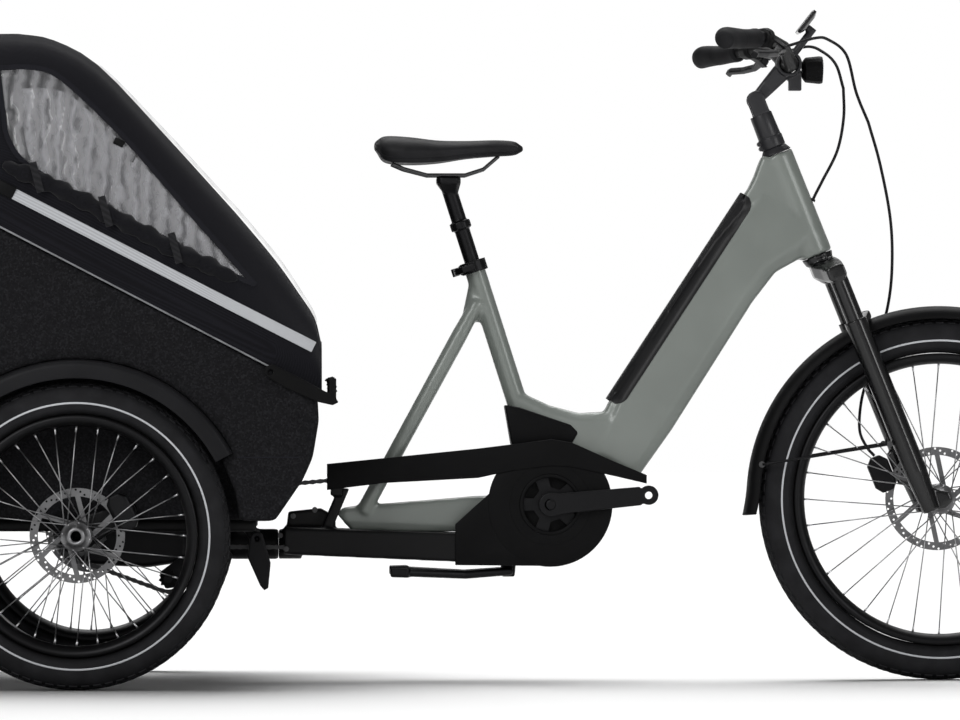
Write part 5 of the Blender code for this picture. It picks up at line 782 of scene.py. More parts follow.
STRIP_START = Vector((0.2366, 0.0, 0.4856))
STRIP_END = Vector((0.4700, 0.0, 0.8423))
STRIP_DEPTH = 0.0235
STRIP_SHY = 0.0015
BAY_RIM = 0.0262
RAY_START = 0.2
STRIP_PROUD = 0.0012
STRIP_CROWN = 0.0036
STRIP_ROWS = 70
STRIP_FLANK_STEPS = 8
STRIP_TIP = (0.45, 0.016)
SIDE_PANEL = (
    (0.0560, 0.4770),
    (0.0824, 0.4725),
    (0.1700, 0.4425),
    (0.1835, 0.4290),
    (0.1710, 0.4080),
    (0.0680, 0.4060),
)
SIDE_PANEL_HALF = 0.0372


def make_battery_strip():
    """The black battery cover: it wraps the down tube's top edge and a band of each side."""
    tree = skin_of("main_frame_finished")
    length = (STRIP_END - STRIP_START).length
    along = (STRIP_END - STRIP_START).normalized()
    up = Vector((-along.z, 0.0, along.x))
    least, taper = STRIP_TIP
    rings = []
    for index in range(STRIP_ROWS + 1):
        place = STRIP_START + along * (length * index / STRIP_ROWS)
        near_end = min(index, STRIP_ROWS - index) / STRIP_ROWS * length
        depth = STRIP_DEPTH * min(1.0, least + math.sqrt(near_end / taper) * (1.0 - least))
        drops = [depth * step / STRIP_FLANK_STEPS + STRIP_SHY for step in range(STRIP_FLANK_STEPS + 1)]
        right, left = ([landed(tree, place - up * drop, side) for drop in drops] for side in (RIGHT, LEFT))
        edge = abs(right[0].y)
        top = []
        for step in range(1, STRIP_FLANK_STEPS):
            share = 2.0 * step / STRIP_FLANK_STEPS - 1.0
            top.append(place + Vector((0, edge * share, 0)) + up * STRIP_CROWN * (1.0 - share**4))
        rings.append([*reversed(right), *top, *left])
    strip = walled(mesh_object_kept("battery_strip", lofted(rings), "battery_strip"), 2.0 * STRIP_PROUD)
    strip.data.shade_smooth()
    strip.data.set_sharp_from_angle(angle=math.radians(50.0))
    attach(strip, "front_frame")


def landed(tree, place, side):
    """Where a ray from one side first meets the frame's skin, or the bay's rim where it passes over."""
    found = tree.ray_cast(place + Vector((0.0, side * RAY_START, 0.0)), Vector((0.0, -side, 0.0)))[0]
    if found is None or found.y * side <= 0.0:
        found = place + Vector((0.0, side * BAY_RIM, 0.0))
    return found


def make_side_panel():
    """The black cover over the joint of bridge and seat tube."""
    panel = bevelled(mesh_object("side_panel", prism(SIDE_PANEL, SIDE_PANEL_HALF), "black_plastic"), 0.004, 3)
    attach(panel, "front_frame")


def make_frame_trim():
    """What lies on the frame: the battery's strip and the side panel."""
    make_battery_strip()
    make_side_panel()



# Grips, as sections of (place from the end, half width, half height, how far it lies back)

GRIP_SECTIONS = (
    (0.000, 0.0110, 0.0100, 0.000),
    (0.004, 0.0165, 0.0150, 0.001),
    (0.012, 0.0195, 0.0170, 0.004),
    (0.030, 0.0215, 0.0172, 0.006),
    (0.052, 0.0200, 0.0165, 0.004),
    (0.072, 0.0172, 0.0160, 0.001),
    (0.100, 0.0162, 0.0158, 0.0),
    (0.118, 0.0170, 0.0168, 0.0),
    (0.122, 0.0170, 0.0168, 0.0),
    (0.125, 0.0140, 0.0140, 0.0),
)
GRIP_CORNERS = 28
GRIP_RIBS = range(27, 42)
RIB_HEIGHT = 0.0005


def make_grips():
    """Shaped grips: a palm rest that widens towards the outer end, with ribs round the inner part."""
    for side, label in SIDES:
        node = NODES["grip_" + label]
        along, ahead = lever_frame(side)
        up = along.cross(ahead) * -side
        points = [node.matrix_world @ vert.co for vert in node.data.vertices]
        far = max(point.dot(along) for point in points)
        middle = sum(points, Vector()) / len(points)
        end = middle + along * (far - middle.dot(along))
        length = far - min(point.dot(along) for point in points)
        stretch = length / GRIP_SECTIONS[-1][0]
        knots = [Vector((place * stretch, wide, high)) for place, wide, high, _ in GRIP_SECTIONS]
        backs = [Vector((place * stretch, back, 0.0)) for place, _, _, back in GRIP_SECTIONS]
        rings = []
        for index, (knot, back) in enumerate(zip(smooth_path(knots, 6), smooth_path(backs, 6))):
            rib = RIB_HEIGHT * (-1.0) ** (index + 1) if index in GRIP_RIBS else 0.0
            centre = end - along * knot.x - ahead * back.y
            ring = []
            for corner in range(GRIP_CORNERS):
                turn = 2.0 * math.pi * corner / GRIP_CORNERS
                width, height = math.cos(turn) * (knot.y + rib), math.sin(turn) * (knot.z + rib)
                ring.append(centre + ahead * width + up * height)
            rings.append(ring)
        grip = mesh_object("grip_" + label + "_finished", closed_loft(rings), "rubber")
        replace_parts(grip, "grip_" + label)
        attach(grip, "handlebar")


# Hood

HOOD_RIM = ((-1.113, 0.880), (-0.980, 0.867), (-0.3965, 0.5645), (-0.300, 0.514), (-0.262, 0.490))
HOOD_ROOF = (
    (-1.112, 1.030),
    (-1.090, 1.062),
    (-1.030, 1.092),
    (-0.980, 1.101),
    (-0.900, 1.107),
    (-0.800, 1.109),
    (-0.766, 1.108),
    (-0.715, 1.098),
    (-0.642, 1.057),
    (-0.541, 0.952),
    (-0.432, 0.832),
    (-0.3965, 0.792),
    (-0.339, 0.723),
    (-0.300, 0.668),
    (-0.273, 0.626),
    (-0.262, 0.585),
)
HOOD_HALF = 0.4215
HOOD_FRONT_HALF = 0.402
ROOF_HALF = 0.300
ROOF_FRONT_HALF = 0.345
CLOTH = 0.0022
FILM = 0.0006
SLOPE = (-0.70, 0.44)
NOSE = (-0.34, 0.078)
SHOULDER_DROP = 0.062
REAR_BULGE = 0.004
END_STEPS = 6
WINDOW_REACH = (0.26, 0.50)
FILM_SEAM = 0.006
WINDOW = (
    (-0.802, 1.040),
    (-0.747, 1.041),
    (-0.696, 1.022),
    (-0.601, 0.930),
    (-0.492, 0.809),
    (-0.389, 0.695),
    (-0.381, 0.683),
    (-0.435, 0.709),
    (-0.601, 0.799),
    (-0.705, 0.852),
    (-0.758, 0.886),
    (-0.784, 0.925),
    (-0.792, 0.972),
)


def along_table(table, x):
    """The height of a row of side-view points at one place along the length."""
    for (left, low), (right, high) in zip(table, table[1:]):
        if x <= right:
            return low + (high - low) * (x - left) / (right - left)
    return table[-1][1]


def hood_stations(per_span=3):
    """Places along the hood with the heights of its roof line."""
    points = smooth_path([(x, 0.0, z) for x, z in HOOD_ROOF], per_span)
    return [(point.x, point.z) for point in points]


def hood_ring(x, high, grow=0.0, per_span=5):
    """One cross-section of the hood, from its right rim over the roof to its left rim."""
    low = along_table(HOOD_RIM, x)
    height = high - low
    forward, front = (min(1.0, max(0.0, (x - start) / length)) for start, length in (SLOPE, NOSE))
    half = HOOD_HALF + (HOOD_FRONT_HALF - HOOD_HALF) * front + grow
    roof = ROOF_HALF + (ROOF_FRONT_HALF - ROOF_HALF) * forward
    shoulder = high - min(SHOULDER_DROP, 0.32 * height)
    half_ring = [
        (half, low),
        (half - 0.001, low + min(0.055, 0.4 * height)),
        (roof + 0.46 * (half - roof), shoulder),
        (roof - 0.012, high - min(0.010, 0.1 * height) + grow),
        (roof * 0.55, high + grow),
        (0.0, high + grow),
    ]
    bow = smooth_path([(0.0, y, z) for y, z in half_ring], per_span)
    right = [Vector((x, -point.y, point.z)) for point in bow]
    left = [Vector((x, point.y, point.z)) for point in reversed(bow[:-1])]
    return right + left


def lofted(rings):
    """Bridge open rings of points into one sheet."""
    bm = bmesh.new()
    before = None
    for ring in rings:
        verts = [bm.verts.new(point) for point in ring]
        edges = [bm.edges.new(pair) for pair in zip(verts, verts[1:])]
        if before:
            bmesh.ops.bridge_loops(bm, edges=before + edges)
        before = edges
    return bm


def end_panel(name, ring, low, bulge):
    """The sheet that closes an end of the hood: the end bow, carried down to its rim."""
    rings = []
    for index in range(END_STEPS + 1):
        left = 1.0 - index / END_STEPS
        shift = bulge * math.sin(math.pi * left)
        rings.append([Vector((p.x + shift, p.y, low + (p.z - low) * left)) for p in ring])
    bm = lofted(rings)
    bmesh.ops.remove_doubles(bm, verts=bm.verts, dist=0.0004)
    return walled(mesh_object_kept(name, bm, "hood_cloth"), CLOTH)


def hood_sheet(name, thickness, grow, finish_name):
    """The hood's whole skin from rim to rim, with its wall on the inner side."""
    bm = lofted([hood_ring(x, high, grow) for x, high in hood_stations()])
    bmesh.ops.recalc_face_normals(bm, faces=bm.faces)
    if sum(face.normal.z * face.calc_area() for face in bm.faces) < 0:
        bmesh.ops.reverse_faces(bm, faces=bm.faces)
    return walled(mesh_object_kept(name, bm, finish_name), thickness, -1.0)


def window_outline(grow=0.0):
    """The side window's smooth outline as side-view points."""
    points = smooth_path([(x, 0.0, z) for x, z in (*WINDOW, WINDOW[0])], 4)[:-1]
    centre = sum(points, Vector()) / len(points)
    return [point + (point - centre).normalized() * grow for point in points]


def window_prism(name, grow, near, far):
    """A prism through one side of the hood, in the shape of its window."""
    bm = bmesh.new()
    plate(bm, [(point.x, near, point.z) for point in window_outline(grow)], far - near)
    return mesh_object(name, bm, "hood_cloth", smooth=False)


def boolean(target, tool, operation):
    """Cut a piece by a tool, or to it, and take the tool away."""
    step = target.modifiers.new(operation.lower(), "BOOLEAN")
    step.operation = operation
    step.object = tool
    step.solver = "EXACT"
    apply_modifiers(target)
    bpy.data.objects.remove(tool)


def make_hood():
    """The cloth with its window openings, the clear films in them and the sheets at both ends."""
    shell = hood_sheet("hood_cloth", CLOTH, 0.0, "hood_cloth")
    for side, label in SIDES:
        near, far = (side * reach for reach in WINDOW_REACH)
        boolean(shell, window_prism("window_cutter", 0.0, near, far), "DIFFERENCE")
        film = hood_sheet("window_film_" + label, FILM, -CLOTH / 2, "window_film")
        boolean(film, window_prism("film_cutter", FILM_SEAM, near, far), "INTERSECT")
        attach(film, "hood")
    stations = hood_stations()
    rear = end_panel("hood_rear", hood_ring(*stations[0]), HOOD_RIM[0][1], -REAR_BULGE)
    front = end_panel("hood_nose", hood_ring(*stations[-1]), HOOD_RIM[-1][1], 0.0)
    shell = join("hood_cloth", [shell, rear, front])
    shell.data.shade_smooth()
    shell.data.set_sharp_from_angle(angle=math.radians(50.0))
    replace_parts(shell, "hood_shell")
    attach(shell, "hood")


# Tyres and wheels

TREAD_HEIGHT = 0.0022
TYRE_WALL = 0.004
ROUND_STEPS = 144
FRONT_TYRE = (0.030, 0.3135, 0.2535)
REAR_TYRE = (0.0275, 0.258, 0.203)
RIM_DEPTH = 0.019
RIM_HALF = 0.017
RIM_LIP = 0.004
SPOKE_CROSSINGS = 2
FLANGE_SPLIT = 0.0028
FLANGE_RADIUS = 0.026
DISC_THICKNESS = 0.0022
DISC_BAND = 0.014
DISC_SEAT = 0.026
DISC_HOLES = 18
HOLE_ROWS = ((0.25, 0.0), (0.55, 6.0), (0.80, 12.0))
HOLE_RADIUS = 0.0020
DISC_ARMS = 6
DISC_SWEEP = 30.0
TREAD_ROWS = ((0.0, 0.0), (0.30, 0.5), (-0.30, 0.5), (0.58, 0.0), (-0.58, 0.0))
TREAD_PITCH = 0.0205
BLOCK_LENGTH = 0.0145
BLOCK_WIDTH = 0.0068
BLOCK_TOP = 0.86
STRIPE_LEVEL = 0.36
FLANGE_PROFILE = (
    (-0.008, 0.016),
    (-0.0035, FLANGE_RADIUS - 0.0015),
    (-0.0022, FLANGE_RADIUS),
    (0.0022, FLANGE_RADIUS),
    (0.0035, FLANGE_RADIUS - 0.0015),
    (0.009, 0.0150),
)
NIPPLE_LENGTH = 0.0125
FRONT_FLANGE = 0.029
FRONT_HUB_ENDS = (-0.0497, 0.0391)
REAR_FLANGE = 0.023
REAR_HUB_ENDS = {RIGHT: (-0.037, 0.0415), LEFT: (-0.0415, 0.037)}
FRONT_DISC = (0.0405, 0.090, 0.012)
REAR_DISC = (0.357, 0.080, 0.0135)


def round_section(half_width, outer, bead, steps=14):
    """The outside of a tyre's section as (along, radius), from its right bead over the tread."""
    height = outer - bead
    middle = bead + 0.50 * height
    crown = outer - middle
    section = [(-0.62 * half_width, bead + 0.0005), (-0.86 * half_width, bead + 0.22 * height)]
    for step in range(steps + 1):
        turn = math.pi * step / steps
        section.append((-half_width * math.cos(turn), middle + crown * math.sin(turn) ** 0.86))
    section.append((0.86 * half_width, bead + 0.22 * height))
    section.append((0.62 * half_width, bead + 0.0005))
    return section


def spun(section, centre, steps=ROUND_STEPS):
    """Turn a closed (along, radius) section about an axle that runs across the tricycle."""
    bm = bmesh.new()
    verts = [bm.verts.new((centre.x + radius, centre.y + along, centre.z)) for along, radius in section]
    edges = [bm.edges.new(pair) for pair in zip(verts, verts[1:] + verts[:1])]
    bmesh.ops.spin(
        bm, geom=verts + edges, cent=centre, axis=(0, 1, 0), angle=2 * math.pi, steps=steps, use_merge=True
    )
    return bm


def on_wheel(centre, along, radius, degrees):
    """A point of a wheel, by its place along the axle, radius and angle."""
    turn = math.radians(degrees)
    return centre + Vector((radius * math.cos(turn), along, radius * math.sin(turn)))


def block_on(bm, base, turn, low, high):
    """A small block on the tread, narrower at its top."""
    for vert in bmesh.ops.create_cube(bm, size=1.0)["verts"]:
        rise = low + (vert.co.z + 0.5) * (high - low)
        local = Vector((vert.co.x * BLOCK_LENGTH, vert.co.y * BLOCK_WIDTH, rise))
        if vert.co.z > 0:
            local.x *= BLOCK_TOP
            local.y *= BLOCK_TOP
        vert.co = base + turn @ local


def tread_blocks(centre, half_width, outer, bead):
    """Rows of small blocks round the tread, staggered from row to row."""
    bm = bmesh.new()
    count = round(2 * math.pi * outer / TREAD_PITCH)
    crown = 0.5 * (outer - bead)
    for share, shift in TREAD_ROWS:
        lean = math.asin(share)
        along = Vector((0, 1, 0))
        for index in range(count):
            degrees = 360.0 * (index + shift) / count
            radial = on_wheel(Vector(), 0.0, 1.0, degrees)
            around = along.cross(radial)
            out = (radial * math.cos(lean) + along * math.sin(lean)).normalized()
            across = around.cross(out) * -1.0
            radius = outer - crown + crown * math.cos(lean) ** 0.86 - TREAD_HEIGHT
            base = centre + radial * radius + along * (half_width * share)
            turn = Matrix((around, across, out)).transposed()
            block_on(bm, base, turn, -0.0010, TREAD_HEIGHT - 0.0002)
    return bm


def make_tyre(label, centre, half_width, outer, bead, body):
    """A tyre with a rounded section, tread blocks and a reflective line on each wall."""
    outside = round_section(half_width, outer - TREAD_HEIGHT, bead)
    inside = [(along * (1 - TYRE_WALL / half_width), radius - TYRE_WALL) for along, radius in outside[2:-2]]
    casing = mesh_object(label + "_casing", spun(outside + list(reversed(inside)), centre), "tyre_rubber")
    tread = tread_blocks(centre, half_width, outer, bead)
    blocks = mesh_object(label + "_tread", tread, "tyre_rubber", False)
    pieces = [casing, blocks]
    line = sizes().tyre_stripe / 2
    height = outer - bead
    for side in (RIGHT, LEFT):
        wall = side * (half_width * 0.952 + 0.0002)
        middle = bead + STRIPE_LEVEL * height
        section = [(wall * 0.95, middle - line), (wall, middle - line), (wall * 1.01, middle + line)]
        section.append((wall * 0.95, middle + line))
        pieces.append(mesh_object(label + "_line", spun(section, centre), "tyre_stripe"))
    tyre = join(label + "_dressed", pieces)
    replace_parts(tyre, label)
    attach(tyre, body)


def rim_section(bead):
    """A box rim's section as (along, radius), from lip to lip."""
    inner = bead - RIM_DEPTH
    half = RIM_HALF
    profile = [(-half - RIM_LIP, bead - 0.0003), (-half - RIM_LIP, bead - 0.35 * RIM_DEPTH)]
    profile += [(-half - 0.4 * RIM_LIP, bead - 0.62 * RIM_DEPTH)]
    profile += [(-0.62 * half, inner + 0.0016), (-0.35 * half, inner)]
    mirrored = [(-along, radius) for along, radius in reversed(profile)]
    return profile + mirrored


def hub_section(flange, left, right):
    """A hub shell with two flanges, open for its axle."""
    near = [(-flange + shift, radius) for shift, radius in FLANGE_PROFILE]
    far = [(-along, radius) for along, radius in reversed(near)]
    return [(left, 0.009), (left, 0.0145), *near, *far, (right, 0.0145), (right, 0.009)]


def rod_between(bm, start, end, radius, segments=8, end_radius=None):
    """A round bar between two points."""
    axis = end - start
    turn = axis.to_track_quat("Z", "Y").to_matrix().to_4x4()
    place = Matrix.Translation((start + end) / 2) @ turn
    bmesh.ops.create_cone(
        bm,
        cap_ends=True,
        segments=segments,
        radius1=radius,
        radius2=radius if end_radius is None else end_radius,
        depth=axis.length,
        matrix=place,
    )


def cross_pin(bm, middle, half, radius, segments):
    """A round bar across the tricycle."""
    reach = Vector((0, half, 0))
    rod_between(bm, middle - reach, middle + reach, radius, segments)


def make_spoked_wheel(node, centre, bead, flange, ends, body):
    """Rim, hub, crossed spokes and their nipples."""
    rim = mesh_object(node + "_rim", spun(rim_section(bead), centre), "wheel_alloy")
    hub = mesh_object(node + "_hub", spun(hub_section(flange, *ends), centre, 48), "hub_alloy")
    spokes, nipples = bmesh.new(), bmesh.new()
    count = sizes().spokes
    step = 360.0 / count
    for index in range(count):
        side = -1.0 if index % 2 else 1.0
        leading = (index // 2) % 2
        lean = (1.0 if leading else -1.0) * SPOKE_CROSSINGS * step * 2.0
        hub_along = side * (flange + (FLANGE_SPLIT if leading else -FLANGE_SPLIT))
        root = on_wheel(centre, hub_along, FLANGE_RADIUS - 0.003, index * step - lean)
        tip = on_wheel(centre, side * 0.003, bead - RIM_DEPTH + 0.002, index * step)
        rod_between(spokes, root, tip, sizes().spoke / 2)
        inward = (root - tip).normalized()
        thick = sizes().nipple / 2
        rod_between(nipples, tip, tip + inward * NIPPLE_LENGTH, thick, 8, thick * 0.62)
        rod_between(nipples, root - inward * 0.001, root + inward * 0.004, 0.0021, 8, 0.0012)
    parts = [rim, hub, mesh_object(node + "_spokes", spokes, "spoke_steel")]
    parts.append(mesh_object(node + "_nipples", nipples, "steel"))
    wheel = join(node + "_dressed", parts)
    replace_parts(wheel, node)
    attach(wheel, body)


def make_disc(node, centre, radius, bore, body):
    """A cross-drilled brake disc on swept arms, with its centre ring and bolts."""
    half = DISC_THICKNESS / 2
    inner = radius - DISC_BAND
    band_section = [(-half, inner), (-half, radius), (half, radius), (half, inner)]
    band = mesh_object(node + "_band", spun(band_section, centre, 96), "disc_steel")
    holes = bmesh.new()
    for index in range(DISC_HOLES):
        for share, shift in HOLE_ROWS:
            place = on_wheel(centre, 0.0, inner + share * DISC_BAND, 360.0 / DISC_HOLES * index + shift)
            cross_pin(holes, place, 0.004, HOLE_RADIUS, 8)
    boolean(band, mesh_object("disc_holes", holes, "disc_steel"), "DIFFERENCE")
    band.data.shade_flat()
    ring_section = [(-half, bore), (-half, DISC_SEAT), (half, DISC_SEAT), (half, bore)]
    ring = mesh_object(node + "_ring", spun(ring_section, centre, 48), "dark_steel", False)
    arms, bolts = bmesh.new(), bmesh.new()
    for index in range(DISC_ARMS):
        angle = index * 360.0 / DISC_ARMS
        foot = on_wheel(centre, 0.0, DISC_SEAT - 0.0015, angle)
        tip = on_wheel(centre, 0.0, inner + 0.002, angle + DISC_SWEEP)
        rod_flat(arms, foot, tip, 0.0042, half * 0.98)
        seat = on_wheel(centre, 0.0, DISC_SEAT - 0.0045, angle + 8.0)
        cross_pin(bolts, seat, half + 0.0016, 0.0034, 12)
    parts = [band, ring, mesh_object(node + "_arms", arms, "disc_steel", False)]
    parts.append(mesh_object(node + "_bolts", bolts, "dark_steel", False))
    disc = join(node + "_dressed", parts)
    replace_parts(disc, node)
    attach(disc, body)


def rod_flat(bm, start, end, half_wide, half_thick):
    """A flat bar between two points of a disc."""
    made = bmesh.ops.create_cube(bm, size=1.0)["verts"]
    along = (end - start).normalized()
    across = along.cross(Vector((0, 1, 0)))
    middle = (start + end) / 2
    for vert in made:
        x, y, z = vert.co
        long, wide = x * (end - start).length, y * 2 * half_wide
        vert.co = middle + along * long + across * wide + Vector((0, z * 2 * half_thick, 0))


def make_wheels():
    """Tyre, spoked wheel and disc, in front and on both sides behind."""
    make_tyre("front_tyre", FRONT_AXLE, *FRONT_TYRE, "front_wheel")
    bead, body = FRONT_TYRE[2], "front_wheel"
    make_spoked_wheel("front_spoked_wheel", FRONT_AXLE, bead, FRONT_FLANGE, FRONT_HUB_ENDS, body)
    across, *disc = FRONT_DISC
    make_disc("front_brake_disc", FRONT_AXLE + Vector((0, across, 0)), *disc, body)
    for side, label in SIDES:
        centre = REAR_AXLE + Vector((0, side * REAR_TRACK_HALF, 0))
        bead, body = REAR_TYRE[2], "rear_wheel_" + label
        make_tyre("rear_tyre_" + label, centre, *REAR_TYRE, body)
        make_spoked_wheel("rear_spoked_wheel_" + label, centre, bead, REAR_FLANGE, REAR_HUB_ENDS[side], body)
        across, *disc = REAR_DISC
        make_disc("rear_brake_disc_" + label, REAR_AXLE + Vector((0, side * across, 0)), *disc, body)


# Guards, arches and covers


def closed_loft(rings):
    """Bridge closed rings of points and cap both ends."""
    bm = bmesh.new()
    rows = []
    before = None
    for ring in rings:
        verts = [bm.verts.new(point) for point in ring]
        edges = [bm.edges.new(pair) for pair in zip(verts, verts[1:] + verts[:1])]
        if before:
            bmesh.ops.bridge_loops(bm, edges=before + edges)
        before = edges
        rows.append(verts)
    bm.faces.new(rows[0])
    bm.faces.new(rows[-1])
    return bm


def bevelled(obj, width, segments=3, degrees=30.0):
    """Break the sharp edges of a piece and shade it by its angles."""
    step = obj.modifiers.new("edges", "BEVEL")
    step.width = width
    step.segments = segments
    step.limit_method = "ANGLE"
    step.angle_limit = math.radians(degrees)
    apply_modifiers(obj)
    obj.data.shade_smooth()
    obj.data.set_sharp_from_angle(angle=math.radians(40.0))
    return obj


EDGED = (
    ("motor_cover", "black_plastic", 0.0010),
    ("chain_guard", "black_plastic", 0.0010),
    ("battery_cover", "battery_strip", 0.0012),
    ("tensioner_arm", "black_alloy", 0.0010),
    ("rear_light", "red_lens", 0.0015),
)


COVER_SECTION = (
    (-0.0609, 0.070),
    (-0.0609, 0.1066),
    (-0.0600, 0.1075),
    (-0.0580, 0.1075),
    (-0.0575, 0.1070),
    (-0.0575, 0.070),
)
COVER_LIP = (
    (-0.0612, 0.0465),
    (-0.0620, 0.0480),
    (-0.0620, 0.0520),
    (-0.0606, 0.0535),
    (-0.0580, 0.0535),
    (-0.0575, 0.0465),
)


def cover_rim():
    """The truly round rim and window lip of the shield outside the chainring."""
    rim = mesh_object("cover_rim", spun(COVER_SECTION, CRANK_AXLE, 96), "black_plastic")
    lip = mesh_object("cover_lip", spun(COVER_LIP, CRANK_AXLE, 72), "black_plastic")
    return bevelled(join("cover_rim", [rim, lip]), 0.0003, 1)


def make_edged():
    """Covers and small bodies whose edges are broken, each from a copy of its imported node."""
    for node, finish_name, width in EDGED:
        made = bevelled(mesh_object(node + "_finished", welded(node), finish_name), width)
        if node == "motor_cover":
            made = join(node + "_finished", [made, cover_rim()])
        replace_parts(made, node)
        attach(made, BODY_OF[node])


ARCH_OUTER = 0.2955
ARCH_LIP = 0.2640
ARCH_FAR = 0.4395
ARCH_NEAR = 0.345
ARCH_WALL = 0.006
ARCH_START = 28.0
ARCH_ROUND = 0.012
ARCH_PROUD = 0.0012
ARCH_STEPS = 64


def arch_section():
    """The arch's section as (along, radius) points, with a round outer shoulder."""
    outer, far, near = ARCH_OUTER, ARCH_FAR, ARCH_NEAR
    section = [(near, ARCH_LIP), (near, outer - 0.003), (near + 0.003, outer)]
    for step in range(7):
        turn = math.radians(90.0 - 15.0 * step)
        along, radius = far - ARCH_ROUND, outer - ARCH_ROUND
        section.append((along + ARCH_ROUND * math.cos(turn), radius + ARCH_ROUND * math.sin(turn)))
    proud = far + ARCH_PROUD
    section += [(proud, ARCH_LIP + 0.004), (proud, ARCH_LIP), (far - ARCH_WALL, ARCH_LIP)]
    section += [(far - ARCH_WALL, outer - 0.016), (far - ARCH_WALL - 0.009, outer - ARCH_WALL)]
    section += [(near + ARCH_WALL, outer - ARCH_WALL), (near + ARCH_WALL, ARCH_LIP)]
    return section


def make_arches():
    """The arches over the rear wheels."""
    for side, label in SIDES:
        rings = []
        for index in range(ARCH_STEPS + 1):
            angle = ARCH_START + (180.0 - 2.0 * ARCH_START) * index / ARCH_STEPS
            rings.append([on_wheel(REAR_AXLE, side * y, radius, angle) for y, radius in arch_section()])
        # The arches take the lighter copy of the plastic, which holds a painted highlight.
        channel = mesh_object("wheel_arch_" + label + "_finished", closed_loft(rings), "arch_tone_and_highlight")
        arch = bevelled(channel, 0.0010, 2)
        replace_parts(arch, "wheel_arch_" + label)
        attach(arch, "rear_platform")


FENDER_RADIUS = 0.335
FENDER_HALF = 0.038
FENDER_WALL = 0.0025
FENDER_START = 184.7
FENDER_END = 60.0
FENDER_FLARE = 0.008
FENDER_STEPS = 72
FENDER_KNOTS = ((-1.0, -0.020), (-0.92, -0.0115), (-0.74, -0.0045), (-0.40, -0.0008), (0.0, 0.0))
STAY_ANGLE = 169.0
STAY_SEAT = (0.349, -0.009)
STAY_RADIUS = 0.0024
HEAD_BOTTOM = Vector((0.59919, 0.0, 0.73652))
HEAD_DOWN = Vector((0.37137, 0.0, -0.92849))
HEAD_FORWARD = Vector((0.92849, 0.0, 0.37137))
LEG_HALF = 0.066
FRONT_AXLE_DROP = (FRONT_AXLE - HEAD_BOTTOM).dot(HEAD_DOWN)


def on_head_axis(down, forward=0.0, across=0.0):
    """A point by its distance below the head tube, ahead of the steering axis and to the left."""
    return HEAD_BOTTOM + HEAD_DOWN * down + HEAD_FORWARD * forward + Vector((0, across, 0))


def make_fender():
    """The front guard with its rolled edges, wire stays and their rivets."""
    half_section = [(share * FENDER_HALF, rise) for share, rise in FENDER_KNOTS]
    section = half_section + [(-along, rise) for along, rise in reversed(half_section[:-1])]
    outside = [(along, FENDER_RADIUS + rise) for along, rise in section]
    inside = [(0.955 * along, FENDER_RADIUS - FENDER_WALL + rise) for along, rise in reversed(section)]
    skin = outside + inside
    rings = []
    for index in range(FENDER_STEPS + 1):
        angle = FENDER_START + (FENDER_END - FENDER_START) * index / FENDER_STEPS
        flare = FENDER_FLARE * max(0.0, 1.0 - index / 5.0) ** 2
        rings.append([on_wheel(FRONT_AXLE, along, radius + flare, angle) for along, radius in skin])
    parts = [bevelled(mesh_object("fender_shell", closed_loft(rings), "black_plastic"), 0.0007, 2, 50.0)]
    for side in (RIGHT, LEFT):
        edge = on_wheel(FRONT_AXLE, side * (FENDER_HALF - 0.0015), FENDER_RADIUS - 0.019, STAY_ANGLE)
        seat = on_head_axis(*STAY_SEAT, side * LEG_HALF)
        bend = edge + (seat - edge) * 0.12 + Vector((0.0, side * 0.009, 0.0))
        parts.append(tube("fender_stay", smooth_path([edge, bend, seat], 5), STAY_RADIUS, "black_alloy"))
        for place, radius in ((edge, 0.0055), (seat, 0.0050)):
            bolt = bmesh.new()
            rod_between(bolt, place - Vector((0, 0.002, 0)), place + Vector((0, side * 0.005, 0)), radius, 12)
            parts.append(mesh_object("stay_bolt", bolt, "dark_steel", False))
    fender = join("front_fender_finished", parts)
    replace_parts(fender, "front_fender")
    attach(fender, "fork_slide")


# Saddle, grips and hoses

SADDLE_STATIONS = (
    (-0.166, 0.046, 0.917, 0.934),
    (-0.150, 0.072, 0.899, 0.942),
    (-0.110, 0.079, 0.895, 0.9405),
    (-0.060, 0.061, 0.897, 0.935),
    (-0.010, 0.037, 0.904, 0.9345),
    (0.040, 0.0215, 0.908, 0.936),
    (0.072, 0.0185, 0.910, 0.934),
    (0.085, 0.010, 0.915, 0.927),
)


def saddle_ring(x, half, low, high):
    """One cross-section of the saddle, with the dip along its middle."""
    middle = low + 0.38 * (high - low)
    dip = 0.0036 if half < 0.066 and x > -0.12 else 0.0018
    knots = [
        (0.0, high - dip),
        (0.38 * half, high - 0.0004),
        (0.80 * half, high - 0.0065),
        (half, middle + 0.003),
        (0.90 * half, low + 0.001),
        (0.78 * half, low),
        (0.0, low + 0.004),
    ]
    right = smooth_path([(x, -y, z) for y, z in knots], 4)
    left = smooth_path([(x, y, z) for y, z in reversed(knots)], 4)
    return right + left[1:-1]


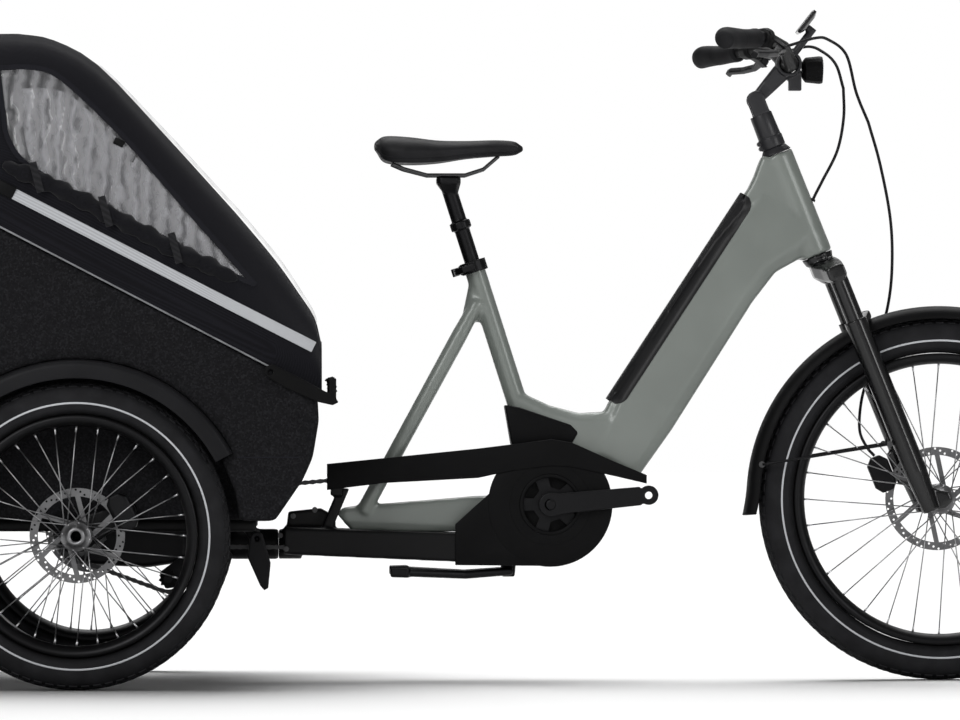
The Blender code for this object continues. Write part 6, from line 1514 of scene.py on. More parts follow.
def make_saddle():
    """The padded saddle with its drawn-in sides, centre channel and welt round its edge."""
    columns = list(zip(*SADDLE_STATIONS))
    curves = [smooth_path([(a, b, 0) for a, b in zip(columns[0], column)], 6) for column in columns[1:]]
    rings = [saddle_ring(half.x, half.y, low.y, high.y) for half, low, high in zip(*curves)]
    for end, shift in ((0, -0.0035), (-1, 0.004)):
        middle = sum(rings[end], Vector()) / len(rings[end])
        cap = [middle + (point - middle) * 0.55 + Vector((shift, 0, 0)) for point in rings[end]]
        rings = [cap] + rings if end == 0 else rings + [cap]
    shell = mesh_object("saddle_shell", closed_loft(rings), "saddle_cover")
    subdivided(shell).data.shade_smooth()
    welt = []
    for half, low, high in zip(*curves):
        welt.append(Vector((half.x, -half.y * 0.94, low.y + 0.16 * (high.y - low.y))))
    other = [Vector((point.x, -point.y, point.z)) for point in reversed(welt)]
    edge = tube("saddle_welt", welt + other, 0.0016, "rubber", 8, closed=True)
    saddle = join("saddle_finished", [shell, edge])
    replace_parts(saddle, "saddle")
    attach(saddle, "seat")


GRIP_LINE = ((0.500, 0.200, 1.104), (0.418, 0.355, 1.092))
LEVER_AHEAD = Vector((1.0, 0.0, -0.55))
HOSE_RADIUS = 0.0026
HOSE_END = (0.1098, -0.0335, 0.0405)
FRONT_HOSE_UPPER = (
    (0.588, -0.110, 1.108),
    (0.616, -0.050, 1.108),
    (0.650, -0.008, 1.084),
    (0.670, 0.026, 1.020),
    (0.692, 0.036, 0.968),
)
FRONT_HOSE_LOWER = (
    (0.692, 0.036, 0.968),
    (0.713, 0.042, 0.895),
    (0.731, 0.045, 0.800),
    (0.734, 0.048, 0.715),
    (0.727, 0.062, 0.645),
    (0.709, 0.086, 0.580),
    (0.696, 0.0925, 0.530),
    (0.683, 0.086, 0.480),
    (0.679, 0.066, 0.432),
    (0.690, 0.046, 0.403),
)
REAR_HOSE_UPPER = (
    (0.588, 0.110, 1.104),
    (0.614, 0.054, 1.092),
    (0.634, 0.018, 1.068),
    (0.645, -0.006, 1.026),
)
REAR_HOSE_LOWER = (
    (0.645, -0.006, 1.026),
    (0.645, -0.012, 0.975),
    (0.634, -0.012, 0.918),
    (0.609, -0.009, 0.867),
    (0.5975, -0.007, 0.8445),
    (0.5908, -0.006, 0.8305),
)


def lever_frame(side):
    """The direction outwards along a grip, and the one in which its brake lever stands off."""
    start, end = (Vector((x, side * y, z)) for x, y, z in GRIP_LINE)
    along = (end - start).normalized()
    ahead = LEVER_AHEAD - along * LEVER_AHEAD.dot(along)
    return along, ahead.normalized()


def hose_start(side):
    """The first points of a hose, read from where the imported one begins."""
    node = NODES["brake_hose_front" if side == RIGHT else "brake_hose_rear"]
    along, ahead = lever_frame(side)
    ends = [node.matrix_world @ vert.co for vert in node.data.vertices]
    last = max(ends, key=lambda point: point.dot(along))
    cap = [point for point in ends if (last - point).dot(along) < 0.0004]
    start = sum(cap, Vector()) / len(cap)
    return [start, start - along * 0.022 + ahead * 0.004]


def make_hoses():
    """The two brake hoses, each in two lengths."""
    above_axle, forward, across = HOSE_END
    caliper = on_head_axis(FRONT_AXLE_DROP - above_axle, forward, across)
    lengths = (
        ("front", "upper", (*hose_start(RIGHT), *FRONT_HOSE_UPPER), "handlebar", "steering"),
        ("front", "lower", (*FRONT_HOSE_LOWER, caliper), "steering", "fork_slide"),
        ("rear", "upper", (*hose_start(LEFT), *REAR_HOSE_UPPER), "handlebar", "steering"),
        ("rear", "lower", REAR_HOSE_LOWER, "steering", "front_frame"),
    )
    for label, part, knots, first, second in lengths:
        path = smooth_path(knots, 9)
        hose = tube(label + "_hose_" + part, path, HOSE_RADIUS, "rubber", 12)
        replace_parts(hose, "brake_hose_" + label)
        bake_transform(hose)


# Chain, link by link

CHAINRING_TEETH = 38
SPROCKET_TEETH = 24
JOCKEY_TEETH = 11
JOCKEY_CENTRE = Vector((-0.525, 0.0, 0.177))
IDLER_CENTRE = Vector((-0.425, 0.0, 0.2155))
IDLER_RADIUS = 0.0165
PLATE_RADIUS = 0.0041
PLATE_THICK = 0.0009
INNER_PLATE = 0.0020
OUTER_PLATE = 0.0031
PIN_REACH = 0.0038
PIN_RADIUS = 0.0018
ROLLER_RADIUS = 0.0038


def pitch_radius(teeth):
    """The radius on which a chain wheel carries its chain's pins."""
    return CHAIN_PITCH / (2.0 * math.sin(math.pi / teeth))


def straight_run(first, first_radius, second, second_radius):
    """Where a chain run leaves one wheel and meets the next; a radius is negative where it passes under."""
    reach = second - first
    direction = reach.normalized()
    normal = Vector((direction.z, 0.0, -direction.x))
    lean = (first_radius - second_radius) / reach.length
    out = direction * lean + normal * math.sqrt(1.0 - lean * lean)
    return first + out * first_radius, second + out * second_radius


def round_wheel(centre, start, end, turning):
    """Points round a wheel from one touching point to the other."""
    radius = (start - centre).length
    first = math.atan2(start.z - centre.z, start.x - centre.x)
    last = math.atan2(end.z - centre.z, end.x - centre.x)
    while turning > 0 and last < first:
        last += 2.0 * math.pi
    while turning < 0 and last > first:
        last -= 2.0 * math.pi
    steps = max(2, int(abs(last - first) * radius / 0.002))
    turns = [first + (last - first) * index / steps for index in range(steps + 1)]
    return [centre + Vector((math.cos(turn), 0.0, math.sin(turn))) * radius for turn in turns]


def chain_path():
    """The closed path of the chain: top run, sprocket, jockey, idler, chainring."""
    wheels = (
        (CRANK_AXLE, pitch_radius(CHAINRING_TEETH)),
        (REAR_AXLE, pitch_radius(SPROCKET_TEETH)),
        (JOCKEY_CENTRE, pitch_radius(JOCKEY_TEETH)),
        (IDLER_CENTRE, -IDLER_RADIUS),
    )
    runs = [straight_run(*first, *second) for first, second in zip(wheels, wheels[1:] + wheels[:1])]
    points = [runs[0][0]]
    for (centre, radius), before, after in zip(wheels[1:] + wheels[:1], runs, runs[1:] + runs[:1]):
        points += round_wheel(centre, before[1], after[0], 1 if radius > 0 else -1)
    return points


def evenly(points, pitch):
    """Places along a closed path, an even number of them, a pitch apart."""
    lengths = [0.0]
    for before, after in zip(points, points[1:]):
        lengths.append(lengths[-1] + (after - before).length)
    count = 2 * round(lengths[-1] / pitch / 2.0)
    places, index = [], 0
    for number in range(count):
        target = lengths[-1] * number / count
        while lengths[index + 1] < target:
            index += 1
        share = (target - lengths[index]) / max(lengths[index + 1] - lengths[index], 1e-9)
        places.append(points[index].lerp(points[index + 1], share))
    return places


def link_plate(bm, start, end, y):
    """One figure-of-eight plate between two pins."""
    along = (end - start).normalized()
    across = Vector((-along.z, 0.0, along.x))
    rim = []
    for pin, first in ((end, -90.0), (start, 90.0)):
        for step in range(5):
            turn = math.radians(first + 45.0 * step)
            rim.append(pin + (along * math.cos(turn) + across * math.sin(turn)) * PLATE_RADIUS)
        rim.append((start + end) / 2.0 + across * (0.72 if first < 0 else -0.72) * PLATE_RADIUS)
    plate(bm, [point + Vector((0, y, 0)) for point in rim], PLATE_THICK)


def make_chain():
    """Inner and outer links in turn, the ones behind the tilting joint apart from those ahead of it."""
    places = evenly(chain_path(), CHAIN_PITCH)
    halves = {"front_chain": bmesh.new(), "rear_chain": bmesh.new()}
    for index, start in enumerate(places):
        end = places[(index + 1) % len(places)]
        half = "front_chain" if (start.x + end.x) / 2.0 > CHAIN_SPLIT else "rear_chain"
        gap = OUTER_PLATE if index % 2 else INNER_PLATE
        for y in (gap, -gap - PLATE_THICK):
            link_plate(halves[half], start, end, CHAIN_LINE + y)
        middle = start + Vector((0, CHAIN_LINE, 0))
        cross_pin(halves[half], middle, PIN_REACH, PIN_RADIUS, 6)
        cross_pin(halves[half], middle, PIN_REACH / 2.0, ROLLER_RADIUS, 8)
    for name, bm in halves.items():
        bmesh.ops.recalc_face_normals(bm, faces=bm.faces)
        chain = mesh_object(name + "_links", bm, "chain_steel", smooth=False)
        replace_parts(chain, name)
        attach(chain, BODY_OF[name])


# Hood trim

STRIPE_START = (-1.085, 0.9885)
STRIPE_END = (-0.2745, 0.5732)
STRIPE_LIFT = 0.0020
ROLL_COURSE = ((-0.795, 0.880), (-0.705, 0.8400), (-0.601, 0.787), (-0.500, 0.733), (-0.402, 0.686))
ROLL_RADIUS = 0.0145
STRAP_SHARES = (0.16, 0.45, 0.74)
TOGGLES = ((-0.601, 0.917, 0.018, 0.012), (-0.790, 0.8373, 0.034, 0.022))
TOGGLE_DEPTH = 0.006
TOGGLE_LEAN = math.radians(26.0)


def hood_surface(x, z, side, lift=0.0):
    """The point of the hood's outer face at a place of its side view."""
    high = roof_at(x)
    ring = hood_ring(x, high, 0.0, 8)
    middle = len(ring) // 2
    bow = ring[: middle + 1] if side == RIGHT else list(reversed(ring[middle:]))
    for lower, upper in zip(bow, bow[1:]):
        if lower.z <= z <= upper.z:
            share = (z - lower.z) / max(upper.z - lower.z, 1e-6)
            point = lower.lerp(upper, share)
            slope = (upper - lower).normalized()
            out = Vector((0.0, side * abs(slope.z), abs(slope.y)))
            return Vector((x, point.y, z)) + out * lift
    return Vector((x, bow[0].y, z)) + Vector((0.0, side * lift, 0.0))


def roof_at(x):
    """The height of the roof line at one place along the hood."""
    stations = hood_stations()
    for (left, low), (right, high) in zip(stations, stations[1:]):
        if left <= x <= right:
            return low + (high - low) * (x - left) / max(right - left, 1e-6)
    return stations[-1][1]


def ribbon(name, path, width, finish_name, side, lift=0.0005, thickness=0.0009, wave=0.0):
    """A flat tape sewn on the hood along a side-view path."""
    left, right = [], []
    for index, (x, z) in enumerate(path):
        x0, z0 = path[max(index - 1, 0)]
        x1, z1 = path[min(index + 1, len(path) - 1)]
        along = Vector((x1 - x0, z1 - z0)).normalized()
        across = Vector((-along.y, along.x)) * width / 2
        ripple = lift + wave * math.sin(index * 1.7) * math.sin(index * 0.61)
        left.append(hood_surface(x + across.x, z + across.y, side, ripple))
        right.append(hood_surface(x - across.x, z - across.y, side, ripple))
    bm = lofted([[a, a.lerp(b, 0.5), b] for a, b in zip(left, right)])
    return walled(mesh_object_kept(name, bm, finish_name), thickness)


def straight(start, end, count):
    """Even steps along a straight line in the side view."""
    return [
        (start[0] + (end[0] - start[0]) * index / count, start[1] + (end[1] - start[1]) * index / count)
        for index in range(count + 1)
    ]


def puckered_roll(name, path, radius, finish_name, side):
    """A gathered roll of cloth that lies along a path on the hood."""
    rings = []
    for index, (x, z) in enumerate(path):
        x1, z1 = path[min(index + 1, len(path) - 1)]
        x0, z0 = path[max(index - 1, 0)]
        along = Vector((x1 - x0, 0.0, z1 - z0)).normalized()
        up = Vector((0, side, 0)).cross(along) * side
        swell = 1.0 + 0.22 * math.sin(index * 1.31) + 0.16 * math.sin(index * 2.77 + 1.0)
        taper = min(1.0, 0.35 + 0.18 * min(index, len(path) - 1 - index))
        middle = hood_surface(x, z, side, 0.0030 * taper)
        ring = []
        for corner in range(12):
            turn = 2 * math.pi * corner / 12
            fold = 1.0 + 0.14 * math.sin(3 * turn + index * 0.9)
            out = Vector((0, side, 0)) * math.cos(turn) * radius * 0.80 * swell * taper * fold
            ring.append(middle + out + up * math.sin(turn) * radius * swell * taper * fold)
        rings.append(ring)
    return subdivided(mesh_object(name, closed_loft(rings), finish_name))


def toggle(place, wide, high):
    """A small plastic clip that lies along the band."""
    bm = bmesh.new()
    bmesh.ops.create_cube(bm, size=1.0)
    bmesh.ops.scale(bm, verts=bm.verts, vec=(wide, TOGGLE_DEPTH, high))
    bmesh.ops.rotate(bm, verts=bm.verts, cent=(0, 0, 0), matrix=Matrix.Rotation(TOGGLE_LEAN, 3, "Y"))
    bmesh.ops.translate(bm, verts=bm.verts, vec=place)
    return bevelled(mesh_object("toggle", bm, "black_plastic"), 0.0018)


def make_hood_trim():
    """Piping, reflective band, window binding, side roll, straps and toggles."""
    for side, label in SIDES:
        course = straight(STRIPE_START, STRIPE_END, 60)
        band = ribbon("reflective_band", course, sizes().hood_stripe, "stripe", side, STRIPE_LIFT)
        rim = [(x, z + 0.0022) for x, z in straight_through(HOOD_RIM, 24)]
        hem = [hood_surface(x, z, side, 0.0008) for x, z in rim]
        piping = tube("hood_piping", hem, sizes().piping / 2, "piping", 8)
        outline = [(point.x, point.z) for point in window_outline(0.004)]
        binding = ribbon("window_binding", outline + outline[:2], 0.008, "binding", side, 0.0009, 0.0016)
        path = [(point.x, point.z) for point in smooth_path([(x, 0, z) for x, z in ROLL_COURSE], 14)]
        roll = puckered_roll("side_roll", path, ROLL_RADIUS, "gathered_cloth", side)
        parts = [band, piping, binding, roll]
        for share in STRAP_SHARES:
            x, z = path[round(share * (len(path) - 1))]
            strap = straight((x - 0.006, z + 0.024), (x + 0.008, z - 0.026), 6)
            parts.append(ribbon("roll_strap", strap, 0.012, "webbing", side, 0.0165, 0.0014))
        for x, z, wide, high in TOGGLES:
            parts.append(toggle(hood_surface(x, z, side, TOGGLE_DEPTH / 2.0), wide, high))
        trim = join("hood_trim_" + label, parts)
        trim.data.shade_smooth()
        trim.data.set_sharp_from_angle(angle=math.radians(50.0))
        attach(trim, "hood")


def straight_through(table, per_span):
    """Even side-view points along a row of straight stretches."""
    points = []
    for start, end in zip(table, table[1:]):
        points += straight(start, end, per_span)[:-1]
    return points + [table[-1]]


# Cushions

SEAT_LOW = (-1.0860, -0.2720, 0.4305)
SEAT_HIGH = (-0.7070, 0.2720, 0.4890)
BACK_LOW = (-1.0885, -0.2720, 0.4935)
BACK_HIGH = (-1.0375, 0.2720, 0.8480)
CUSHION_VOXEL = 0.006
CUSHION_FRAMES = 18
CUSHION_PRESSURE = 4.0
CUSHION_CAP = 0.010
CHANNEL_DEPTH = 0.0085
CHANNEL_WIDTH = 0.0075
CHANNELS = (-0.092, 0.092)
CUSHION_CORNER = 0.014
SLACK = 0.004
SLACK_THIN = 0.010


def pad_block(name, low, high, shrink):
    """The slack cover before it is filled: a block with rounded corners, a little too small."""
    bm = bmesh.new()
    bmesh.ops.create_cube(bm, size=1.0)
    size = [b - a - 2.0 * inset for a, b, inset in zip(low, high, shrink)]
    middle = [(a + b) / 2.0 for a, b in zip(low, high)]
    bmesh.ops.scale(bm, verts=bm.verts, vec=size)
    bmesh.ops.translate(bm, verts=bm.verts, vec=middle)
    bmesh.ops.bevel(
        bm, geom=bm.edges, offset=CUSHION_CORNER, segments=3, affect="EDGES", profile=0.5, material=-1
    )
    made = mesh_object(name, bm, "cushion_cloth")
    remeshed(made, CUSHION_VOXEL)
    return apply_modifiers(made)


def filled(pad):
    """Blow the cover up with cloth under pressure, and hold how far any point may move."""
    rest = [vert.co.copy() for vert in pad.data.vertices]
    cloth = pad.modifiers.new("stuffing", "CLOTH")
    cloth.settings.use_pressure = True
    cloth.settings.uniform_pressure_force = CUSHION_PRESSURE
    cloth.settings.effector_weights.gravity = 0.0
    cloth.settings.quality = 5
    cloth.collision_settings.use_collision = False
    scene = bpy.context.scene
    for number in range(1, CUSHION_FRAMES + 1):
        scene.frame_set(number)
    shown = pad.evaluated_get(bpy.context.evaluated_depsgraph_get()).data
    blown = [vert.co.copy() for vert in shown.vertices]
    pad.modifiers.remove(cloth)
    scene.frame_set(1)
    for vert, start, end in zip(pad.data.vertices, rest, blown):
        move = end - start
        if move.length > CUSHION_CAP:
            move *= CUSHION_CAP / move.length
        vert.co = start + move


def cushion(name, low, high, thin):
    """A stuffed pad between two corners, flat on its low side; thin is its thickness axis."""
    shrink = [SLACK_THIN if axis == thin else SLACK for axis in range(3)]
    pad = pad_block(name, low, high, shrink)
    filled(pad)
    subdivided(pad)
    middle = (low[thin] + high[thin]) / 2.0
    half = (high[thin] - low[thin]) / 2.0
    for vert in pad.data.vertices:
        depth = 0.0
        for place in CHANNELS:
            near = (vert.co.y - place) / CHANNEL_WIDTH
            depth = max(depth, CHANNEL_DEPTH * math.exp(-near * near))
        side = max(-1.0, min(1.0, 1.6 * (vert.co[thin] - middle) / half))
        if side > 0.0:
            vert.co[thin] -= depth * side
        for axis in range(3):
            vert.co[axis] = min(max(vert.co[axis], low[axis]), high[axis])
    pad.data.shade_smooth()
    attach(pad, "rear_platform")
    return pad


def make_cushions():
    """The bench's seat and back pads, each with two sewn channels."""
    for name, low, high, thin in (
        ("seat_cushion", SEAT_LOW, SEAT_HIGH, 2),
        ("back_cushion", BACK_LOW, BACK_HIGH, 0),
    ):
        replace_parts(cushion(name + "_padded", low, high, thin), name)


# Small parts

BOX_SEAM_LEVEL = 0.390
BOX_SEAM_ENDS = (-0.4020, -0.2990)
BOLT_PLACES = ((-0.3095, 0.2845), (-0.2720, 0.2950), (-0.3315, 0.2510), (-0.3215, 0.2285))
BOLT_PIECES = (("tilt_beam_finished", "front_frame"), ("rear_frame_finished", "rear_platform"))
KNOB_PLACE = Vector((-0.2440, 0.4300, 0.5115))
FRONT_FILM_ENDS = (-0.655, -0.270)
FRONT_FILM_BULGE = 0.0065
FRONT_FILM_FLAT = (0.50, 0.60)
FRONT_FILM_LIFT = 0.0012
BOX_SEAM_STEPS = 24
BOX_SEAM_RADIUS = 0.0011
BOLT_HEAD = 0.0048
BOLT_SOCKET = 0.0030
KNOB_LEAN = Vector((0.25, 0.0, -1.0)).normalized()
KNOB_RINGS = ((-0.010, 0.0068), (-0.002, 0.0060), (0.005, 0.0068), (0.012, 0.0056))
KNOB_RING_HALF = 0.0016
LENS_RISE = 0.004
LENS_RADIUS = 0.0150
HEAD_LENGTH = 0.189
SLEEVE_SPAN = (0.0125, 0.074)
SLEEVE_RADIUS = 0.0205
SLEEVE_BOLTS = (0.09, 0.23)
WELT_PLACE = (-1.113, 0.881)
WELT_HALF = 0.427
WELT_RADIUS = 0.0042


def make_box_seam():
    """The joint between the box's upper and lower mouldings, seen ahead of the wheel arch."""
    tree = skin_of("cargo_box_finished")
    for side, label in SIDES:
        points = []
        for index in range(BOX_SEAM_STEPS + 1):
            x = BOX_SEAM_ENDS[0] + (BOX_SEAM_ENDS[1] - BOX_SEAM_ENDS[0]) * index / BOX_SEAM_STEPS
            found = tree.ray_cast(Vector((x, side * 0.6, BOX_SEAM_LEVEL)), Vector((0, -side, 0)))[0]
            if found and found.y * side > 0.2:
                points.append(found)
        seam = tube("box_seam_" + label, points, BOX_SEAM_RADIUS, "binding", 6)
        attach(seam, "rear_platform")


def make_bolts():
    """Socket bolts in the tilting joint's bracket, on both of its faces."""
    trees = [(skin_of(name), body) for name, body in BOLT_PIECES]
    bolts = {body: bmesh.new() for _, body in BOLT_PIECES}
    for side in (RIGHT, LEFT):
        for x, z in BOLT_PLACES:
            hits = []
            for tree, body in trees:
                found = tree.ray_cast(Vector((x, side * 0.3, z)), Vector((0, -side, 0)))[0]
                if found:
                    hits.append((found.y * side, found, body))
            if hits:
                _, found, body = max(hits, key=lambda hit: hit[0])
                face = Vector((0, side, 0))
                rod_between(bolts[body], found - face * 0.002, found + face * 0.003, BOLT_HEAD, 16)
                rod_between(bolts[body], found + face * 0.003, found + face * 0.0042, BOLT_SOCKET, 6)
    for body, bm in bolts.items():
        if not bm.verts:
            bm.free()
            continue
        made = bevelled(mesh_object("bracket_bolts_" + body, bm, "dark_steel", False), 0.0004, 1)
        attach(made, body)


def make_knobs():
    """The sprung knob at the end of each hood latch."""
    for side, label in SIDES:
        place = Vector((KNOB_PLACE.x, side * KNOB_PLACE.y, KNOB_PLACE.z))
        bm = bmesh.new()
        rod_between(bm, place - KNOB_LEAN * 0.013, place + KNOB_LEAN * 0.014, 0.0046, 20)
        for along, radius in KNOB_RINGS:
            ends = [place + KNOB_LEAN * (along + half) for half in (-KNOB_RING_HALF, KNOB_RING_HALF)]
            rod_between(bm, *ends, radius, 24)
        knob = bevelled(mesh_object("latch_knob_" + label, bm, "black_plastic", False), 0.0005, 2)
        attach(knob, "latch_lever_" + label)


def make_headlight_lens():
    """The glass in the headlight's face."""
    low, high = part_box("headlight")
    middle = Vector(((low[0] + high[0]) / 2.0, (low[1] + high[1]) / 2.0, (low[2] + high[2]) / 2.0))
    face = Vector((high[0], middle.y, middle.z + LENS_RISE))
    bm = bmesh.new()
    back, front = face - Vector((0.004, 0, 0)), face + Vector((0.0012, 0, 0))
    rod_between(bm, back, front, LENS_RADIUS, 40, LENS_RADIUS * 0.93)
    lens = bevelled(mesh_object("headlight_lens", bm, "lamp_lens", False), 0.0006, 2)
    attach(lens, "handlebar")


def make_stem_sleeve():
    """The thick lower half of the stem, clamped round the steerer by two bolts."""
    low = on_head_axis(-HEAD_LENGTH - SLEEVE_SPAN[0])
    high = on_head_axis(-HEAD_LENGTH - SLEEVE_SPAN[1])
    bm = bmesh.new()
    rod_between(bm, low, low.lerp(high, 0.32), SLEEVE_RADIUS + 0.0012, 40)
    rod_between(bm, low.lerp(high, 0.30), high, SLEEVE_RADIUS, 40, SLEEVE_RADIUS - 0.0010)
    for share in SLEEVE_BOLTS:
        cross_pin(bm, low.lerp(high, share) - HEAD_FORWARD * (SLEEVE_RADIUS + 0.0008), 0.011, 0.0042, 20)
    sleeve = bevelled(mesh_object("stem_sleeve", bm, "stem_alloy", False), 0.0014, 3)
    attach(sleeve, "steering")


def make_hose_port():
    """The rubber bung where the rear brake hose runs into the head tube."""
    end, before = Vector(REAR_HOSE_LOWER[-1]), Vector(REAR_HOSE_LOWER[-2])
    along = (before - end).normalized()
    bm = bmesh.new()
    rod_between(bm, end, end + along * 0.0045, 0.0052, 24, 0.0040)
    bung = bevelled(mesh_object("hose_port", bm, "rubber", False), 0.0006, 2)
    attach(bung, "front_frame")


def make_hinge_welt():
    """The rubber welt in the hood's rear hem, which closes the gap to the box along the hinge line."""
    ends = [Vector((WELT_PLACE[0], side * WELT_HALF, WELT_PLACE[1])) for side in (RIGHT, LEFT)]
    bm = bmesh.new()
    rod_between(bm, ends[0], ends[1], WELT_RADIUS, 16)
    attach(mesh_object("hood_hinge_welt", bm, "rubber"), "hood")


def make_front_film():
    """The clear weather sheet over the hood's sloping front; it stands a little off the cloth."""
    stations = [(x, high) for x, high in hood_stations(6) if FRONT_FILM_ENDS[0] <= x <= FRONT_FILM_ENDS[1]]
    rings = []
    count = len(stations) - 1
    for index, (x, high) in enumerate(stations):
        before, after = stations[max(index - 1, 0)], stations[min(index + 1, count)]
        slope = Vector((after[0] - before[0], 0.0, after[1] - before[1])).normalized()
        out = Vector((-slope.z, 0.0, slope.x))
        lift = FRONT_FILM_LIFT + FRONT_FILM_BULGE * math.sin(math.pi * index / count) ** 0.6
        ring = [point for point in hood_ring(x, high, 0.0, 6) if abs(point.y) < FRONT_FILM_FLAT[0] / 2.0]
        rings.append([point + out * lift for point in ring])
    fewest = min(len(ring) for ring in rings)
    rings = [ring[(len(ring) - fewest) // 2 :][:fewest] for ring in rings]
    film = walled(mesh_object_kept("front_film", lofted(rings), "weather_film"), FILM, -1.0)
    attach(film, "hood")


def make_small_parts():
    """Every small piece that rides on a body."""
    make_box_seam()
    make_bolts()
    make_knobs()
    make_headlight_lens()
    make_stem_sleeve()
    make_hose_port()
    make_hinge_welt()
    make_front_film()


# Studio

FLOOR_HALF = 30.0
WORLD_STRENGTH = 0.18
SUN_STRENGTH = 3.25
SUN_ANGLE = math.radians(58.0)
SUN_TURN = (math.radians(-24.0), math.radians(-6.0), 0.0)
STUDIO_LIGHTS = (
    ("key_light", (-2.4, -4.6, 3.0), (0.0, 0.0, 0.5), 2.4, 140.0),
    ("front_light", (3.4, -3.4, 1.8), (0.3, 0.0, 0.5), 1.6, 55.0),
    ("low_light", (-0.2, -5.5, 0.7), (0.0, 0.0, 0.4), 2.0, 10.0),
)


def make_floor():
    """A pale floor that keeps the tricycle's shadow, and a backdrop a long way behind it."""
    bm = bmesh.new()
    bmesh.ops.create_grid(bm, x_segments=4, y_segments=4, size=FLOOR_HALF)
    floor = mesh_object("studio_floor", bm, "floor", smooth=False)
    bm = bmesh.new()
    bmesh.ops.create_grid(bm, x_segments=2, y_segments=2, size=FLOOR_HALF)
    bmesh.ops.rotate(bm, verts=bm.verts, cent=(0, 0, 0), matrix=Matrix.Rotation(math.pi / 2, 3, "X"))
    bmesh.ops.translate(bm, verts=bm.verts, vec=(0, FLOOR_HALF, 0))
    wall = mesh_object("studio_backdrop", bm, "backdrop", smooth=False)
    wall.visible_shadow = False


def make_world():
    """A dim white studio world, plain white to the camera."""
    world = bpy.data.worlds.new("studio_world")
    world.use_nodes = True
    nodes = world.node_tree.nodes
    soft, plain = nodes["Background"], nodes.new("ShaderNodeBackground")
    for background, strength in ((soft, WORLD_STRENGTH), (plain, 1.0)):
        background.inputs["Color"].default_value = (1.0, 1.0, 1.0, 1.0)
        background.inputs["Strength"].default_value = strength
    target = nodes["World Output"].inputs["Surface"]
    seen_white(world.node_tree, soft.outputs["Background"], plain.outputs["Background"], target)
    bpy.context.scene.world = world


def make_lights():
    """One broad sun that lights the floor evenly, and soft boxes that shape the tubes."""
    data = bpy.data.lights.new("sun_light", "SUN")
    data.energy = SUN_STRENGTH
    data.angle = SUN_ANGLE
    sun = placed("sun_light", data)
    sun.rotation_euler = SUN_TURN
    boxes = [area_light(*each) for each in STUDIO_LIGHTS]
    flagged = bpy.data.collections.new("kept_off_the_soft_boxes")
    flagged.objects.link(bpy.data.objects["studio_floor"])
    flagged.collection_objects[0].light_linking.link_state = "EXCLUDE"
    for box in boxes:
        box.light_linking.receiver_collection = flagged


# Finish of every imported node

PAINTED_NODES = {
    "frame_paint": ("main_frame",),
    "black_paint": (
        "rear_frame",
        "tilt_beam",
        "axle_housing",
        "fork_upper",
        "fork_lowers",
        "handlebar",
        "stem_arm",
        "stem_base",
        "kickstand",
    ),
    "black_alloy": (
        "seat_clamp",
        "seat_clamp_lever",
        "crank_right",
        "crank_left",
        "brake_lever_right",
        "brake_lever_left",
        "rear_caliper_right",
        "rear_caliper_left",
        "front_caliper",
        "tilt_lock_pedal",
        "tensioner_arm",
        "seat_post",
        "chainring",
    ),
    "black_plastic": (
        "battery_pack",
        "battery_cover",
        "drive_unit",
        "motor_cover",
        "chain_guard",
        "front_fender",
        "headlight",
        "jockey_wheel",
        "latch_lever_right",
        "latch_lever_left",
    ),
    # The arches' lighter plastic carries a painted highlight.
    "arch_tone_and_highlight": ("wheel_arch_right", "wheel_arch_left"),
    "glossy_plastic": ("display",),
    "foam": ("cargo_box",),
    "hood_cloth": ("hood_shell",),
    "webbing": ("hood_bow",),
    "cushion_cloth": ("seat_cushion", "back_cushion"),
    "rubber": ("grip_right", "grip_left", "brake_hose_front", "brake_hose_rear", "saddle"),
    "tyre_rubber": ("rear_tyre_right", "rear_tyre_left", "front_tyre"),
    "steel": ("rear_brake_disc_right", "rear_brake_disc_left", "front_brake_disc"),
    "dark_steel": ("saddle_rails", "rear_sprocket"),
    "chain_steel": ("front_chain", "rear_chain"),
    "red_lens": ("rear_light",),
    "wheel_alloy": ("rear_spoked_wheel_right", "rear_spoked_wheel_left", "front_spoked_wheel"),
}


# Operators, one for each piece or group of like pieces


class TRICYCLE_OT_stage(bpy.types.Operator):
    """Set up the camera, the floor, the backdrop and the lights"""

    bl_idname = "tricycle.stage"
    bl_label = "Studio"

    def execute(self, context):
        make_camera()
        make_floor()
        make_world()
        make_lights()
        context.scene.view_settings.view_transform = "Standard"
        return {"FINISHED"}


class TRICYCLE_OT_finishes(bpy.types.Operator):
    """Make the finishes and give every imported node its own"""

    bl_idname = "tricycle.finishes"
    bl_label = "Finishes"

    def execute(self, context):
        make_finishes()
        for name, nodes in PAINTED_NODES.items():
            for node in nodes:
                paint(node, name)
        return {"FINISHED"}


class TRICYCLE_OT_hood(bpy.types.Operator):
    """Make the folding hood with its windows"""

    bl_idname = "tricycle.hood"
    bl_label = "Hood"

    def execute(self, context):
        make_hood()
        return {"FINISHED"}


class TRICYCLE_OT_wheels(bpy.types.Operator):
    """Make the three wheels with their tyres, spokes and brake discs"""

    bl_idname = "tricycle.wheels"
    bl_label = "Wheels"

    def execute(self, context):
        make_wheels()
        return {"FINISHED"}


class TRICYCLE_OT_bodies(bpy.types.Operator):
    """Round the edges of the welded, forged and moulded bodies"""

    bl_idname = "tricycle.bodies"
    bl_label = "Rounded bodies"

    def execute(self, context):
        make_softened()
        return {"FINISHED"}


class TRICYCLE_OT_covers(bpy.types.Operator):
    """Make the chain guard, the covers, the wheel arches and the front fender"""

    bl_idname = "tricycle.covers"
    bl_label = "Guards, covers and arches"

    def execute(self, context):
        make_edged()
        make_arches()
        make_fender()
        return {"FINISHED"}


class TRICYCLE_OT_seat(bpy.types.Operator):
    """Make the padded saddle"""

    bl_idname = "tricycle.seat"
    bl_label = "Saddle"

    def execute(self, context):
        make_saddle()
        return {"FINISHED"}


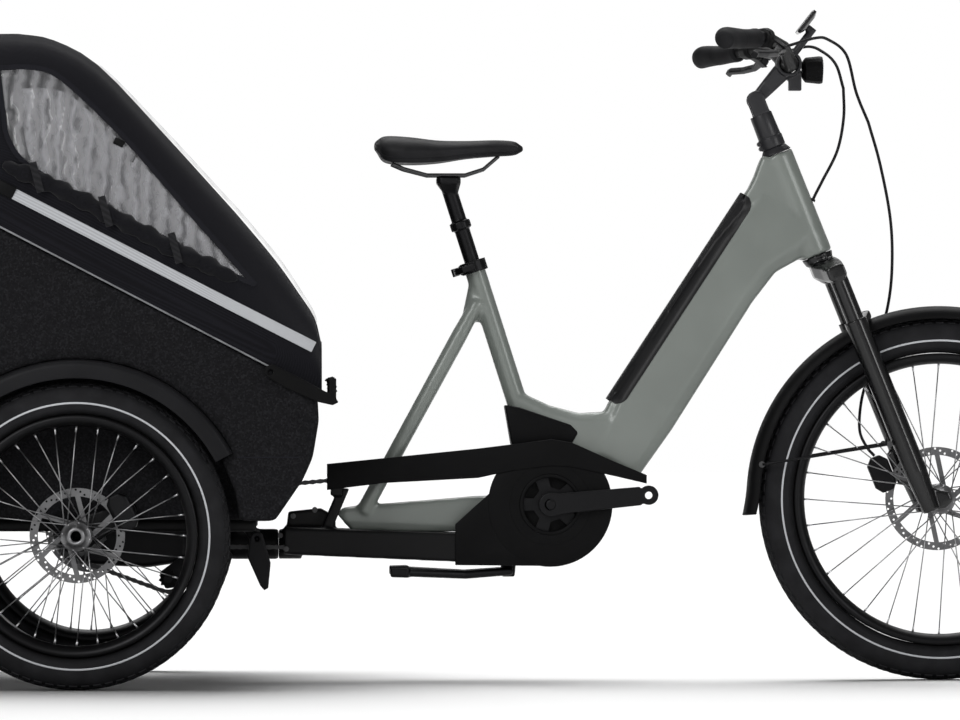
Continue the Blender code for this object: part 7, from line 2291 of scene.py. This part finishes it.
class TRICYCLE_OT_hoses(bpy.types.Operator):
    """Run the two brake hoses"""

    bl_idname = "tricycle.hoses"
    bl_label = "Brake hoses"

    def execute(self, context):
        make_hoses()
        return {"FINISHED"}


class TRICYCLE_OT_hood_trim(bpy.types.Operator):
    """Sew the piping, bands, rolls and straps onto the hood"""

    bl_idname = "tricycle.hood_trim"
    bl_label = "Hood trim"

    def execute(self, context):
        make_hood_trim()
        return {"FINISHED"}


class TRICYCLE_OT_cushions(bpy.types.Operator):
    """Fill the seat and back cushions of the cargo box"""

    bl_idname = "tricycle.cushions"
    bl_label = "Cushions"

    def execute(self, context):
        make_cushions()
        return {"FINISHED"}


class TRICYCLE_OT_frame_trim(bpy.types.Operator):
    """Lay the battery strip and the side panel on the frame"""

    bl_idname = "tricycle.frame_trim"
    bl_label = "Frame trim"

    def execute(self, context):
        make_frame_trim()
        return {"FINISHED"}


class TRICYCLE_OT_grips(bpy.types.Operator):
    """Make the two shaped grips"""

    bl_idname = "tricycle.grips"
    bl_label = "Grips"

    def execute(self, context):
        make_grips()
        return {"FINISHED"}


class TRICYCLE_OT_chain(bpy.types.Operator):
    """Lay the chain over its wheels, link by link"""

    bl_idname = "tricycle.chain"
    bl_label = "Chain"

    def execute(self, context):
        make_chain()
        return {"FINISHED"}


class TRICYCLE_OT_small_parts(bpy.types.Operator):
    """Add the box seam, bolts, knobs, lamp lens and weather film"""

    bl_idname = "tricycle.small_parts"
    bl_label = "Small Parts"

    def execute(self, context):
        make_small_parts()
        return {"FINISHED"}


CLASSES = (
    TricycleColours,
    TricycleSizes,
    TRICYCLE_OT_finishes,
    TRICYCLE_OT_bodies,
    TRICYCLE_OT_hood,
    TRICYCLE_OT_wheels,
    TRICYCLE_OT_covers,
    TRICYCLE_OT_seat,
    TRICYCLE_OT_hoses,
    TRICYCLE_OT_hood_trim,
    TRICYCLE_OT_cushions,
    TRICYCLE_OT_frame_trim,
    TRICYCLE_OT_grips,
    TRICYCLE_OT_chain,
    TRICYCLE_OT_small_parts,
    TRICYCLE_OT_stage,
)
STEPS = (
    "finishes",
    "bodies",
    "hood",
    "hood_trim",
    "wheels",
    "covers",
    "seat",
    "hoses",
    "cushions",
    "frame_trim",
    "grips",
    "chain",
    "small_parts",
    "stage",
)


class TRICYCLE_PT_build(bpy.types.Panel):
    """Steps that dress the tricycle"""

    bl_label = "Cargo Tricycle"
    bl_space_type = "VIEW_3D"
    bl_region_type = "UI"
    bl_category = "Tricycle"

    def draw(self, context):
        layout = self.layout
        for group in (context.scene.tricycle_colours, context.scene.tricycle_sizes):
            for name in group.__annotations__:
                layout.prop(group, name)
        for step in STEPS:
            layout.operator("tricycle." + step)


def register():
    """Register the property groups, the operators and the panel."""
    for each in (*CLASSES, TRICYCLE_PT_build):
        bpy.utils.register_class(each)
    bpy.types.Scene.tricycle_colours = PointerProperty(type=TricycleColours)
    bpy.types.Scene.tricycle_sizes = PointerProperty(type=TricycleSizes)


def unregister():
    """Take them out again, in the opposite order."""
    del bpy.types.Scene.tricycle_sizes
    del bpy.types.Scene.tricycle_colours
    for each in reversed((*CLASSES, TRICYCLE_PT_build)):
        bpy.utils.unregister_class(each)


def main():
    """Run every step in order."""
    register()
    for step in STEPS:
        if getattr(bpy.ops.tricycle, step)() != {"FINISHED"}:
            raise RuntimeError(step + " did not finish")


if __name__ == "__main__":
    main()
